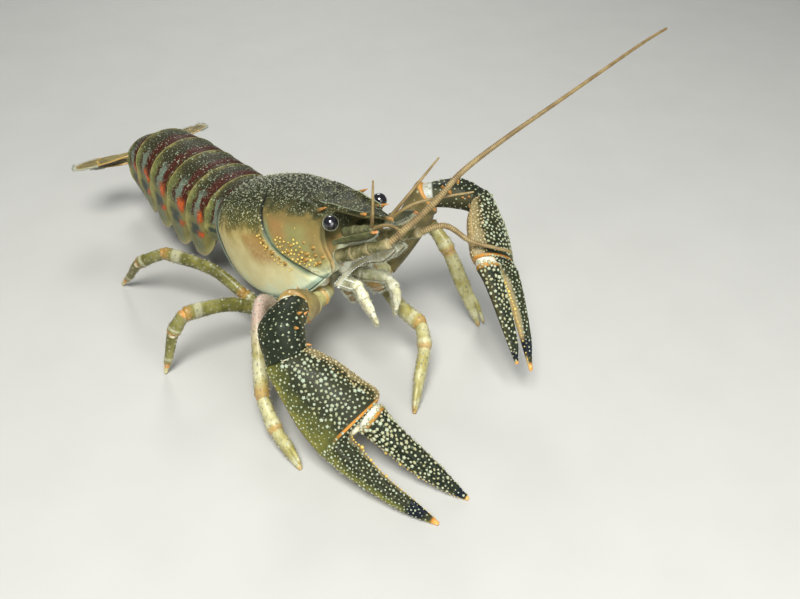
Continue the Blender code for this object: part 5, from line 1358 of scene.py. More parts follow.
@dataclass
class Carapace:
    """The shell over head and thorax: groove, rims, ridges, beak, granules, cheek knobs and spines."""

    shape: ShellShape = field(default_factory=ShellShape)
    half_columns: int = 80
    thorax_rows: int = 84
    head_rows: int = 62
    granule_spacing: float = 0.56
    beak_tip: float = 48.0
    form: Form | None = None
    beak_half_width: Knots = ((30.0, 3.6), (34.0, 4.1), (38.0, 3.4), (42.6, 2.5), (43.6, 1.3), (48.0, 0.25))
    beak_top: Knots = ((30.0, 8.2), (34.0, 7.9), (38.0, 7.1), (42.6, 6.3), (48.0, 5.2))
    beak_thickness: Knots = ((30.0, 2.4), (38.0, 1.5), (42.6, 1.2), (48.0, 0.5))
    # How each edge turns over: the scale of each added row and how far inside the shell it lies
    turned_edge: Knots = ((0.992, -0.13), (0.975, -0.16), (0.955, 0.05), (0.945, 0.6), (0.93, 2.2), (0.6, 2.6))
    # Spines in the animal's frame: way, share, length, radius; the first three stand behind the groove
    groove_spines: tuple = (
        (0.945, 0.54, 1.6, 0.42), (0.95, 0.62, 1.9, 0.46), (0.95, 0.70, 1.5, 0.42), (0.955, 0.58, 1.0, 0.3),
        (0.955, 0.66, 1.1, 0.3), (0.95, 0.48, 0.9, 0.3))
    cheek_spines: tuple = (
        (1.30, 0.60, 1.1, 0.36), (1.48, 0.68, 1.6, 0.42), (1.44, 0.55, 1.2, 0.36), (1.62, 0.62, 1.7, 0.42),
        (1.70, 0.72, 1.6, 0.42), (1.80, 0.56, 1.4, 0.40), (1.86, 0.66, 1.5, 0.40), (1.36, 0.70, 0.9, 0.3),
        (1.56, 0.74, 1.0, 0.3), (1.74, 0.64, 1.0, 0.3), (1.54, 0.60, 0.9, 0.3), (1.68, 0.52, 0.9, 0.3))
    # Root, tip and radius in the animal's frame: the spine behind each eye and the one at each shoulder of the beak
    paired_spines: tuple = (((33.0, 4.95, 6.95), (36.1, 5.2, 8.0), 0.5), ((41.9, 2.25, 6.2), (44.5, 3.0, 6.55), 0.42))

    def build(self, shop: Workshop) -> None:
        """Makes every piece of the shell."""
        self.form = form = self.skin()
        shop.show(Sculpt("shell_of_head_and_thorax").add(form), shop.wear.carapace, Slot.SHELL,
                  "thorax_carapace", "head_carapace")
        beak = self.beak()
        shop.show(Sculpt("beak").add(beak), shop.wear.beak, Slot.SHELL)
        self.plant_granules(shop, form)
        self.plant_cheeks(shop, form)
        self.plant_spines(shop, beak)

    def skin(self) -> Form:
        """The continuous surface over both shields, with the edge turned over at each end."""
        shape, half = self.shape, self.half_columns
        ways = list(np.linspace(0.0, 1.0, self.thorax_rows)) + list(np.linspace(1.0, 2.0, self.head_rows))[1:]
        rows, facts = [], []
        for way in ways:
            arch = [shape.place(way, abs(step) / half, 1.0 if step >= 0 else -1.0) for step in range(-half, half + 1)]
            edge = arch[-1]
            roof, inner = edge.z + shape.rise, edge.y - shape.flap_thickness
            corners = [(edge.y - 0.25, edge.z - 0.12), (inner + 0.2, edge.z + 0.1), (inner, edge.z + 0.5),
                       (inner - 0.3, roof)]
            left = [Vector((edge.x, y, z)) for y, z in corners]
            flat = [Vector((edge.x, (inner - 0.3) * (1 - 2 * t), roof))
                    for t in (0.12, 0.25, 0.4, 0.5, 0.6, 0.75, 0.88)]
            right = [Vector((p.x, -p.y, p.z)) for p in left[::-1]]
            ring = arch + left + flat + right
            rows.append([tuple(p) for p in ring])
            extra = len(ring) - len(arch)
            facts.append([(abs(step) / half, 1.0) for step in range(-half, half + 1)] + [(1.0, 0.0)] * extra)
        own, facts = np.array(rows), np.array(facts)
        share, outside = facts[:, :, 0], facts[:, :, 1]
        form = Form(np.array([[tuple(STANCE @ Vector(p)) for p in row] for row in rows]))
        form.run = np.array(ways)[:, None] * np.ones((1, form.columns))
        form.turn = share
        return self.turn_edges(form.raise_by(self.relief(own, share) * outside))

    def relief(self, own: np.ndarray, share: np.ndarray) -> np.ndarray:
        """How far each point of the shell is raised, from its place in the animal's frame and its share."""
        shape = self.shape
        x, y, z = own[:, :, 0], np.abs(own[:, :, 1]), own[:, :, 2]
        lines = [np.interp(share, *zip(*[(s / 50, curve_value(knots, s / 50)) for s in range(51)]))
                 for knots in (shape.rear, shape.groove, shape.front)]
        behind, groove, ahead = x - lines[0], x - lines[1], lines[2] - x
        high = -(0.30 + 0.28 * step_up(share, 0.12, 0.5)) * bump_at(groove, 0.0, 0.42)
        high += 0.14 * bump_at(groove, -1.2, 0.7) + 0.08 * bump_at(groove, 1.2, 0.7)
        areola = 1.25 + 1.5 * ((x - 8.5) / 8.0) ** 2
        high -= (0.17 * bump_at(y, areola, 0.26) * step_up(x, 1.8, 3.2) * (1 - step_up(groove, -1.6, -0.6))
                 * (share < 0.4))
        high += 0.16 * bump_at(behind, 0.35, 0.28) - 0.22 * bump_at(behind, 0.98, 0.25)
        below = (1.0 - share) * 30.0
        high += (0.16 * bump_at(below, 0.5, 0.35) - 0.2 * bump_at(below, 1.2, 0.28)) * step_up(ahead, 0.5, 2.0)
        high += (0.13 * bump_at(ahead, 0.3, 0.25) - 0.16 * bump_at(ahead, 0.85, 0.25)) * step_up(share, 0.25, 0.35)
        ridge = 4.25 + (x - 24.0) * 0.075
        along = step_up(x, 24.2, 26.5) * (1 - step_up(x, 33.2, 34.4))
        high += (0.42 * bump_at(y, ridge, 0.4) - 0.14 * bump_at(y, ridge + 1.0, 0.45)) * along * (z > 3.0)
        side = 30.0 * (share - 0.62)
        high += (0.1 * np.sin(x * 1.3 + side * 0.9) * np.sin(side * 1.1 - x * 0.4) * step_up(share, 0.4, 0.55)
                 * (groove > 0.8))
        high -= 1.7 * step_up(x, 31.5, 35.0) * (1 - step_up(y, 2.4, 3.3)) * (z > 0.0)
        return high

    def turn_edges(self, form: Form) -> Form:
        """Adds the rows that turn the rear and front edges over and back inside the shell."""
        forward = np.array(tuple(STANCE.to_3x3() @ Vector((1.0, 0.0, 0.0))))
        for at_front in (False, True):
            ring = form.grid[-1] if at_front else form.grid[0]
            inwards = -forward if at_front else forward
            centre = ring.mean(axis=0)
            rows = [centre + (ring - centre) * scale + inwards * ahead for scale, ahead in self.turned_edge]
            form.extend(rows, at_front, 1.995 if at_front else 0.0)
        return form

    def beak(self) -> Form:
        """The beak: a trough with raised margins that ends in two shoulders and a sharp point."""
        rings = []
        for x in np.concatenate([np.linspace(29.0, 42.2, 34), np.linspace(42.5, 44.2, 9),
                                 np.linspace(44.6, self.beak_tip, 12)]):
            half = curve_value(self.beak_half_width, x)
            top = curve_value(self.beak_top, x)
            bottom = top - curve_value(self.beak_thickness, x)
            trough, margin = min(0.62, half * 0.24), min(0.24, half * 0.13)
            free = float(step_up(x, 30.0, 35.5))
            above = []
            for share, own in ((1.0, top - 0.42), (0.96, top - 0.02), (0.86, top + margin), (0.74, top - trough * 0.45),
                               (0.36, top - trough), (0.0, top - trough * 1.05)):
                above.append((half * share, (self.back_height(x, half * share) + 0.07) * (1 - free) + own * free))
            outline = above + [(-y, z) for y, z in above[-2::-1]]
            outline += [(-half * 0.75, bottom + 0.15 - (1 - free)), (0.0, bottom - 0.2),
                        (half * 0.75, bottom + 0.15 - (1 - free))]
            rings.append([floor_frame(x, y, z) for y, z in outline])
        return Form(refine(rings, 4, 1))

    def back_height(self, x: float, y: float) -> float:
        """The height of the shell's back at a distance from its middle line."""
        shape = self.shape
        across = min(y / curve_value(shape.half_width, x), 1.0) ** (1 / 0.92)
        return shape.widest_height + (curve_value(shape.top, x) - shape.widest_height) * math.sqrt(1 - across * across)

    @staticmethod
    def shell_plants(form: Form, places: list[tuple[float, float]], chance: random.Random,
                     sizes: tuple[float, float], tall: float) -> list[tuple[Plant, float, float]]:
        """Plants on the shell's surface, each with the way and share of its place."""
        found = []
        for run, turn in places:
            place, out = form.at(run, turn)
            row, column = int(round(run * (form.rows - 1))), int(turn * form.columns) % form.columns
            size = chance.uniform(*sizes)
            plant = Plant(place, out, size, size * tall, chance.random())
            found.append((plant, form.run[row, column], form.turn[row, column]))
        return found

    def columns(self, share: float) -> tuple[float, float]:
        """The range of a form's turn that covers both sides down to a share."""
        count = 2 * self.half_columns + 1 + 15
        return (self.half_columns * (1 - share)) / count, (self.half_columns * (1 + share)) / count

    def plant_granules(self, shop: Workshop, form: Form) -> None:
        """Fine pale granules over the dark back, thinning out towards the beige flanks."""
        chance = random.Random(5)
        scattered = form.scatter(self.granule_spacing, 5, (0.06, 0.95), self.columns(0.56))
        plants = []
        for plant, way, share in self.shell_plants(form, scattered, chance, (0.10, 0.19), 0.75):
            limit = 0.5 if way < 1.0 else 0.30
            bare = way > 1.03 and chance.random() < 0.35
            if bare or share > limit + chance.uniform(-0.08, 0.04) or 0.965 < way < 1.03:
                continue
            plants.append(plant)
        shop.sow("granules_of_the_back", plants, Pattern.GRANULE, shop.wear.granule, Slot.SHELL, 3, 0.45)

    def plant_cheeks(self, shop: Workshop, form: Form) -> None:
        """Golden knobs over the cheeks and behind the groove."""
        chance = random.Random(8)
        plants = []
        scattered = form.scatter(0.72, 8, (0.45, 0.97), self.columns(0.80))
        for plant, way, share in self.shell_plants(form, scattered, chance, (0.17, 0.33), 1.0):
            low_cheek = 1.12 < way < 1.62 and 0.50 < share < 0.765
            upper_cheek = 1.10 < way < 1.90 and 0.34 < share <= 0.50 and chance.random() < 0.10
            behind = 0.86 < way < 0.955 and 0.50 < share < 0.76
            if low_cheek or upper_cheek or behind:
                plant.width *= 1.15 if low_cheek or behind else 0.6
                plant.length *= 1.15 if low_cheek or behind else 0.5
                plants.append(plant)
        shop.sow("knobs_of_the_cheeks", plants, Pattern.KNOB, shop.wear.gold, Slot.SHELL, 4, 0.35)

    def plant_spines(self, shop: Workshop, beak: Form) -> None:
        """Spines of the cheeks, the groove, the ridges behind the eyes and the beak."""
        turn = STANCE.to_3x3()
        plants, golden = [], []
        for side in Side:
            for way, share, length, radius in self.groove_spines + self.cheek_spines:
                place, out = self.shape.place(way, share, side.value), self.shape.out(way, share, side.value)
                lean = spiny_lean(out, Vector((1.0, 0.0, 0.0)), 0.72, 0.7)
                golden.append(Plant(STANCE @ place, turn @ lean, radius, length))
            for root, tip, radius in self.paired_spines:
                low, high = (side.at(place) for place in (root, tip))
                plants.append(Plant(low, (high - low).normalized(), radius, (high - low).length))
        low, high = floor_frame(46.6, 0.0, 5.15), floor_frame(48.3, 0.0, 5.2)
        plants.append(Plant(low, (high - low).normalized(), 0.34, (high - low).length))
        shop.sow("spines_of_the_shell", plants, Pattern.HORN, shop.wear.horn, Slot.SHELL, 6, 0.05)
        shop.sow("spines_of_the_cheeks", golden, Pattern.HORN, shop.wear.gold, Slot.SHELL, 9, 0.05)
        knobs = []
        for turn_at in BEAK_MARGINS:
            for index in range(26):
                place, out = beak.at(0.10 + 0.62 * index / 26, turn_at)
                knobs.append(Plant(place, out, 0.17, 0.14, 0.5))
        chance = random.Random(12)
        for at_run, at_turn in beak.scatter(0.62, 12, (0.04, 0.86), (0.0, 10.0 / BEAK_CORNERS)):
            place, out = beak.at(at_run, at_turn)
            knobs.append(Plant(place, out, chance.uniform(0.08, 0.13), 0.09, chance.random()))
        shop.sow("beads_of_the_beak", knobs, Pattern.GRANULE, shop.wear.granule, Slot.SHELL, 7, 0.3)


@dataclass
class Eyes:
    """Two glossy black eyes in pale grey cups on short stalks."""

    centre: Triple = (37.3, 6.1, 5.3)
    root: Triple = (35.4, 5.0, 4.1)
    radius: float = 1.45
    stalk_radius: float = 1.05

    def build(self, shop: Workshop) -> None:
        """Makes both eyes and their stalks."""
        for side in Side:
            centre = side.at(self.centre)
            root = side.at(self.root)
            along = (centre - root).normalized()
            r, thin = self.radius, self.stalk_radius
            ball = turned_form(centre, along, tuple((r * math.sin(a), r * math.cos(a)) for a in
                                                    np.linspace(-1.25, 1.53, 34)), 56)
            shop.show(Sculpt("eye_globe_" + side.word).add(ball), shop.wear.eye, Slot.EYE, "eye_" + side.word)
            length = (centre - root).length
            cup = turned_form(centre, along, (
                (-length, thin * 0.85), (-length * 0.7, thin * 0.98), (-r * 0.82, thin * 0.95),
                (-r * 0.62, thin * 1.12),
                (-r * 0.42, r * 0.99), (-r * 0.2, r * 1.045), (-r * 0.08, r * 1.06), (0.0, r * 1.05),
                (r * 0.03, r * 1.01), (0.0, r * 0.94), (-r * 0.2, r * 0.8)), 40)
            stalk = Sculpt("eye_cup_" + side.word).add(Form(smooth_rows(cup.grid, 4)), tone=0.2)
            shop.show(stalk, shop.wear.cup, Slot.PALE, "eye_stalk_" + side.word)


@dataclass
class Abdomen:
    """Six banded segments whose rear edges overlap, each with hanging lobes, and swimmerets below."""

    # x and z of the middle of each joint in the floor frame, then the slope of the joint's plane
    joints: tuple[Triple, ...] = ((-0.35, 19.4, 16.4), (-5.4, 19.1, 2.0), (-13.0, 18.6, -4.0), (-21.4, 19.0, -5.0),
                                  (-29.4, 19.8, -2.0), (-36.8, 20.0, 14.0), (-43.4, 18.0, 36.0))
    half_widths: tuple[float, ...] = (8.2, 9.6, 9.8, 9.6, 9.2, 8.6, 7.6)
    arches: tuple[float, ...] = (5.8, 7.2, 7.8, 7.8, 7.4, 6.8, 5.8)
    drops: tuple[float, ...] = (4.0, 10.2, 11.0, 10.6, 9.7, 8.0)
    lobe_thickness: float = 1.3
    belly: float = 1.6
    overlap: float = 0.55
    forms: list[Form] = field(default_factory=list)
    paddles: list[Form] = field(default_factory=list)
    lobe_outline: Knots = ((0.0, 0.45), (0.12, 0.66), (0.3, 0.87), (0.5, 0.98), (0.65, 1.0), (0.8, 0.94),
                           (0.92, 0.76), (1.0, 0.5))

    def plane(self, index: int) -> tuple[Vector, Vector, Vector]:
        """The middle, the way back and the way up of one joint plane."""
        x, z, slope = self.joints[index]
        angle = math.radians(slope)
        return (Vector((x, 0.0, z)), Vector((-math.cos(angle), 0.0, -math.sin(angle))),
                Vector((-math.sin(angle), 0.0, math.cos(angle))))

    def segment(self, index: int) -> Form:
        """One segment; run is 0 at its front edge, turn is 0 mid-back, 0.5 at the side and 1 at the lobe's tip."""
        front, front_back, front_up = self.plane(index)
        rear, rear_back, rear_up = self.plane(index + 1)
        start, end = front - front_back * (1.6 if index == 0 else 0.7), rear + rear_back * self.overlap
        rows = 30
        rings = []
        for row in range(rows):
            t = row / (rows - 1)
            upward = front_up.lerp(rear_up, t).normalized()
            swell = 0.945 + 0.075 * float(step_up(t, 0.0, 0.35)) + 0.018 * float(step_up(t, 0.85, 1.0))
            if index == 0:
                swell += 0.05 * float(1 - step_up(t, 0.0, 0.6))
            half = (self.half_widths[index] * (1 - t) + self.half_widths[index + 1] * t) * swell
            arch = (self.arches[index] * (1 - t) + self.arches[index + 1] * t) * swell
            if index == 0:
                arch += 0.9 * float(1 - step_up(t, 0.1, 0.9))
            drop = max(self.drops[index] * curve_value(self.lobe_outline, t), self.belly + 0.8)
            rings.append(self.ring(start.lerp(end, t), upward, half, arch, drop))
        form = Form(refine(rings, 6, 1))
        under = [0.775, 1.0, 1.15, 1.4, 1.6, 1.4, 1.15, 1.0, 0.775]
        down = [abs(90.0 - 22.5 * step) / 180.0 for step in range(9)] + under
        coarse = np.array(down + down[:1])
        form.turn = np.repeat(np.interp(np.arange(form.columns) / 6, np.arange(19), coarse)[None, :], rows, axis=0)
        t, down_at = form.run, form.turn
        high = -0.2 * bump_at(t, 0.30, 0.03) * (down_at < 0.6) + 0.09 * bump_at(t, 0.95, 0.035)
        high += -0.16 * bump_at(down_at, 0.56, 0.03) * bump_at(t, 0.6, 0.25)
        high += 0.05 * np.sin(down_at * 40 + t * 3) * bump_at(t, 0.65, 0.25) * (down_at < 1.0)
        return form.raise_by(high * (down_at < 1.05)).round_ends(0.02, 0.03, 2)

    def ring(self, middle: Vector, upward: Vector, half: float, arch: float, drop: float) -> list[Vector]:
        """One coarse ring: an arched back with a hanging lobe at each side."""
        outline = [(half * math.cos(math.pi * step / 8), arch * math.sin(math.pi * step / 8)) for step in range(9)]
        thick = self.lobe_thickness * 0.75
        side = [(half + 0.35, -drop * 0.55), (half - 0.25, -drop), (half - thick, -drop * 0.93),
                (half - thick - 0.6, -self.belly)]
        outline += [(-y, z) for y, z in side] + [(0.0, -self.belly - 0.4)] + side[::-1]
        return [middle + SIDEWAYS * y + upward * z for y, z in outline]

    def build(self, shop: Workshop) -> None:
        """Makes the six segments and the swimmerets."""
        granules = []
        chance = random.Random(12)
        for index in range(6):
            form = self.segment(index)
            self.forms.append(form)
            name = "abdomen_segment_%d" % (index + 1)
            skin = Sculpt("banded_segment_%d" % (index + 1)).add(form)
            shop.show(skin, shop.wear.abdomen, Slot.ABDOMEN, name)
            for run, turn in form.scatter(0.72, 20 + index, (0.36, 0.94), (0.0, 0.45)):
                place, out = form.at(run, turn)
                size = chance.uniform(0.09, 0.15)
                granules.append(Plant(place, out, size, size * 0.8, chance.random()))
            if 1 <= index <= 4:
                self.swimmerets(shop, index)
        shop.sow("granules_of_the_abdomen", granules, Pattern.GRANULE, shop.wear.granule, Slot.ABDOMEN, 13, 0.4)

    def swimmerets(self, shop: Workshop, index: int) -> None:
        """A pair of two-branched paddles under one segment."""
        front, front_back, upward = self.plane(index)
        rear, rear_back, _ = self.plane(index + 1)
        middle = (front + front_back * GAP / 2).lerp(rear - rear_back * GAP / 2, 0.5)
        paddles = Sculpt("swimmerets_%d" % (index + 1))
        for side in Side:
            root = middle + Vector((0.31, side.value * 4.27, 0.0)) - upward * (self.belly - 0.83)
            knee = root - upward * 3.2 + Vector((1.0, side.value * 0.6, 0.0))
            end = root - upward * 5.8 + Vector((2.6, side.value * 0.2, 0.0))
            for spread_out, wide in ((0.0, 0.85), (0.9, 0.7)):
                path = smooth_path([root, knee, end + SIDEWAYS * side.value * spread_out], 12)
                form = podomere(path, 0.0, 1.0, (0.6, wide, 0.35), (0.5, 0.34, 0.2), SIDEWAYS, sides=18)
                paddles.add(form, tone=0.3)
                self.paddles.append(form)
        shop.show(paddles, shop.wear.pale, Slot.PALE)


@dataclass
class TailFan:
    """The telson and four blades: thin ribbed plates with spined edges."""

    joint: Triple = (-43.4, 18.0, 36.0)
    length: float = 13.5
    slope: float = math.radians(14.0)
    telson_outline: Knots = ((0.0, 0.62), (0.3, 0.95), (0.6, 1.0), (0.85, 0.86), (0.95, 0.70), (1.0, 0.45), (1.02, 0.2))
    blade_outline: Knots = ((0.0, 0.36), (0.15, 0.42), (0.3, 0.8), (0.5, 1.0), (0.75, 1.0), (0.92, 0.78), (1.0, 0.42),
                            (1.02, 0.2))
    # Kind, spread angle, offset sideways, lift, width
    blades: tuple = (("endopod", 30.0, 4.9, 0.6, 6.2), ("exopod", 60.0, 5.7, 2.6, 6.8))
    edges: list[tuple[Form, Vector, float]] = field(default_factory=list)

    def blade(self, root: Vector, along: Vector, broad: Vector, width: float, thickness: float, outline: Knots,
              suture: bool) -> Form:
        """One plate with a middle rib, finer ribs and a thin rim; run is 0 at its root, turn goes round it."""
        along = along.normalized()
        broad = square_to(broad, along)
        upward = along.cross(broad)
        if upward.z < 0.0:
            upward = -upward
        across = np.concatenate([np.linspace(1.0, -1.0, 41), np.linspace(-0.9, 0.9, 19)])
        rows = []
        for t in np.concatenate([np.linspace(-0.02, 0.92, 44), np.linspace(0.94, 1.02, 8)]):
            half = width / 2 * curve_value(outline, t)
            ring = []
            for column, u in enumerate(across):
                above = column < 41
                edge = math.sqrt(max(1.0 - abs(u) ** 3, 0.0))
                thick = thickness / 2 * (1.0 - 0.45 * max(t, 0.0)) * edge
                lift = thick if above else -thick * 0.8
                if above:
                    lift += (0.30 * float(bump_at(u, 0.0, 0.10)) * (1 - 0.6 * t)
                             + 0.045 * math.cos(u * 30) * edge * float(step_up(t, 0.2, 0.4)))
                    if suture:
                        lift -= 0.16 * float(bump_at(t, 0.62 - 0.05 * u * u, 0.012))
                sag = -0.5 * t * t * 0.8
                ring.append(tuple(root + along * self.length * t + broad * half * u + upward * (lift + sag)))
            rows.append(ring)
        form = Form(np.array(rows))
        around = np.concatenate([np.linspace(0.0, 0.6, 41), np.linspace(0.62, 0.98, 19)])
        form.turn = np.repeat(around[None, :], form.rows, axis=0)
        return form

    def build(self, shop: Workshop) -> None:
        """Makes the telson, the four blades and their small spines."""
        x, z, slope = self.joint
        angle = math.radians(slope)
        middle = Vector((x, 0.0, z))
        back = Vector((-math.cos(angle), 0.0, -math.sin(angle)))
        upward = Vector((-math.sin(angle), 0.0, math.cos(angle)))
        root = middle + back * (GAP + 0.1) + upward * 0.9
        heading = (back * 0.96 - upward * 0.1).normalized()
        telson = self.blade(root, heading, SIDEWAYS, 8.0, 1.3, self.telson_outline, True)
        shop.show(Sculpt("telson_plate").add(telson), shop.wear.fan, Slot.FAN, "telson")
        spines = [Plant(*telson.at(0.60, turn), 0.24, 0.7) for turn in (0.015, 0.04, 0.56, 0.585)]
        fan_back = Vector((-math.cos(self.slope), 0.0, -math.sin(self.slope)))
        self.edges.append((telson, heading, 0.7))
        for side in Side:
            for kind, spread_angle, offset, lift, width in self.blades:
                turn = math.radians(spread_angle)
                way = fan_back * math.cos(turn) + SIDEWAYS * side.value * math.sin(turn)
                broad = SIDEWAYS * side.value * math.cos(turn) - fan_back * math.sin(turn)
                base = middle + back * (GAP + 0.1) + SIDEWAYS * side.value * offset + upward * lift
                form = self.blade(base, way, broad, width, 1.1, self.blade_outline, kind == "exopod")
                self.edges.append((form, way, 0.55))
                shop.show(Sculpt(kind + "_blade_" + side.word).add(form), shop.wear.fan, Slot.FAN,
                          "uropod_%s_%s" % (kind, side.word))
                if kind == "exopod":
                    for step in range(13):
                        place, out = form.at(0.575 - 0.04 * (step / 6 - 1) ** 2, 0.04 + 0.52 * step / 12)
                        spines.append(Plant(place, (way + out * 0.25).normalized(), 0.16, 0.55))
                else:
                    place, out = form.at(0.93, 0.3)
                    spines.append(Plant(place, way, 0.25, 0.9))
        shop.sow("spines_of_the_fan", spines, Pattern.HORN, shop.wear.gold, Slot.FAN, 17, 0.1)


@dataclass
class Underside:
    """The narrow plate between the legs."""

    roof_middle: tuple[Triple, ...] = ((7.5, 6.2, -9.2), (12.0, 6.6, -10.0), (18.0, 6.8, -10.4), (24.0, 6.2, -9.8),
                                       (28.6, 5.0, -8.6))
    # x, half width, top and bottom in the animal's frame
    sections: tuple = ((6.5, 3.4, -8.6, -10.8), (9.0, 4.2, -9.4, -12.8), (16.0, 4.1, -10.2, -13.4),
                       (22.0, 3.9, -9.8, -13.0), (26.0, 3.0, -9.0, -12.2), (29.0, 2.6, -8.0, -11.2))

    def rings(self) -> list[list[Vector]]:
        """The plate's coarse rings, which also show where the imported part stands."""
        rings = []
        for x, half, top, bottom in self.sections:
            outline = ((half, top), (half, bottom + 0.8), (half * 0.4, bottom), (-half * 0.4, bottom),
                       (-half, bottom + 0.8), (-half, top), (0.0, top + 0.2))
            rings.append([floor_frame(x, y, z) for y, z in outline])
        return rings

    def build(self, shop: Workshop) -> None:
        """Makes the plate with a furrow between each two pairs of legs, and the soft roof over the leg roots."""
        form = Form(refine(self.rings(), 8, 12))
        wave = -0.35 * np.abs(np.sin(form.run * math.pi * 4.5)) ** 8 - 0.3 * bump_at(form.turn, 2.5 / 7, 0.02)
        form.raise_by(wave).round_ends(0.2, 0.2)
        shop.show(Sculpt("plate_between_the_legs").add(form, tone=0.2), shop.wear.pale, Slot.PALE, "sternum")
        roof = Sculpt("soft_roof_of_the_legs")
        for side in Side:
            path = smooth_path([side.at(place) for place in self.roof_middle], 8)
            rings = tube_rings(path, (1.6, 2.3, 2.4, 2.3, 1.7), (1.0, 1.3, 1.4, 1.3, 1.0), 20, SIDEWAYS)
            roof.add(Form(points_of(rings)).round_ends(), tone=0.4)
        shop.show(roof, shop.wear.membrane, Slot.PALE)


@dataclass(frozen=True)
class LegPose:
    """One walking leg: number, side, hip along the body, joints in the floor frame, and whether it has a pincer."""

    number: int
    side: Side
    along_body: float
    arch: Triple
    knee: Triple
    wrist: Triple
    foot: Triple
    pincer: bool

    def named(self, pattern: str) -> str:
        """A name that holds the leg's number and its side."""
        return pattern % (self.number, self.side.word)


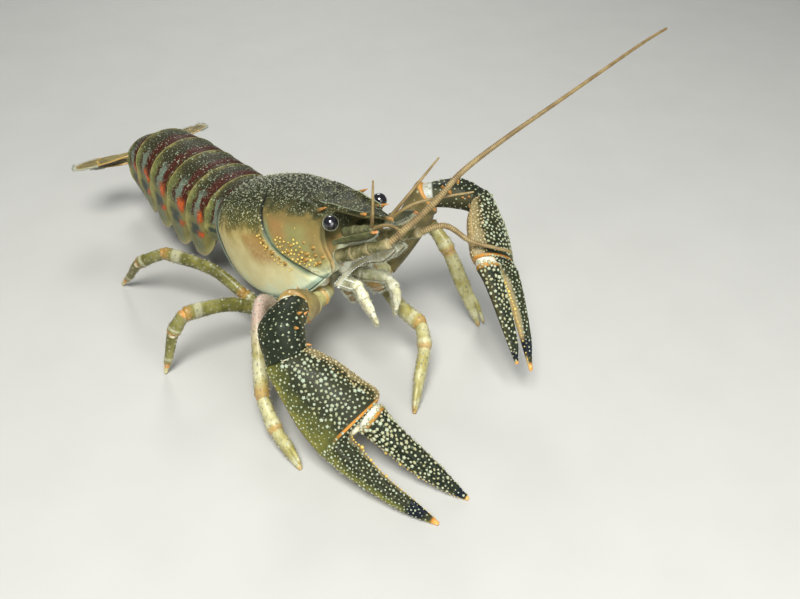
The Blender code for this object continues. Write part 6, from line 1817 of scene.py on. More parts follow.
@dataclass
class WalkingLegs:
    """Eight walking legs in their podomeres, with soft joints between them."""

    poses: tuple[LegPose, ...] = (
        LegPose(2, Side.RIGHT, 24.2, (30.4, -14.0, 12.2), (33.0, -15.4, 8.6),
                (35.2, -15.0, 6.0), (40.6, -13.3, 0.0), True),
        LegPose(3, Side.RIGHT, 19.5, (28.0, -19.6, 19.0), (38.2, -27.6, 7.6),
                (43.6, -28.9, 4.0), (51.6, -29.6, 0.0), True),
        LegPose(4, Side.RIGHT, 14.5, (16.6, -19.6, 13.6), (15.0, -28.8, 15.1),
                (13.2, -31.0, 10.6), (11.4, -33.6, 0.0), False),
        LegPose(5, Side.RIGHT, 9.5, (3.0, -14.6, 13.0), (-8.1, -19.6, 14.3),
                (-15.0, -22.8, 9.8), (-23.4, -24.4, 0.0), False),
        LegPose(2, Side.LEFT, 24.2, (38.6, 6.8, 12.2), (45.9, 6.4, 11.3),
                (49.2, 4.2, 8.6), (55.3, -4.4, 0.0), True),
        LegPose(3, Side.LEFT, 19.5, (28.2, 15.6, 19.4), (33.2, 21.4, 23.2),
                (38.2, 21.8, 18.6), (45.0, 25.4, 0.0), True),
        LegPose(4, Side.LEFT, 14.5, (13.2, 16.8, 13.8), (8.0, 24.0, 16.0),
                (5.4, 25.6, 10.4), (2.0, 27.4, 0.0), False),
        LegPose(5, Side.LEFT, 9.5, (3.4, 15.2, 12.6), (-6.0, 20.6, 15.0),
                (-9.4, 22.0, 10.6), (-16.0, 24.0, 0.0), False),
    )
    thickness: tuple[float, ...] = (0.0, 0.0, 1.75, 1.75, 1.5, 1.45)
    breadth: tuple[float, ...] = (0.0, 0.0, 1.4, 1.35, 1.15, 1.1)
    hip_root: tuple[float, float] = (5.1, -12.0)
    hip_bend: tuple[float, float] = (10.6, -15.3)
    beds: list[tuple[Form, int]] = field(default_factory=list)

    def build(self, shop: Workshop) -> None:
        """Makes every leg."""
        joints = Sculpt("soft_joints_of_the_legs")
        for pose in self.poses:
            upper, lower = Sculpt(pose.named("leg_%d_thigh_%s")), Sculpt(pose.named("leg_%d_shin_%s"))
            self.upper(pose, upper, joints)
            self.lower(pose, lower, joints)
            shop.show(upper, shop.wear.limb, Slot.LIMB, pose.named("leg_%d_upper_%s"))
            shop.show(lower, shop.wear.limb, Slot.LIMB, pose.named("leg_%d_lower_%s"))
        shop.show(joints, shop.wear.membrane, Slot.LIMB)

    def joint(self, path: list[Vector], at: float, radius: float, joints: Sculpt, kind: float = 0.0) -> None:
        """The soft skin that shows between two podomeres."""
        last = len(path) - 1
        low = max(int((at - 0.035) * last), 0)
        high = min(int((at + 0.035) * last) + 1, last)
        rings = tube_rings(path[low:high + 1], (radius, radius), (radius, radius), 16, UPWARD)
        joints.add(Form(points_of(rings)).round_ends(), kind=kind)

    def upper(self, pose: LegPose, piece: Sculpt, joints: Sculpt) -> None:
        """Coxa, ischium and merus, from the hip to the knee."""
        thick, broad = self.thickness[pose.number], self.breadth[pose.number]
        root = pose.side.at((pose.along_body, *self.hip_root))
        lift = 0.1 * max(pose.along_body - 16.0, 0.0)
        hip = pose.side.at((pose.along_body, self.hip_bend[0], self.hip_bend[1] + lift))
        arch, knee = Vector(pose.arch), Vector(pose.knee)
        path = smooth_path([root, hip, arch, knee], 24)
        widths = (thick * 0.95, thick * 1.0, thick * 1.15, thick * 1.0)
        heights = (broad * 1.3, broad * 1.25, broad, broad)
        tone = {2: 0.8, 3: 0.75}.get(pose.number, 0.15)
        pink = 0.2 if (pose.number, pose.side) == (3, Side.RIGHT) else 0.0
        for start, end, kind in ((0.0, 0.29, 1.0), (0.30, 0.45, 0.0), (0.465, 0.99, pink)):
            form = podomere(path, start, end, widths, heights, UPWARD)
            piece.add(form, tone=tone, kind=kind)
            self.beds.append((form, pose.number))
        for at in (0.295, 0.458):
            self.joint(path, at, broad * 0.92, joints, 0.0)
        self.joint([arch.lerp(knee, 0.9), knee, knee.lerp(Vector(pose.wrist), 0.15)], 0.5, broad * 0.9, joints, 1.0)

    def lower(self, pose: LegPose, piece: Sculpt, joints: Sculpt) -> None:
        """Carpus, propodus and dactyl or pincer, from the knee to the foot on the floor."""
        thick, broad = self.thickness[pose.number], self.breadth[pose.number]
        knee, wrist, foot = Vector(pose.knee), Vector(pose.wrist), Vector(pose.foot)
        tone = {2: 0.8, 3: 0.75}.get(pose.number, 0.3)
        if not pose.pincer:
            path = smooth_path([knee, wrist, wrist.lerp(foot, 0.55), foot + Vector((0.0, 0.0, 0.34))], 24)
            widths = (thick, thick * 0.9, thick * 0.6, 0.36)
            heights = (broad, broad * 0.9, broad * 0.6, 0.36)
            spans = ((0.015, 0.33, 0.0), (0.345, 0.80, 0.0), (0.81, 1.0, 1.0))
        else:
            hand = wrist.lerp(foot, 0.5) + Vector((0.0, 0.0, 0.5))
            path = smooth_path([knee, wrist, hand, foot + Vector((0.0, 0.0, 0.34))], 24)
            widths = (thick, thick * 0.95, thick * 1.05, 0.36)
            heights = (broad, broad, broad * 0.9, 0.36)
            spans = ((0.015, 0.33, 0.0), (0.345, 1.0, 0.0))
            along = (foot - wrist).normalized()
            outward = square_to(UPWARD, along)
            start, tip = hand - along * 0.6 + outward * 0.5, foot - along * 0.9 + outward * 1.5
            finger = smooth_path([start, start.lerp(tip, 0.5) + outward * 0.6, tip], 16)
            piece.add(podomere(finger, 0.0, 1.0, (0.8, 0.62, 0.22), (0.6, 0.5, 0.2), outward, 0.05, 0.15, 20),
                      tone=tone, kind=0.4)
            self.joint(finger, 0.05, 0.55, joints, 1.0)
        for start_at, end_at, kind in spans:
            form = podomere(path, start_at, end_at, widths, heights, UPWARD, 0.06 if end_at == 1.0 else 0.1)
            piece.add(form, tone=tone, kind=kind)
            self.beds.append((form, pose.number))
        self.joint(path, 0.338, broad * 0.85, joints, 0.0)
        if not pose.pincer:
            self.joint(path, 0.805, broad * 0.5, joints, 1.0)


@dataclass(frozen=True)
class ClawPose:
    """The joints of one great claw in the floor frame, its broad way, its size and which face is its back."""

    side: Side
    hip: Triple
    elbow: Triple
    wrist: Triple
    carpus: Triple
    palm_end: Triple
    breadth: Triple
    fixed_bend: Triple
    fixed_tip: Triple
    finger_bend: Triple
    finger_tip: Triple
    size: float


@dataclass
class GreatClaws:
    """Two great claws covered with star-shaped knobs, with toothed fingers, orange tips and soft white hinges."""

    poses: tuple[ClawPose, ...] = (
        ClawPose(Side.RIGHT, (31.7, -10.1, 16.8), (38.9, -19.4, 24.6), (43.5, -24.8, 18.9), (41.1, -23.6, 23.3),
                 (56.9, -22.1, 10.0), (0.31, 0.83, 0.46), (64.8, -25.4, 4.4), (77.4, -20.2, 0.0),
                 (68.2, -16.2, 4.9), (77.2, -12.5, 0.0), 1.0),
        ClawPose(Side.LEFT, (31.0, 10.9, 16.3), (34.9, 18.8, 31.6), (44.0, 24.5, 31.5), (39.5, 22.8, 32.1),
                 (53.2, 18.9, 24.1), (0.14, -0.85, 0.50), (58.8, 20.4, 19.2), (68.0, 14.7, 8.1),
                 (60.9, 14.6, 18.0), (66.5, 12.0, 10.5), 0.88),
    )
    root: Triple = (27.6, 4.1, -11.3)
    palm_breadth: tuple[float, ...] = (4.4, 5.8, 6.9, 7.2)
    palm_thickness: tuple[float, ...] = (2.9, 3.6, 3.9, 3.5)
    side_shift: float = 3.7
    fixed_breadth: tuple[float, ...] = (3.3, 2.6, 1.9, 1.5, 0.65)
    fixed_thickness: tuple[float, ...] = (3.1, 2.3, 1.7, 1.2, 0.6)
    finger_breadth: tuple[float, ...] = (2.7, 2.45, 2.3, 2.0, 1.3, 0.6)
    finger_thickness: tuple[float, ...] = (2.2, 1.9, 1.65, 1.4, 1.0, 0.55)
    shoulder: float = 1.2
    sides: int = 10
    beds: list[Form] = field(default_factory=list)

    def build(self, shop: Workshop) -> None:
        """Makes both claws."""
        for pose in self.poses:
            self.arm(shop, pose)
            self.hand(shop, pose)

    def arm(self, shop: Workshop, pose: ClawPose) -> None:
        """Base, merus and carpus with their spines and knobs."""
        word, side = pose.side.word, pose.side.value
        root = pose.side.at(self.root)
        hip, elbow, wrist, carpus = (Vector(p) for p in (pose.hip, pose.elbow, pose.wrist, pose.carpus))
        at_hip, at_elbow = joint_plane(root, hip, elbow), joint_plane(hip, elbow, carpus)
        at_wrist = joint_plane(carpus, wrist, Vector(pose.palm_end))
        path = smooth_path([root, root.lerp(hip, 0.5), hip - at_hip * GAP * 0.6], 16)
        base = Sculpt("claw_root_" + word)
        for start, end in ((0.0, 0.48), (0.50, 1.0)):
            base.add(podomere(path, start, end, (1.7, 2.0, 2.2), (1.6, 1.9, 2.0), UPWARD), tone=0.9)
        shop.show(base, shop.wear.limb, Slot.LIMB, "claw_base_" + word)
        path = smooth_path([hip + at_hip * GAP * 0.6, hip.lerp(elbow, 0.5), elbow - at_elbow * GAP * 0.6], 2)
        rings = tube_rings(path, (2.4, 3.4, 3.7), (2.1, 2.8, 3.0), 8, UPWARD, at_hip, at_elbow)
        merus = oval_form(rings, 7, 12)
        merus.raise_by(0.2 * bump_at(merus.run, 0.93, 0.06) - 0.18 * bump_at(merus.run, 0.82, 0.04))
        merus.round_ends(0.3, 0.25)
        # The right arm takes the cream copy; the left arm, the far one, takes the dark olive copy, which is partly
        # painted shade
        shop.show(Sculpt("claw_upper_arm_" + word).add(merus, tone=0.9 if pose.side is Side.RIGHT else 0.15),
                  shop.wear.merus, Slot.CLAW, "claw_merus_" + word)
        along = (elbow - hip).normalized()
        above = square_to(UPWARD, along)
        inward = above.cross(along).normalized() * side
        spines = []
        for run, lift, sideways, reach in ((0.66, 0.95, 0.1, 2.0), (0.44, 0.98, -0.15, 1.5), (0.7, -0.75, 0.6, 1.8),
                                           (0.66, -0.75, -0.7, 1.6), (0.56, 0.95, -0.3, 1.1), (0.56, -0.8, 0.5, 1.2)):
            lean = (above * lift + inward * sideways).normalized()
            place = hip.lerp(elbow, run) + lean * 2.5
            spines.append(Plant(place, (lean + along * 0.6).normalized(), 0.5, reach))
        size = pose.size
        middle, breadth = carpus, Vector(pose.breadth).normalized()
        joints = (elbow + at_elbow * GAP * 0.6, middle, wrist - at_wrist * GAP * 0.6)
        path = smooth_path(list(joints), 3)
        rings = tube_rings(path, (3.4 * size, 4.3 * size, 3.7 * size), (2.7 * size, 3.3 * size, 2.8 * size), 10,
                           breadth, at_elbow, at_wrist)
        form = oval_form(rings, 6, 8, pose.side is Side.LEFT)
        form.raise_by(0.45 * bump_at(form.turn, 0.25, 0.16) * bump_at(form.run, 0.5, 0.35)
                      - 0.3 * bump_at(form.turn, 0.3, 0.03) * bump_at(form.run, 0.5, 0.3)
                      + 0.2 * bump_at(form.run, 0.95, 0.04)).round_ends(0.3, 0.25)
        shop.show(Sculpt("claw_wrist_" + word).add(form, tone=1.0 if pose.side is Side.LEFT else 0.0),
                  shop.wear.claw, Slot.CLAW, "claw_carpus_" + word)
        lean = (breadth * 3.2 + Vector((0.4, 0.0, 0.6))).normalized()
        spines.append(Plant(middle + breadth * 3.4 * size, lean, 0.75, 2.7))
        near_wrist = middle.lerp(wrist, 0.6) + breadth * 2.8 * size
        spines.append(Plant(near_wrist, breadth, 0.6, 2.1))
        for run, turn in ((0.3, 0.06), (0.5, 0.12), (0.75, 0.02), (0.85, 0.92)):
            place, out = form.at(run, turn)
            spines.append(Plant(place, (out + Vector((0.35, 0.0, 0.0))).normalized(), 0.42, 1.2))
        shop.sow("spines_of_the_arm_" + word, spines, Pattern.HORN, shop.wear.horn, Slot.CLAW, 31, 0.08)
        knobs = self.knobs(form, 41, 0.98, (0.06, 0.9), (-0.2, 0.42),
                           lambda run, turn: 0.30 if turn < 0.3 or turn > 0.8 else 0.22)
        shop.sow("knobs_of_the_wrist_" + word, knobs, Pattern.STAR, shop.wear.knob, Slot.CLAW, 42, 0.35)
        hinges = Sculpt("soft_hinges_" + word)
        for centre, way, radius in ((hip, at_hip, 2.0), (elbow, at_elbow, 2.9 * size), (wrist, at_wrist, 2.8 * size)):
            hinges.add(turned_form(centre, way, (
                (-1.5, radius * 0.7), (-1.0, radius * 0.92), (-0.4, radius), (0.4, radius), (1.0, radius * 0.92),
                (1.5, radius * 0.7))).round_ends())
        palm_end = Vector(pose.palm_end)
        axis = (palm_end - wrist).normalized()
        across = square_to(breadth, axis)
        for offset, radius in ((1.0, 2.35), (0.1, 2.0)):
            centre = palm_end + across * self.side_shift * size * offset - axis * 0.2
            hinges.add(turned_form(centre, axis, (
                (-1.4, radius * size), (-0.4, radius * 1.05 * size), (0.6, radius * size),
                (1.5, radius * 0.82 * size))).round_ends())
        shop.show(hinges, shop.wear.membrane, Slot.CLAW)

    def finger(self, path: list[Vector], broad: Vector, breadths: tuple[float, ...], thicknesses: tuple[float, ...],
               size: float, first_along: Vector) -> list[list[Vector]]:
        """Tapering rings along one finger."""
        widths = [value * size for value in spread(breadths, len(path))]
        heights = [value * size for value in spread(thicknesses, len(path))]
        widths[-1], heights[-1] = 0.36, 0.34
        return tube_rings(path, widths, heights, self.sides, broad, first_along=first_along)

    @staticmethod
    def knobs(form: Form, seed: int, spacing: float, run: tuple[float, float], turn: tuple[float, float],
              size: Callable[[float, float], float]) -> list[Plant]:
        """Star-shaped knobs over part of a form; size gives a knob's radius from its run and turn."""
        chance = random.Random(seed)
        plants = []
        for at_run, at_turn in form.scatter(spacing, seed, run, turn):
            place, out = form.at(at_run, at_turn)
            radius = size(at_run, at_turn) * chance.uniform(0.62, 1.12)
            plants.append(Plant(place, out, radius, radius * 0.72, chance.random()))
        return plants

    def hand(self, shop: Workshop, pose: ClawPose) -> None:
        """The palm with its fixed finger, the moving finger, their knobs and teeth."""
        word, size = pose.side.word, pose.size
        wrist, palm_end = Vector(pose.wrist), Vector(pose.palm_end)
        at_wrist = joint_plane(Vector(pose.carpus), wrist, palm_end)
        axis = (palm_end - wrist).normalized()
        broad = square_to(Vector(pose.breadth), axis)
        start = wrist + at_wrist * GAP
        rings = []
        for index, (half_breadth, half_thickness) in enumerate(zip(self.palm_breadth, self.palm_thickness)):
            share = index / (len(self.palm_breadth) - 1)
            along = at_wrist.lerp(axis, min(share * 3.0, 1.0)).normalized()
            across = square_to(broad, along)
            rings.append(oval_ring(start.lerp(palm_end, share), across, along.cross(across), half_breadth * size,
                                   half_thickness * size, self.sides))
        lift = Vector((0.0, 0.0, 0.36 if pose.fixed_tip[2] < 0.01 else 0.0))
        outer = palm_end - broad * self.side_shift * size + axis * self.shoulder
        path = quadratic_path(outer, Vector(pose.fixed_bend), Vector(pose.fixed_tip) + lift, 5)
        rings += self.finger(path, broad, self.fixed_breadth, self.fixed_thickness, size, axis)
        mirrored = pose.side is Side.LEFT
        palm = oval_form(rings, 6, 9, mirrored)
        on_palm = 1 - step_up(palm.run, 0.30, 0.36)
        ridge = step_up(palm.run, 0.42, 0.5) * (1 - step_up(palm.run, 0.9, 0.97))
        palm.raise_by(0.25 * bump_at(palm.turn, 0.0, 0.05) * on_palm
                      + 0.25 * bump_at(palm.turn, 1.0, 0.05) * on_palm
                      + 0.3 * bump_at(palm.turn, 0.25, 0.035) * ridge - 0.14 * bump_at(palm.turn, 0.33, 0.03) * ridge
                      - 0.12 * bump_at(palm.turn, 0.17, 0.03) * ridge).round_ends(0.25, 0.6)
        shop.show(Sculpt("claw_hand_" + word).add(palm, kind=0.5), shop.wear.claw, Slot.CLAW, "claw_palm_" + word)
        inner = palm_end + broad * self.side_shift * size + axis * (self.shoulder / 2 + GAP + 0.15)
        path = quadratic_path(inner, Vector(pose.finger_bend), Vector(pose.finger_tip) + lift, 6)
        tilt = (axis * 7.4 + broad * self.shoulder).normalized()
        rings = self.finger(path, broad, self.finger_breadth, self.finger_thickness, size, tilt)
        finger = oval_form(rings, 6, 9, mirrored)
        spine_line = step_up(finger.run, 0.08, 0.16) * (1 - step_up(finger.run, 0.84, 0.93))
        finger.raise_by(0.28 * bump_at(finger.turn, 0.25, 0.035) * spine_line
                        - 0.14 * bump_at(finger.turn, 0.33, 0.03) * spine_line
                        - 0.14 * bump_at(finger.turn, 0.17, 0.03) * spine_line
                        + 0.3 * bump_at(finger.run, 0.06, 0.05)).round_ends(0.5, 0.6)
        shop.show(Sculpt("claw_thumb_" + word).add(finger, kind=1.0), shop.wear.claw, Slot.CLAW, "claw_finger_" + word)
        back = self.knobs(palm, 51, 0.70, (0.02, 0.325), (0.085, 0.43), lambda run, turn: 0.42 if turn < 0.31 else 0.27)
        back += self.knobs(palm, 52, 0.60, (0.34, 0.90), (0.06, 0.46), lambda run, turn: 0.40 - 0.18 * run)
        shop.sow("knobs_of_the_hand_" + word, back, Pattern.STAR, shop.wear.knob, Slot.CLAW, 53, 0.3)
        edge = self.knobs(palm, 56, 0.56, (0.02, 0.33), (-0.055, 0.085), lambda run, turn: 0.33)
        shop.sow("margin_of_the_hand_" + word, edge, Pattern.STAR, shop.wear.rim, Slot.CLAW, 57, 0.3)
        moving = self.knobs(finger, 54, 0.68, (0.075, 0.90), (-0.06, 0.46), lambda run, turn: 0.55 - 0.28 * run)
        shop.sow("knobs_of_the_thumb_" + word, moving, Pattern.STAR, shop.wear.cream, Slot.CLAW, 55, 0.3)
        self.teeth(shop, word, palm, finger)
        self.beds += [palm, finger]

    @staticmethod
    def teeth(shop: Workshop, word: str, palm: Form, finger: Form) -> None:
        """Rounded teeth along the inner edges of both fingers, with a few large ones."""
        chance = random.Random(61)
        plants = []
        for form, turn, start, end in ((palm, 0.0, 0.45, 0.93), (finger, 0.5, 0.16, 0.90)):
            for index in range(26):
                share = index / 25
                place, out = form.at(start + (end - start) * share, turn + chance.uniform(-0.012, 0.012))
                large = 1.7 if index in (5, 9, 14) else 1.0
                radius = (0.30 - 0.12 * share) * large * chance.uniform(0.85, 1.1)
                plants.append(Plant(place, out, radius, radius * 1.25, 0.2))
        shop.sow("teeth_of_the_claw_" + word, plants, Pattern.KNOB, shop.wear.gold, Slot.CLAW, 62, 0.15)


@dataclass
class Antennae:
    """Two long antennae: jointed bases, scales with an orange spine, and ringed whips."""

    root: Triple = (36.4, 5.2, -1.9)
    peduncles: dict[Side, Triple] = field(default_factory=lambda: {
        Side.RIGHT: (49.2, -2.9, 1.6), Side.LEFT: (49.0, 4.6, 0.8)})
    whips: dict[Side, tuple[Triple, ...]] = field(default_factory=lambda: {
        Side.RIGHT: ((49.0, 6.0, 40.7), (48.5, 13.4, 43.9), (48.5, 24.6, 46.7), (48.8, 41.0, 50.0), (49.0, 66.0, 54.7),
                     (49.4, 75.0, 56.2)),
        Side.LEFT: ((48.6, 9.6, 34.3), (52.4, 12.6, 31.4), (55.4, 16.3, 29.7), (57.0, 19.2, 28.3))})
    scale_root: Triple = (38.4, 7.0, 1.8)
    scale_tip: Triple = (49.2, 4.9, 4.7)
    whip_radii: tuple[float, ...] = (0.66, 0.55, 0.4, 0.27)
    inner_edge: Knots = ((0.0, 0.7), (0.25, 1.5), (0.55, 1.95), (0.8, 1.35), (0.9, 0.55), (1.0, 0.10))
    outer_edge: Knots = ((0.0, 0.7), (0.25, 1.0), (0.55, 0.95), (0.8, 0.75), (0.9, 0.52), (1.0, 0.12))
    beds: list[Form] = field(default_factory=list)
    leaves: list[Form] = field(default_factory=list)

    def build(self, shop: Workshop) -> None:
        """Makes both antennae."""
        for side in Side:
            self.base(shop, side)
            self.scale(shop, side)

    def base(self, shop: Workshop, side: Side) -> None:
        """The peduncle's joints and the whip with its rings."""
        root = side.at(self.root)
        end = floor_frame(*self.peduncles[side])
        whip = [Vector(p) for p in self.whips[side]]
        at_end = joint_plane(root, end, whip[0])
        path = smooth_path([root, root.lerp(end, 0.35), root.lerp(end, 0.7), end], 20)
        widths, heights = (1.5, 1.45, 1.15, 0.95), (1.5, 1.4, 1.1, 0.95)
        base = Sculpt("antenna_peduncle_" + side.word)
        for start, stop in ((0.0, 0.30), (0.315, 0.60), (0.615, 0.995)):
            form = podomere(path, start, stop, widths, heights, SIDEWAYS, 0.05, 0.06)
            base.add(form, tone=1.0)
            self.beds.append(form)
        shop.show(base, shop.wear.feeler, Slot.FEELER, "antenna_base_" + side.word)
        track = smooth_path([end - at_end * 0.4] + whip, 40)
        radii = spread(self.whip_radii, len(track))
        thin = [radius * 0.86 for radius in radii]
        core = tube_rings(track, thin, thin, 10, (1.0, 0.0, 0.3))
        form = Form(points_of(core)).round_ends(0.3, 1.0)
        shop.show(Sculpt("antenna_core_" + side.word).add(form, tone=0.4), shop.wear.feeler, Slot.FEELER,
                       "antenna_near_" + side.word, "antenna_far_" + side.word)
        rings, travelled, wanted = [], 0.0, 0.0
        for index in range(1, len(track)):
            step = track[index] - track[index - 1]
            while wanted <= travelled + step.length:
                place = track[index - 1] + step * ((wanted - travelled) / step.length)
                pitch = 0.46 - 0.14 * index / len(track)
                rings.append(Plant(place, step.normalized(), radii[index], pitch * 1.04))
                wanted += pitch
            travelled += step.length
        shop.sow("antenna_rings_" + side.word, rings, Pattern.RING, shop.wear.feeler_ring, Slot.FEELER, 71, 0.03)

    def scale(self, shop: Workshop, side: Side) -> None:
        """The leaf-shaped scale: a stiff outer rib that ends in a spine, and a thin inner blade."""
        root = side.at(self.scale_root)
        tip = side.at(self.scale_tip)
        along = (tip - root).normalized()
        inward = STANCE.to_3x3() @ Vector((0.1, -0.86 * side.value, -0.50))
        inward = square_to(inward, along)
        upward = along.cross(inward)
        length = (tip - root).length
        rows = []
        for t in np.linspace(0.0, 1.0, 40):
            wide, narrow = curve_value(self.inner_edge, t), curve_value(self.outer_edge, t)
            thick = 0.34 * (1 - 0.6 * t)
            ring = []
            for step in range(36):
                angle = 2 * math.pi * step / 36
                across, up = math.cos(angle), math.sin(angle)
                y = across * (wide if across > 0 else narrow)
                rib = 0.30 * float(bump_at(y, -narrow * 0.55, 0.28)) * (1 if up > 0 else -1)
                lift = up * thick + rib * (1 - 0.5 * t) * abs(up)
                ring.append(tuple(root + along * length * t + inward * y + upward * lift))
            rows.append(ring)
        form = Form(np.array(rows)).round_ends(0.3, 0.6)
        self.leaves.append(form)
        shop.show(Sculpt("antenna_leaf_" + side.word).add(form), shop.wear.scale, Slot.LIMB,
                  "antenna_scale_" + side.word)


@dataclass
class Antennules:
    """Two short forked feelers under the beak."""

    root: Triple = (35.3, 1.9, 1.6)
    fork: Triple = (44.0, 1.8, 3.4)
    branches: dict[Side, tuple] = field(default_factory=lambda: {
        Side.RIGHT: (((42.6, -3.0, 39.4), (41.3, -1.6, 45.0)), ((45.6, -2.2, 38.0), (49.6, -3.0, 39.2))),
        Side.LEFT: (((43.6, 4.6, 40.4), (43.6, 12.5, 45.4)), ((46.0, 4.8, 40.0), (50.7, 14.6, 40.4)))})

    def build(self, shop: Workshop) -> None:
        """Makes both forked feelers."""
        rings = []
        for side in Side:
            root, fork = side.at(self.root), side.at(self.fork)
            path = smooth_path([root, root.lerp(fork, 0.5), fork], 20)
            piece = Sculpt("antennule_stem_" + side.word)
            for start, stop in ((0.0, 0.42), (0.43, 0.72), (0.73, 1.0)):
                piece.add(podomere(path, start, stop, (1.1, 1.0, 0.75), (1.1, 1.0, 0.75), SIDEWAYS, 0.05, 0.05, 22),
                          tone=0.6)
            for middle, tip in self.branches[side]:
                track = smooth_path([fork - (fork - root).normalized() * 0.5, Vector(middle), Vector(tip)], 24)
                radii = spread((0.36, 0.31, 0.17), len(track))
                core = tube_rings(track, radii, radii, 8, (1.0, 0.2, 0.1))
                piece.add(Form(points_of(core)).round_ends(0.3, 1.0), tone=0.2)
                for index in range(1, len(track) - 1):
                    way = track[index + 1] - track[index - 1]
                    for part in (0.0, 0.5):
                        place = track[index].lerp(track[index + 1], part)
                        rings.append(Plant(place, way.normalized(), radii[index] * 1.04, way.length / 4 * 1.02))
            shop.show(piece, shop.wear.feeler, Slot.FEELER, "antennule_" + side.word)
        shop.sow("antennule_rings", rings, Pattern.RING, shop.wear.feeler_ring, Slot.FEELER, 73, 0.03)


@dataclass
class Mouth:
    """The jaws and the third maxillipeds."""

    ends: dict[Side, tuple[Triple, ...]] = field(default_factory=lambda: {
        Side.RIGHT: ((39.6, -4.4, 22.4), (42.0, -4.6, 20.4), (44.6, -4.1, 16.4)),
        Side.LEFT: ((39.2, 3.4, 20.8), (41.8, 3.4, 18.8), (42.1, 3.0, 13.6))})
    root: Triple = (29.9, 2.0, -9.8)
    # The raised leaf of each maxilliped, given for the left side in the floor frame
    leaf: tuple[Triple, ...] = ((32.9, 4.1, 19.4), (35.1, 2.5, 23.4), (38.6, 1.7, 27.1), (42.5, 1.3, 29.5),
                                (46.2, 1.1, 32.7))
    # x, half width, top and bottom in the animal's frame
    jaws: tuple = ((30.2, 2.2, -6.2, -8.2), (31.8, 3.4, -5.0, -7.8), (33.6, 3.6, -4.0, -7.2), (35.4, 2.4, -3.4, -5.8))
    beds: list[Form] = field(default_factory=list)
    leaves: list[Form] = field(default_factory=list)

    def build(self, shop: Workshop) -> None:
        """Makes the jaws, the broad bases, the hanging ends and the lobes below."""
        rings = []
        for x, half, top, bottom in self.jaws:
            outline = ((half, top - 0.3), (half, bottom + 0.9), (half * 0.5, bottom), (0.0, bottom + 0.5),
                       (-half * 0.5, bottom), (-half, bottom + 0.9), (-half, top - 0.3), (0.0, top))
            rings.append([floor_frame(x, y, z) for y, z in outline])
        form = Form(refine(rings, 8, 10)).round_ends(0.35, 0.35)
        shop.show(Sculpt("jaws").add(form, tone=0.6, kind=0.4), shop.wear.pale, Slot.PALE, "mouthparts")
        for side in Side:
            self.maxilliped(shop, side)

    def maxilliped(self, shop: Workshop, side: Side) -> None:
        """One third maxilliped: its flat base, the brown lobe under it, its leaf, its beads and its end's joints."""
        root = side.at(self.root)
        knee, bend, tip = (Vector(p) for p in self.ends[side])
        path = smooth_path([root, root.lerp(knee, 0.35) - Vector((0.0, 0.0, 0.2)), knee], 24)
        base = Sculpt("maxilliped_plate_" + side.word)
        for start, stop in ((0.0, 0.36), (0.37, 0.99)):
            form = podomere(path, start, stop, (1.3, 1.7, 1.3), (1.1, 1.25, 1.1), UPWARD, 0.08, 0.1)
            base.add(form, tone=0.9, kind=0.25)
            self.beds.append(form)
        below = Vector((0.3, 0.0, -1.9))
        lobe = smooth_path([root.lerp(knee, 0.3) + below * 0.6, root.lerp(knee, 0.6) + below,
                            root.lerp(knee, 0.88) + below * 0.7], 16)
        form = podomere(lobe, 0.0, 1.0, (1.0, 1.6, 0.9), (0.8, 1.2, 0.8), UPWARD, 0.05, 0.05)
        base.add(form, tone=0.5, kind=1.0)
        self.beds.append(form)
        shop.show(base, shop.wear.pale, Slot.PALE, "maxilliped_base_" + side.word)
        outer = smooth_path([side.free(place) for place in self.leaf], 12)
        facing = side.free((-0.69, -0.05, 0.72))
        leaf = podomere(outer, 0.0, 1.0, (0.75, 0.62, 0.66, 1.05, 0.32), (0.5, 0.36, 0.3, 0.2, 0.12), facing, 0.0, 0.1,
                        26)
        self.leaves.append(leaf)
        shop.show(Sculpt("maxilliped_leaf_" + side.word).add(leaf, tone=0.1), shop.wear.pale, Slot.PALE)
        outward = side.free((0.45, 0.75, 0.5))
        rows = [(self.beds[-3], shift, 6, 0.86) for shift in (-0.09, 0.07)]
        rows += [(self.beds[-2], shift, 13, 0.86) for shift in (-0.09, 0.07)]
        rows += [(leaf, shift, 19, 0.52) for shift in (-0.16, 0.13)]
        beads = []
        for bed, shift, count, reach in rows:
            best = max((step / 48 for step in range(48)), key=lambda turn: bed.at(0.3, turn)[1].dot(outward))
            for index in range(count):
                place, out = bed.at(0.06 + reach * index / count, best + shift)
                beads.append(Plant(place, out, 0.23, 0.26, 0.0))
        shop.sow("silvery_beads_" + side.word, beads, Pattern.BEAD, shop.wear.silver, Slot.PALE, 81, 0.25)
        path = smooth_path([knee, bend, tip], 30)
        end = Sculpt("maxilliped_palp_" + side.word)
        for start, stop in ((0.01, 0.40), (0.41, 0.72), (0.73, 1.0)):
            form = podomere(path, start, stop, (1.15, 1.2, 0.35), (1.0, 1.0, 0.3), (1.0, 0.0, 0.3), 0.12, 0.14)
            end.add(form, tone=1.0)
            self.beds.append(form)
        shop.show(end, shop.wear.pale, Slot.PALE, "maxilliped_end_" + side.word)


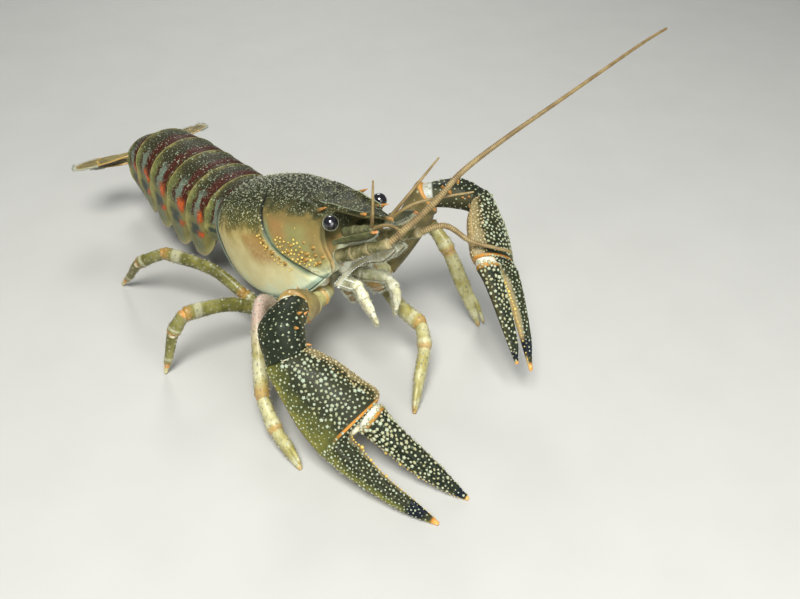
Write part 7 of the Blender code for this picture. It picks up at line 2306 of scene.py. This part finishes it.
@dataclass
class Setae:
    """Fringes and fine hairs, as tufts that lie the way the animal's setae do."""

    shop: Workshop
    chance: random.Random = field(default_factory=lambda: random.Random(90))

    def tuft(self, form: Form, bed: int, beds: int, run: float, turn: float, lie: Vector, length: float) -> Plant:
        """One tuft with its root a little under the surface; bed is its column of the coat's unwrap."""
        place, out = form.at(run, turn)
        spread_out = Vector([self.chance.uniform(-0.12, 0.12) for _ in range(3)])
        return Plant(place - out * 0.04, (lie + spread_out).normalized(), 1.1, length * self.chance.uniform(0.7, 1.1),
                     self.chance.random(), bed_place(bed, beds, min(max(run, 0.0), 1.0), turn))

    def along(self, form: Form, run: float, turn: float) -> Vector:
        """The way along a form at one place."""
        return (form.at(min(run + 0.05, 1.0), turn)[0] - form.at(max(run - 0.05, 0.0), turn)[0]).normalized()

    def row(self, form: Form, bed: int, beds: int, turn: float, span: tuple[float, float], spacing: float, rise: float,
            length: float) -> list[Plant]:
        """A fringe along a form at one turn; rise is how far the tufts stand out from lying along it."""
        size = (form.at(span[1], turn)[0] - form.at(span[0], turn)[0]).length
        count = max(int(size / spacing), 2)
        plants = []
        for index in range(count):
            run = span[0] + (span[1] - span[0]) * (index + self.chance.random() * 0.6) / count
            lie = self.along(form, run, turn) + form.at(run, turn)[1] * rise
            plants.append(self.tuft(form, bed, beds, run, turn, lie, length))
        return plants

    def loose(self, form: Form, bed: int, beds: int, spacing: float, rise: float, length: float,
              turn: tuple[float, float] = (0.0, 1.0), run: tuple[float, float] = (0.05, 0.95)) -> list[Plant]:
        """Loose tufts over part of a form, leaning along it."""
        plants = []
        for at_run, at_turn in form.scatter(spacing, 91 + bed, run, turn):
            lie = self.along(form, at_run, at_turn) + form.at(at_run, at_turn)[1] * rise
            plants.append(self.tuft(form, bed, beds, at_run, at_turn, lie, length))
        return plants

    def sow(self, name: str, plants: list[Plant], slot: Slot) -> None:
        """Hands one coat over, with its map."""
        self.shop.sow(name, plants, Pattern.TUFT, self.shop.wear.bristle, slot, 92, 0.1, coat=True)

    def build(self, shell: Carapace, abdomen: Abdomen, fan: TailFan, legs: WalkingLegs, claws: GreatClaws,
              feelers: Antennae, mouth: Mouth) -> None:
        """Plants every coat."""
        self.sow("fringe_of_the_fan", self.fan(fan), Slot.FAN)
        beds = len(legs.beds)
        hairs = [plant for bed, (form, number) in enumerate(legs.beds)
                 for plant in self.loose(form, bed, beds, 0.95 if number > 2 else 0.8, 0.45, 0.75)]
        self.sow("hairs_of_the_legs", [hair for hair in hairs if hair.place.z > 1.4], Slot.LIMB)
        fringe = []
        beds = len(mouth.beds) + len(mouth.leaves)
        for bed, form in enumerate(mouth.beds):
            for turn, rise in ((0.42, 1.0), (0.5, 1.3), (0.58, 1.0), (0.25, 0.8)):
                fringe += self.row(form, bed, beds, turn, (0.06, 0.96), 0.34, rise, 1.25)
            fringe += self.loose(form, bed, beds, 0.9, 0.5, 0.6)
        for bed, form in enumerate(mouth.leaves, len(mouth.beds)):
            fringe += self.row(form, bed, beds, 0.5, (0.45, 0.98), 0.26, 1.0, 1.2)
            fringe += self.row(form, bed, beds, 0.02, (0.6, 0.99), 0.26, 0.7, 0.9)
        self.sow("fringe_of_the_mouth", fringe, Slot.PALE)
        beds = len(feelers.leaves) + len(feelers.beds)
        hairs = []
        for bed, form in enumerate(feelers.leaves):
            for turn in (0.97, 0.0, 0.03):
                hairs += self.row(form, bed, beds, turn, (0.14, 0.86), 0.3, 0.9, 1.1)
        for bed, form in enumerate(feelers.beds, len(feelers.leaves)):
            hairs += self.loose(form, bed, beds, 1.15, 0.7, 0.5)
        self.sow("fringe_of_the_scales", hairs, Slot.LIMB)
        hairs = [plant for bed, form in enumerate(claws.beds)
                 for plant in self.loose(form, bed, len(claws.beds), 1.5, 0.7, 0.42, (0.45, 1.08), (0.3, 0.93))]
        self.sow("hairs_of_the_claws", [hair for hair in hairs if hair.place.z > 0.9], Slot.CLAW)
        hairs = [plant for bed, form in enumerate(abdomen.paddles)
                 for turn in (0.0, 0.5)
                 for plant in self.row(form, bed, len(abdomen.paddles), turn, (0.3, 0.98), 0.4, 0.7, 0.9)]
        self.sow("fringe_of_the_swimmerets", hairs, Slot.PALE)
        self.sow("fringe_of_the_lobes", self.lobes(abdomen), Slot.ABDOMEN)
        fuzz = []
        for at_run, at_turn in shell.form.scatter(1.05, 93, (0.05, 0.80), shell.columns(0.20)):
            out = shell.form.at(at_run, at_turn)[1]
            fuzz.append(self.tuft(shell.form, 0, 1, at_run, at_turn, out * 1.1 + Vector((0.5, 0.0, 0.1)), 0.66))
        self.sow("fuzz_of_the_back", fuzz, Slot.SHELL)

    def fan(self, fan: TailFan) -> list[Plant]:
        """The fringe of the five plates, longest along their rear edges."""
        plants, beds = [], len(fan.edges)
        for bed, (form, way, start) in enumerate(fan.edges):
            for index in range(150):
                turn = 0.01 + 0.58 * (index // 2) / 75
                across = (form.at(0.9, turn)[0] - form.at(0.9, 0.3)[0]).normalized()
                plants.append(self.tuft(form, bed, beds, 0.975, turn, way + across * 0.45, 1.7))
            for turn in (0.0, 0.6):
                across = (form.at(0.7, turn)[0] - form.at(0.7, 0.3)[0]).normalized()
                for index in range(60):
                    run = start + (0.96 - start) * index / 60
                    plants.append(self.tuft(form, bed, beds, run, turn, way * 0.8 + across * 0.75, 1.2))
        return plants

    def lobes(self, abdomen: Abdomen) -> list[Plant]:
        """The short fringe along the edges of the hanging lobes."""
        plants = []
        for bed, form in enumerate(abdomen.forms):
            tips = [column for column in range(form.columns) if 0.97 < form.turn[form.rows // 2, column] <= 1.0]
            for column in tips:
                for index in range(26):
                    turn, run = column / form.columns, 0.08 + 0.86 * index / 26
                    plants.append(self.tuft(form, bed, len(abdomen.forms), run, turn, Vector((-0.35, 0.0, -1.0)), 0.55))
        return plants


class Stage:
    """A plain pale floor, soft studio light and the photograph's camera."""

    # The camera in the floor frame: where it stands, the picture's right and the way it looks
    stand: Triple = (141.4, -89.3, 117.0)
    right: Triple = (0.6854, 0.7282, 0.0)
    ahead: Triple = (-0.5862, 0.5519, -0.5931)
    lens: float = 38.25

    def build(self) -> None:
        """Makes the floor, the lights, the world and the camera."""
        self.floor()
        self.light("key", (0.20, -0.20, 0.40), 0.20, 3.6, (1.0, 0.99, 0.94))
        self.light("fill", (0.36, -0.12, 0.13), 0.30, 0.9, (0.97, 1.0, 1.0))
        self.light("rear", (-0.30, 0.20, 0.30), 0.16, 0.7, (1.0, 0.99, 0.96))
        world = bpy.data.worlds.new("pale_room")
        world.use_nodes = True
        world.node_tree.nodes["Background"].inputs["Color"].default_value = (0.82, 0.86, 0.90, 1.0)
        world.node_tree.nodes["Background"].inputs["Strength"].default_value = 0.20
        bpy.context.scene.world = world
        bpy.context.scene.view_settings.view_transform = "Standard"
        self.camera()

    @staticmethod
    def floor() -> None:
        """A broad disc with a slightly raised soft edge."""
        sides = 64
        working = bmesh.new()
        rings = []
        for radius, height in ((0.3, 0.0), (0.9, 0.0), (1.4, 0.02), (1.8, 0.12)):
            rings.append([working.verts.new((radius * math.cos(2 * math.pi * s / sides),
                                             radius * math.sin(2 * math.pi * s / sides), height))
                          for s in range(sides)])
        working.faces.new(rings[0])
        for low, high in zip(rings, rings[1:]):
            for s in range(sides):
                working.faces.new((low[s], high[s], high[(s + 1) % sides], low[(s + 1) % sides]))
        mesh = bpy.data.meshes.new("pale_floor")
        working.to_mesh(mesh)
        working.free()
        finish = bpy.data.materials.new("pale_matt_floor")
        finish.use_nodes = True
        make = NodeMaker(finish.node_tree)
        grain = make.noise(make.node("ShaderNodeTexCoord", {})["Object"], 60.0)
        shader = finish.node_tree.nodes["Principled BSDF"]
        shader.inputs["Roughness"].default_value = 0.7
        make.feed(shader.inputs["Base Color"], make.mix(grain, (0.40, 0.40, 0.385), (0.44, 0.44, 0.425)))
        mesh.materials.append(finish)
        mesh.shade_smooth()
        floor = place_object("pale_floor", mesh)

    @staticmethod
    def light(name: str, place: Triple, size: float, power: float, colour: Triple) -> None:
        """One soft area light that looks at the animal."""
        lamp = bpy.data.lights.new(name, "AREA")
        lamp.shape = "DISK"
        lamp.size = size
        lamp.energy = power
        lamp.color = colour
        made = place_object(name, lamp)
        made.location = place
        made.rotation_euler = (Vector((0.0, 0.0, 0.015)) - Vector(place)).to_track_quat("-Z", "Y").to_euler()

    def camera(self) -> None:
        """The camera that sees the animal as the photograph does."""
        data = bpy.data.cameras.new("photo_view")
        data.lens = self.lens
        data.sensor_width = 36.0
        data.clip_start = 0.001
        made = place_object("photo_view", data)
        back = -Vector(self.ahead).normalized()
        right = Vector(self.right)
        right = square_to(right, back)
        up = back.cross(right)
        place = (Vector(self.stand) - PackedFrame.shift) * MM
        turn = Matrix((right, up, back)).transposed().to_4x4()
        made.matrix_world = Matrix.Translation(place) @ turn
        bpy.context.scene.camera = made


def main() -> None:
    """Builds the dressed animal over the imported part."""
    logging.basicConfig(level=logging.INFO, format="%(message)s")
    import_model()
    underside = Underside()
    PackedFrame.find("sternum", underside.rings())
    shop = Workshop()
    shell, abdomen, fan, legs, claws, feelers, mouth = (Carapace(), Abdomen(), TailFan(), WalkingLegs(), GreatClaws(),
                                                       Antennae(), Mouth())
    for part in (shell, Eyes(), abdomen, fan, underside, legs, claws, feelers, Antennules(), mouth):
        part.build(shop)
    Setae(shop).build(shell, abdomen, fan, legs, claws, feelers, mouth)
    shop.patterns.clear()
    Stage().build()


if __name__ == "__main__":
    main()
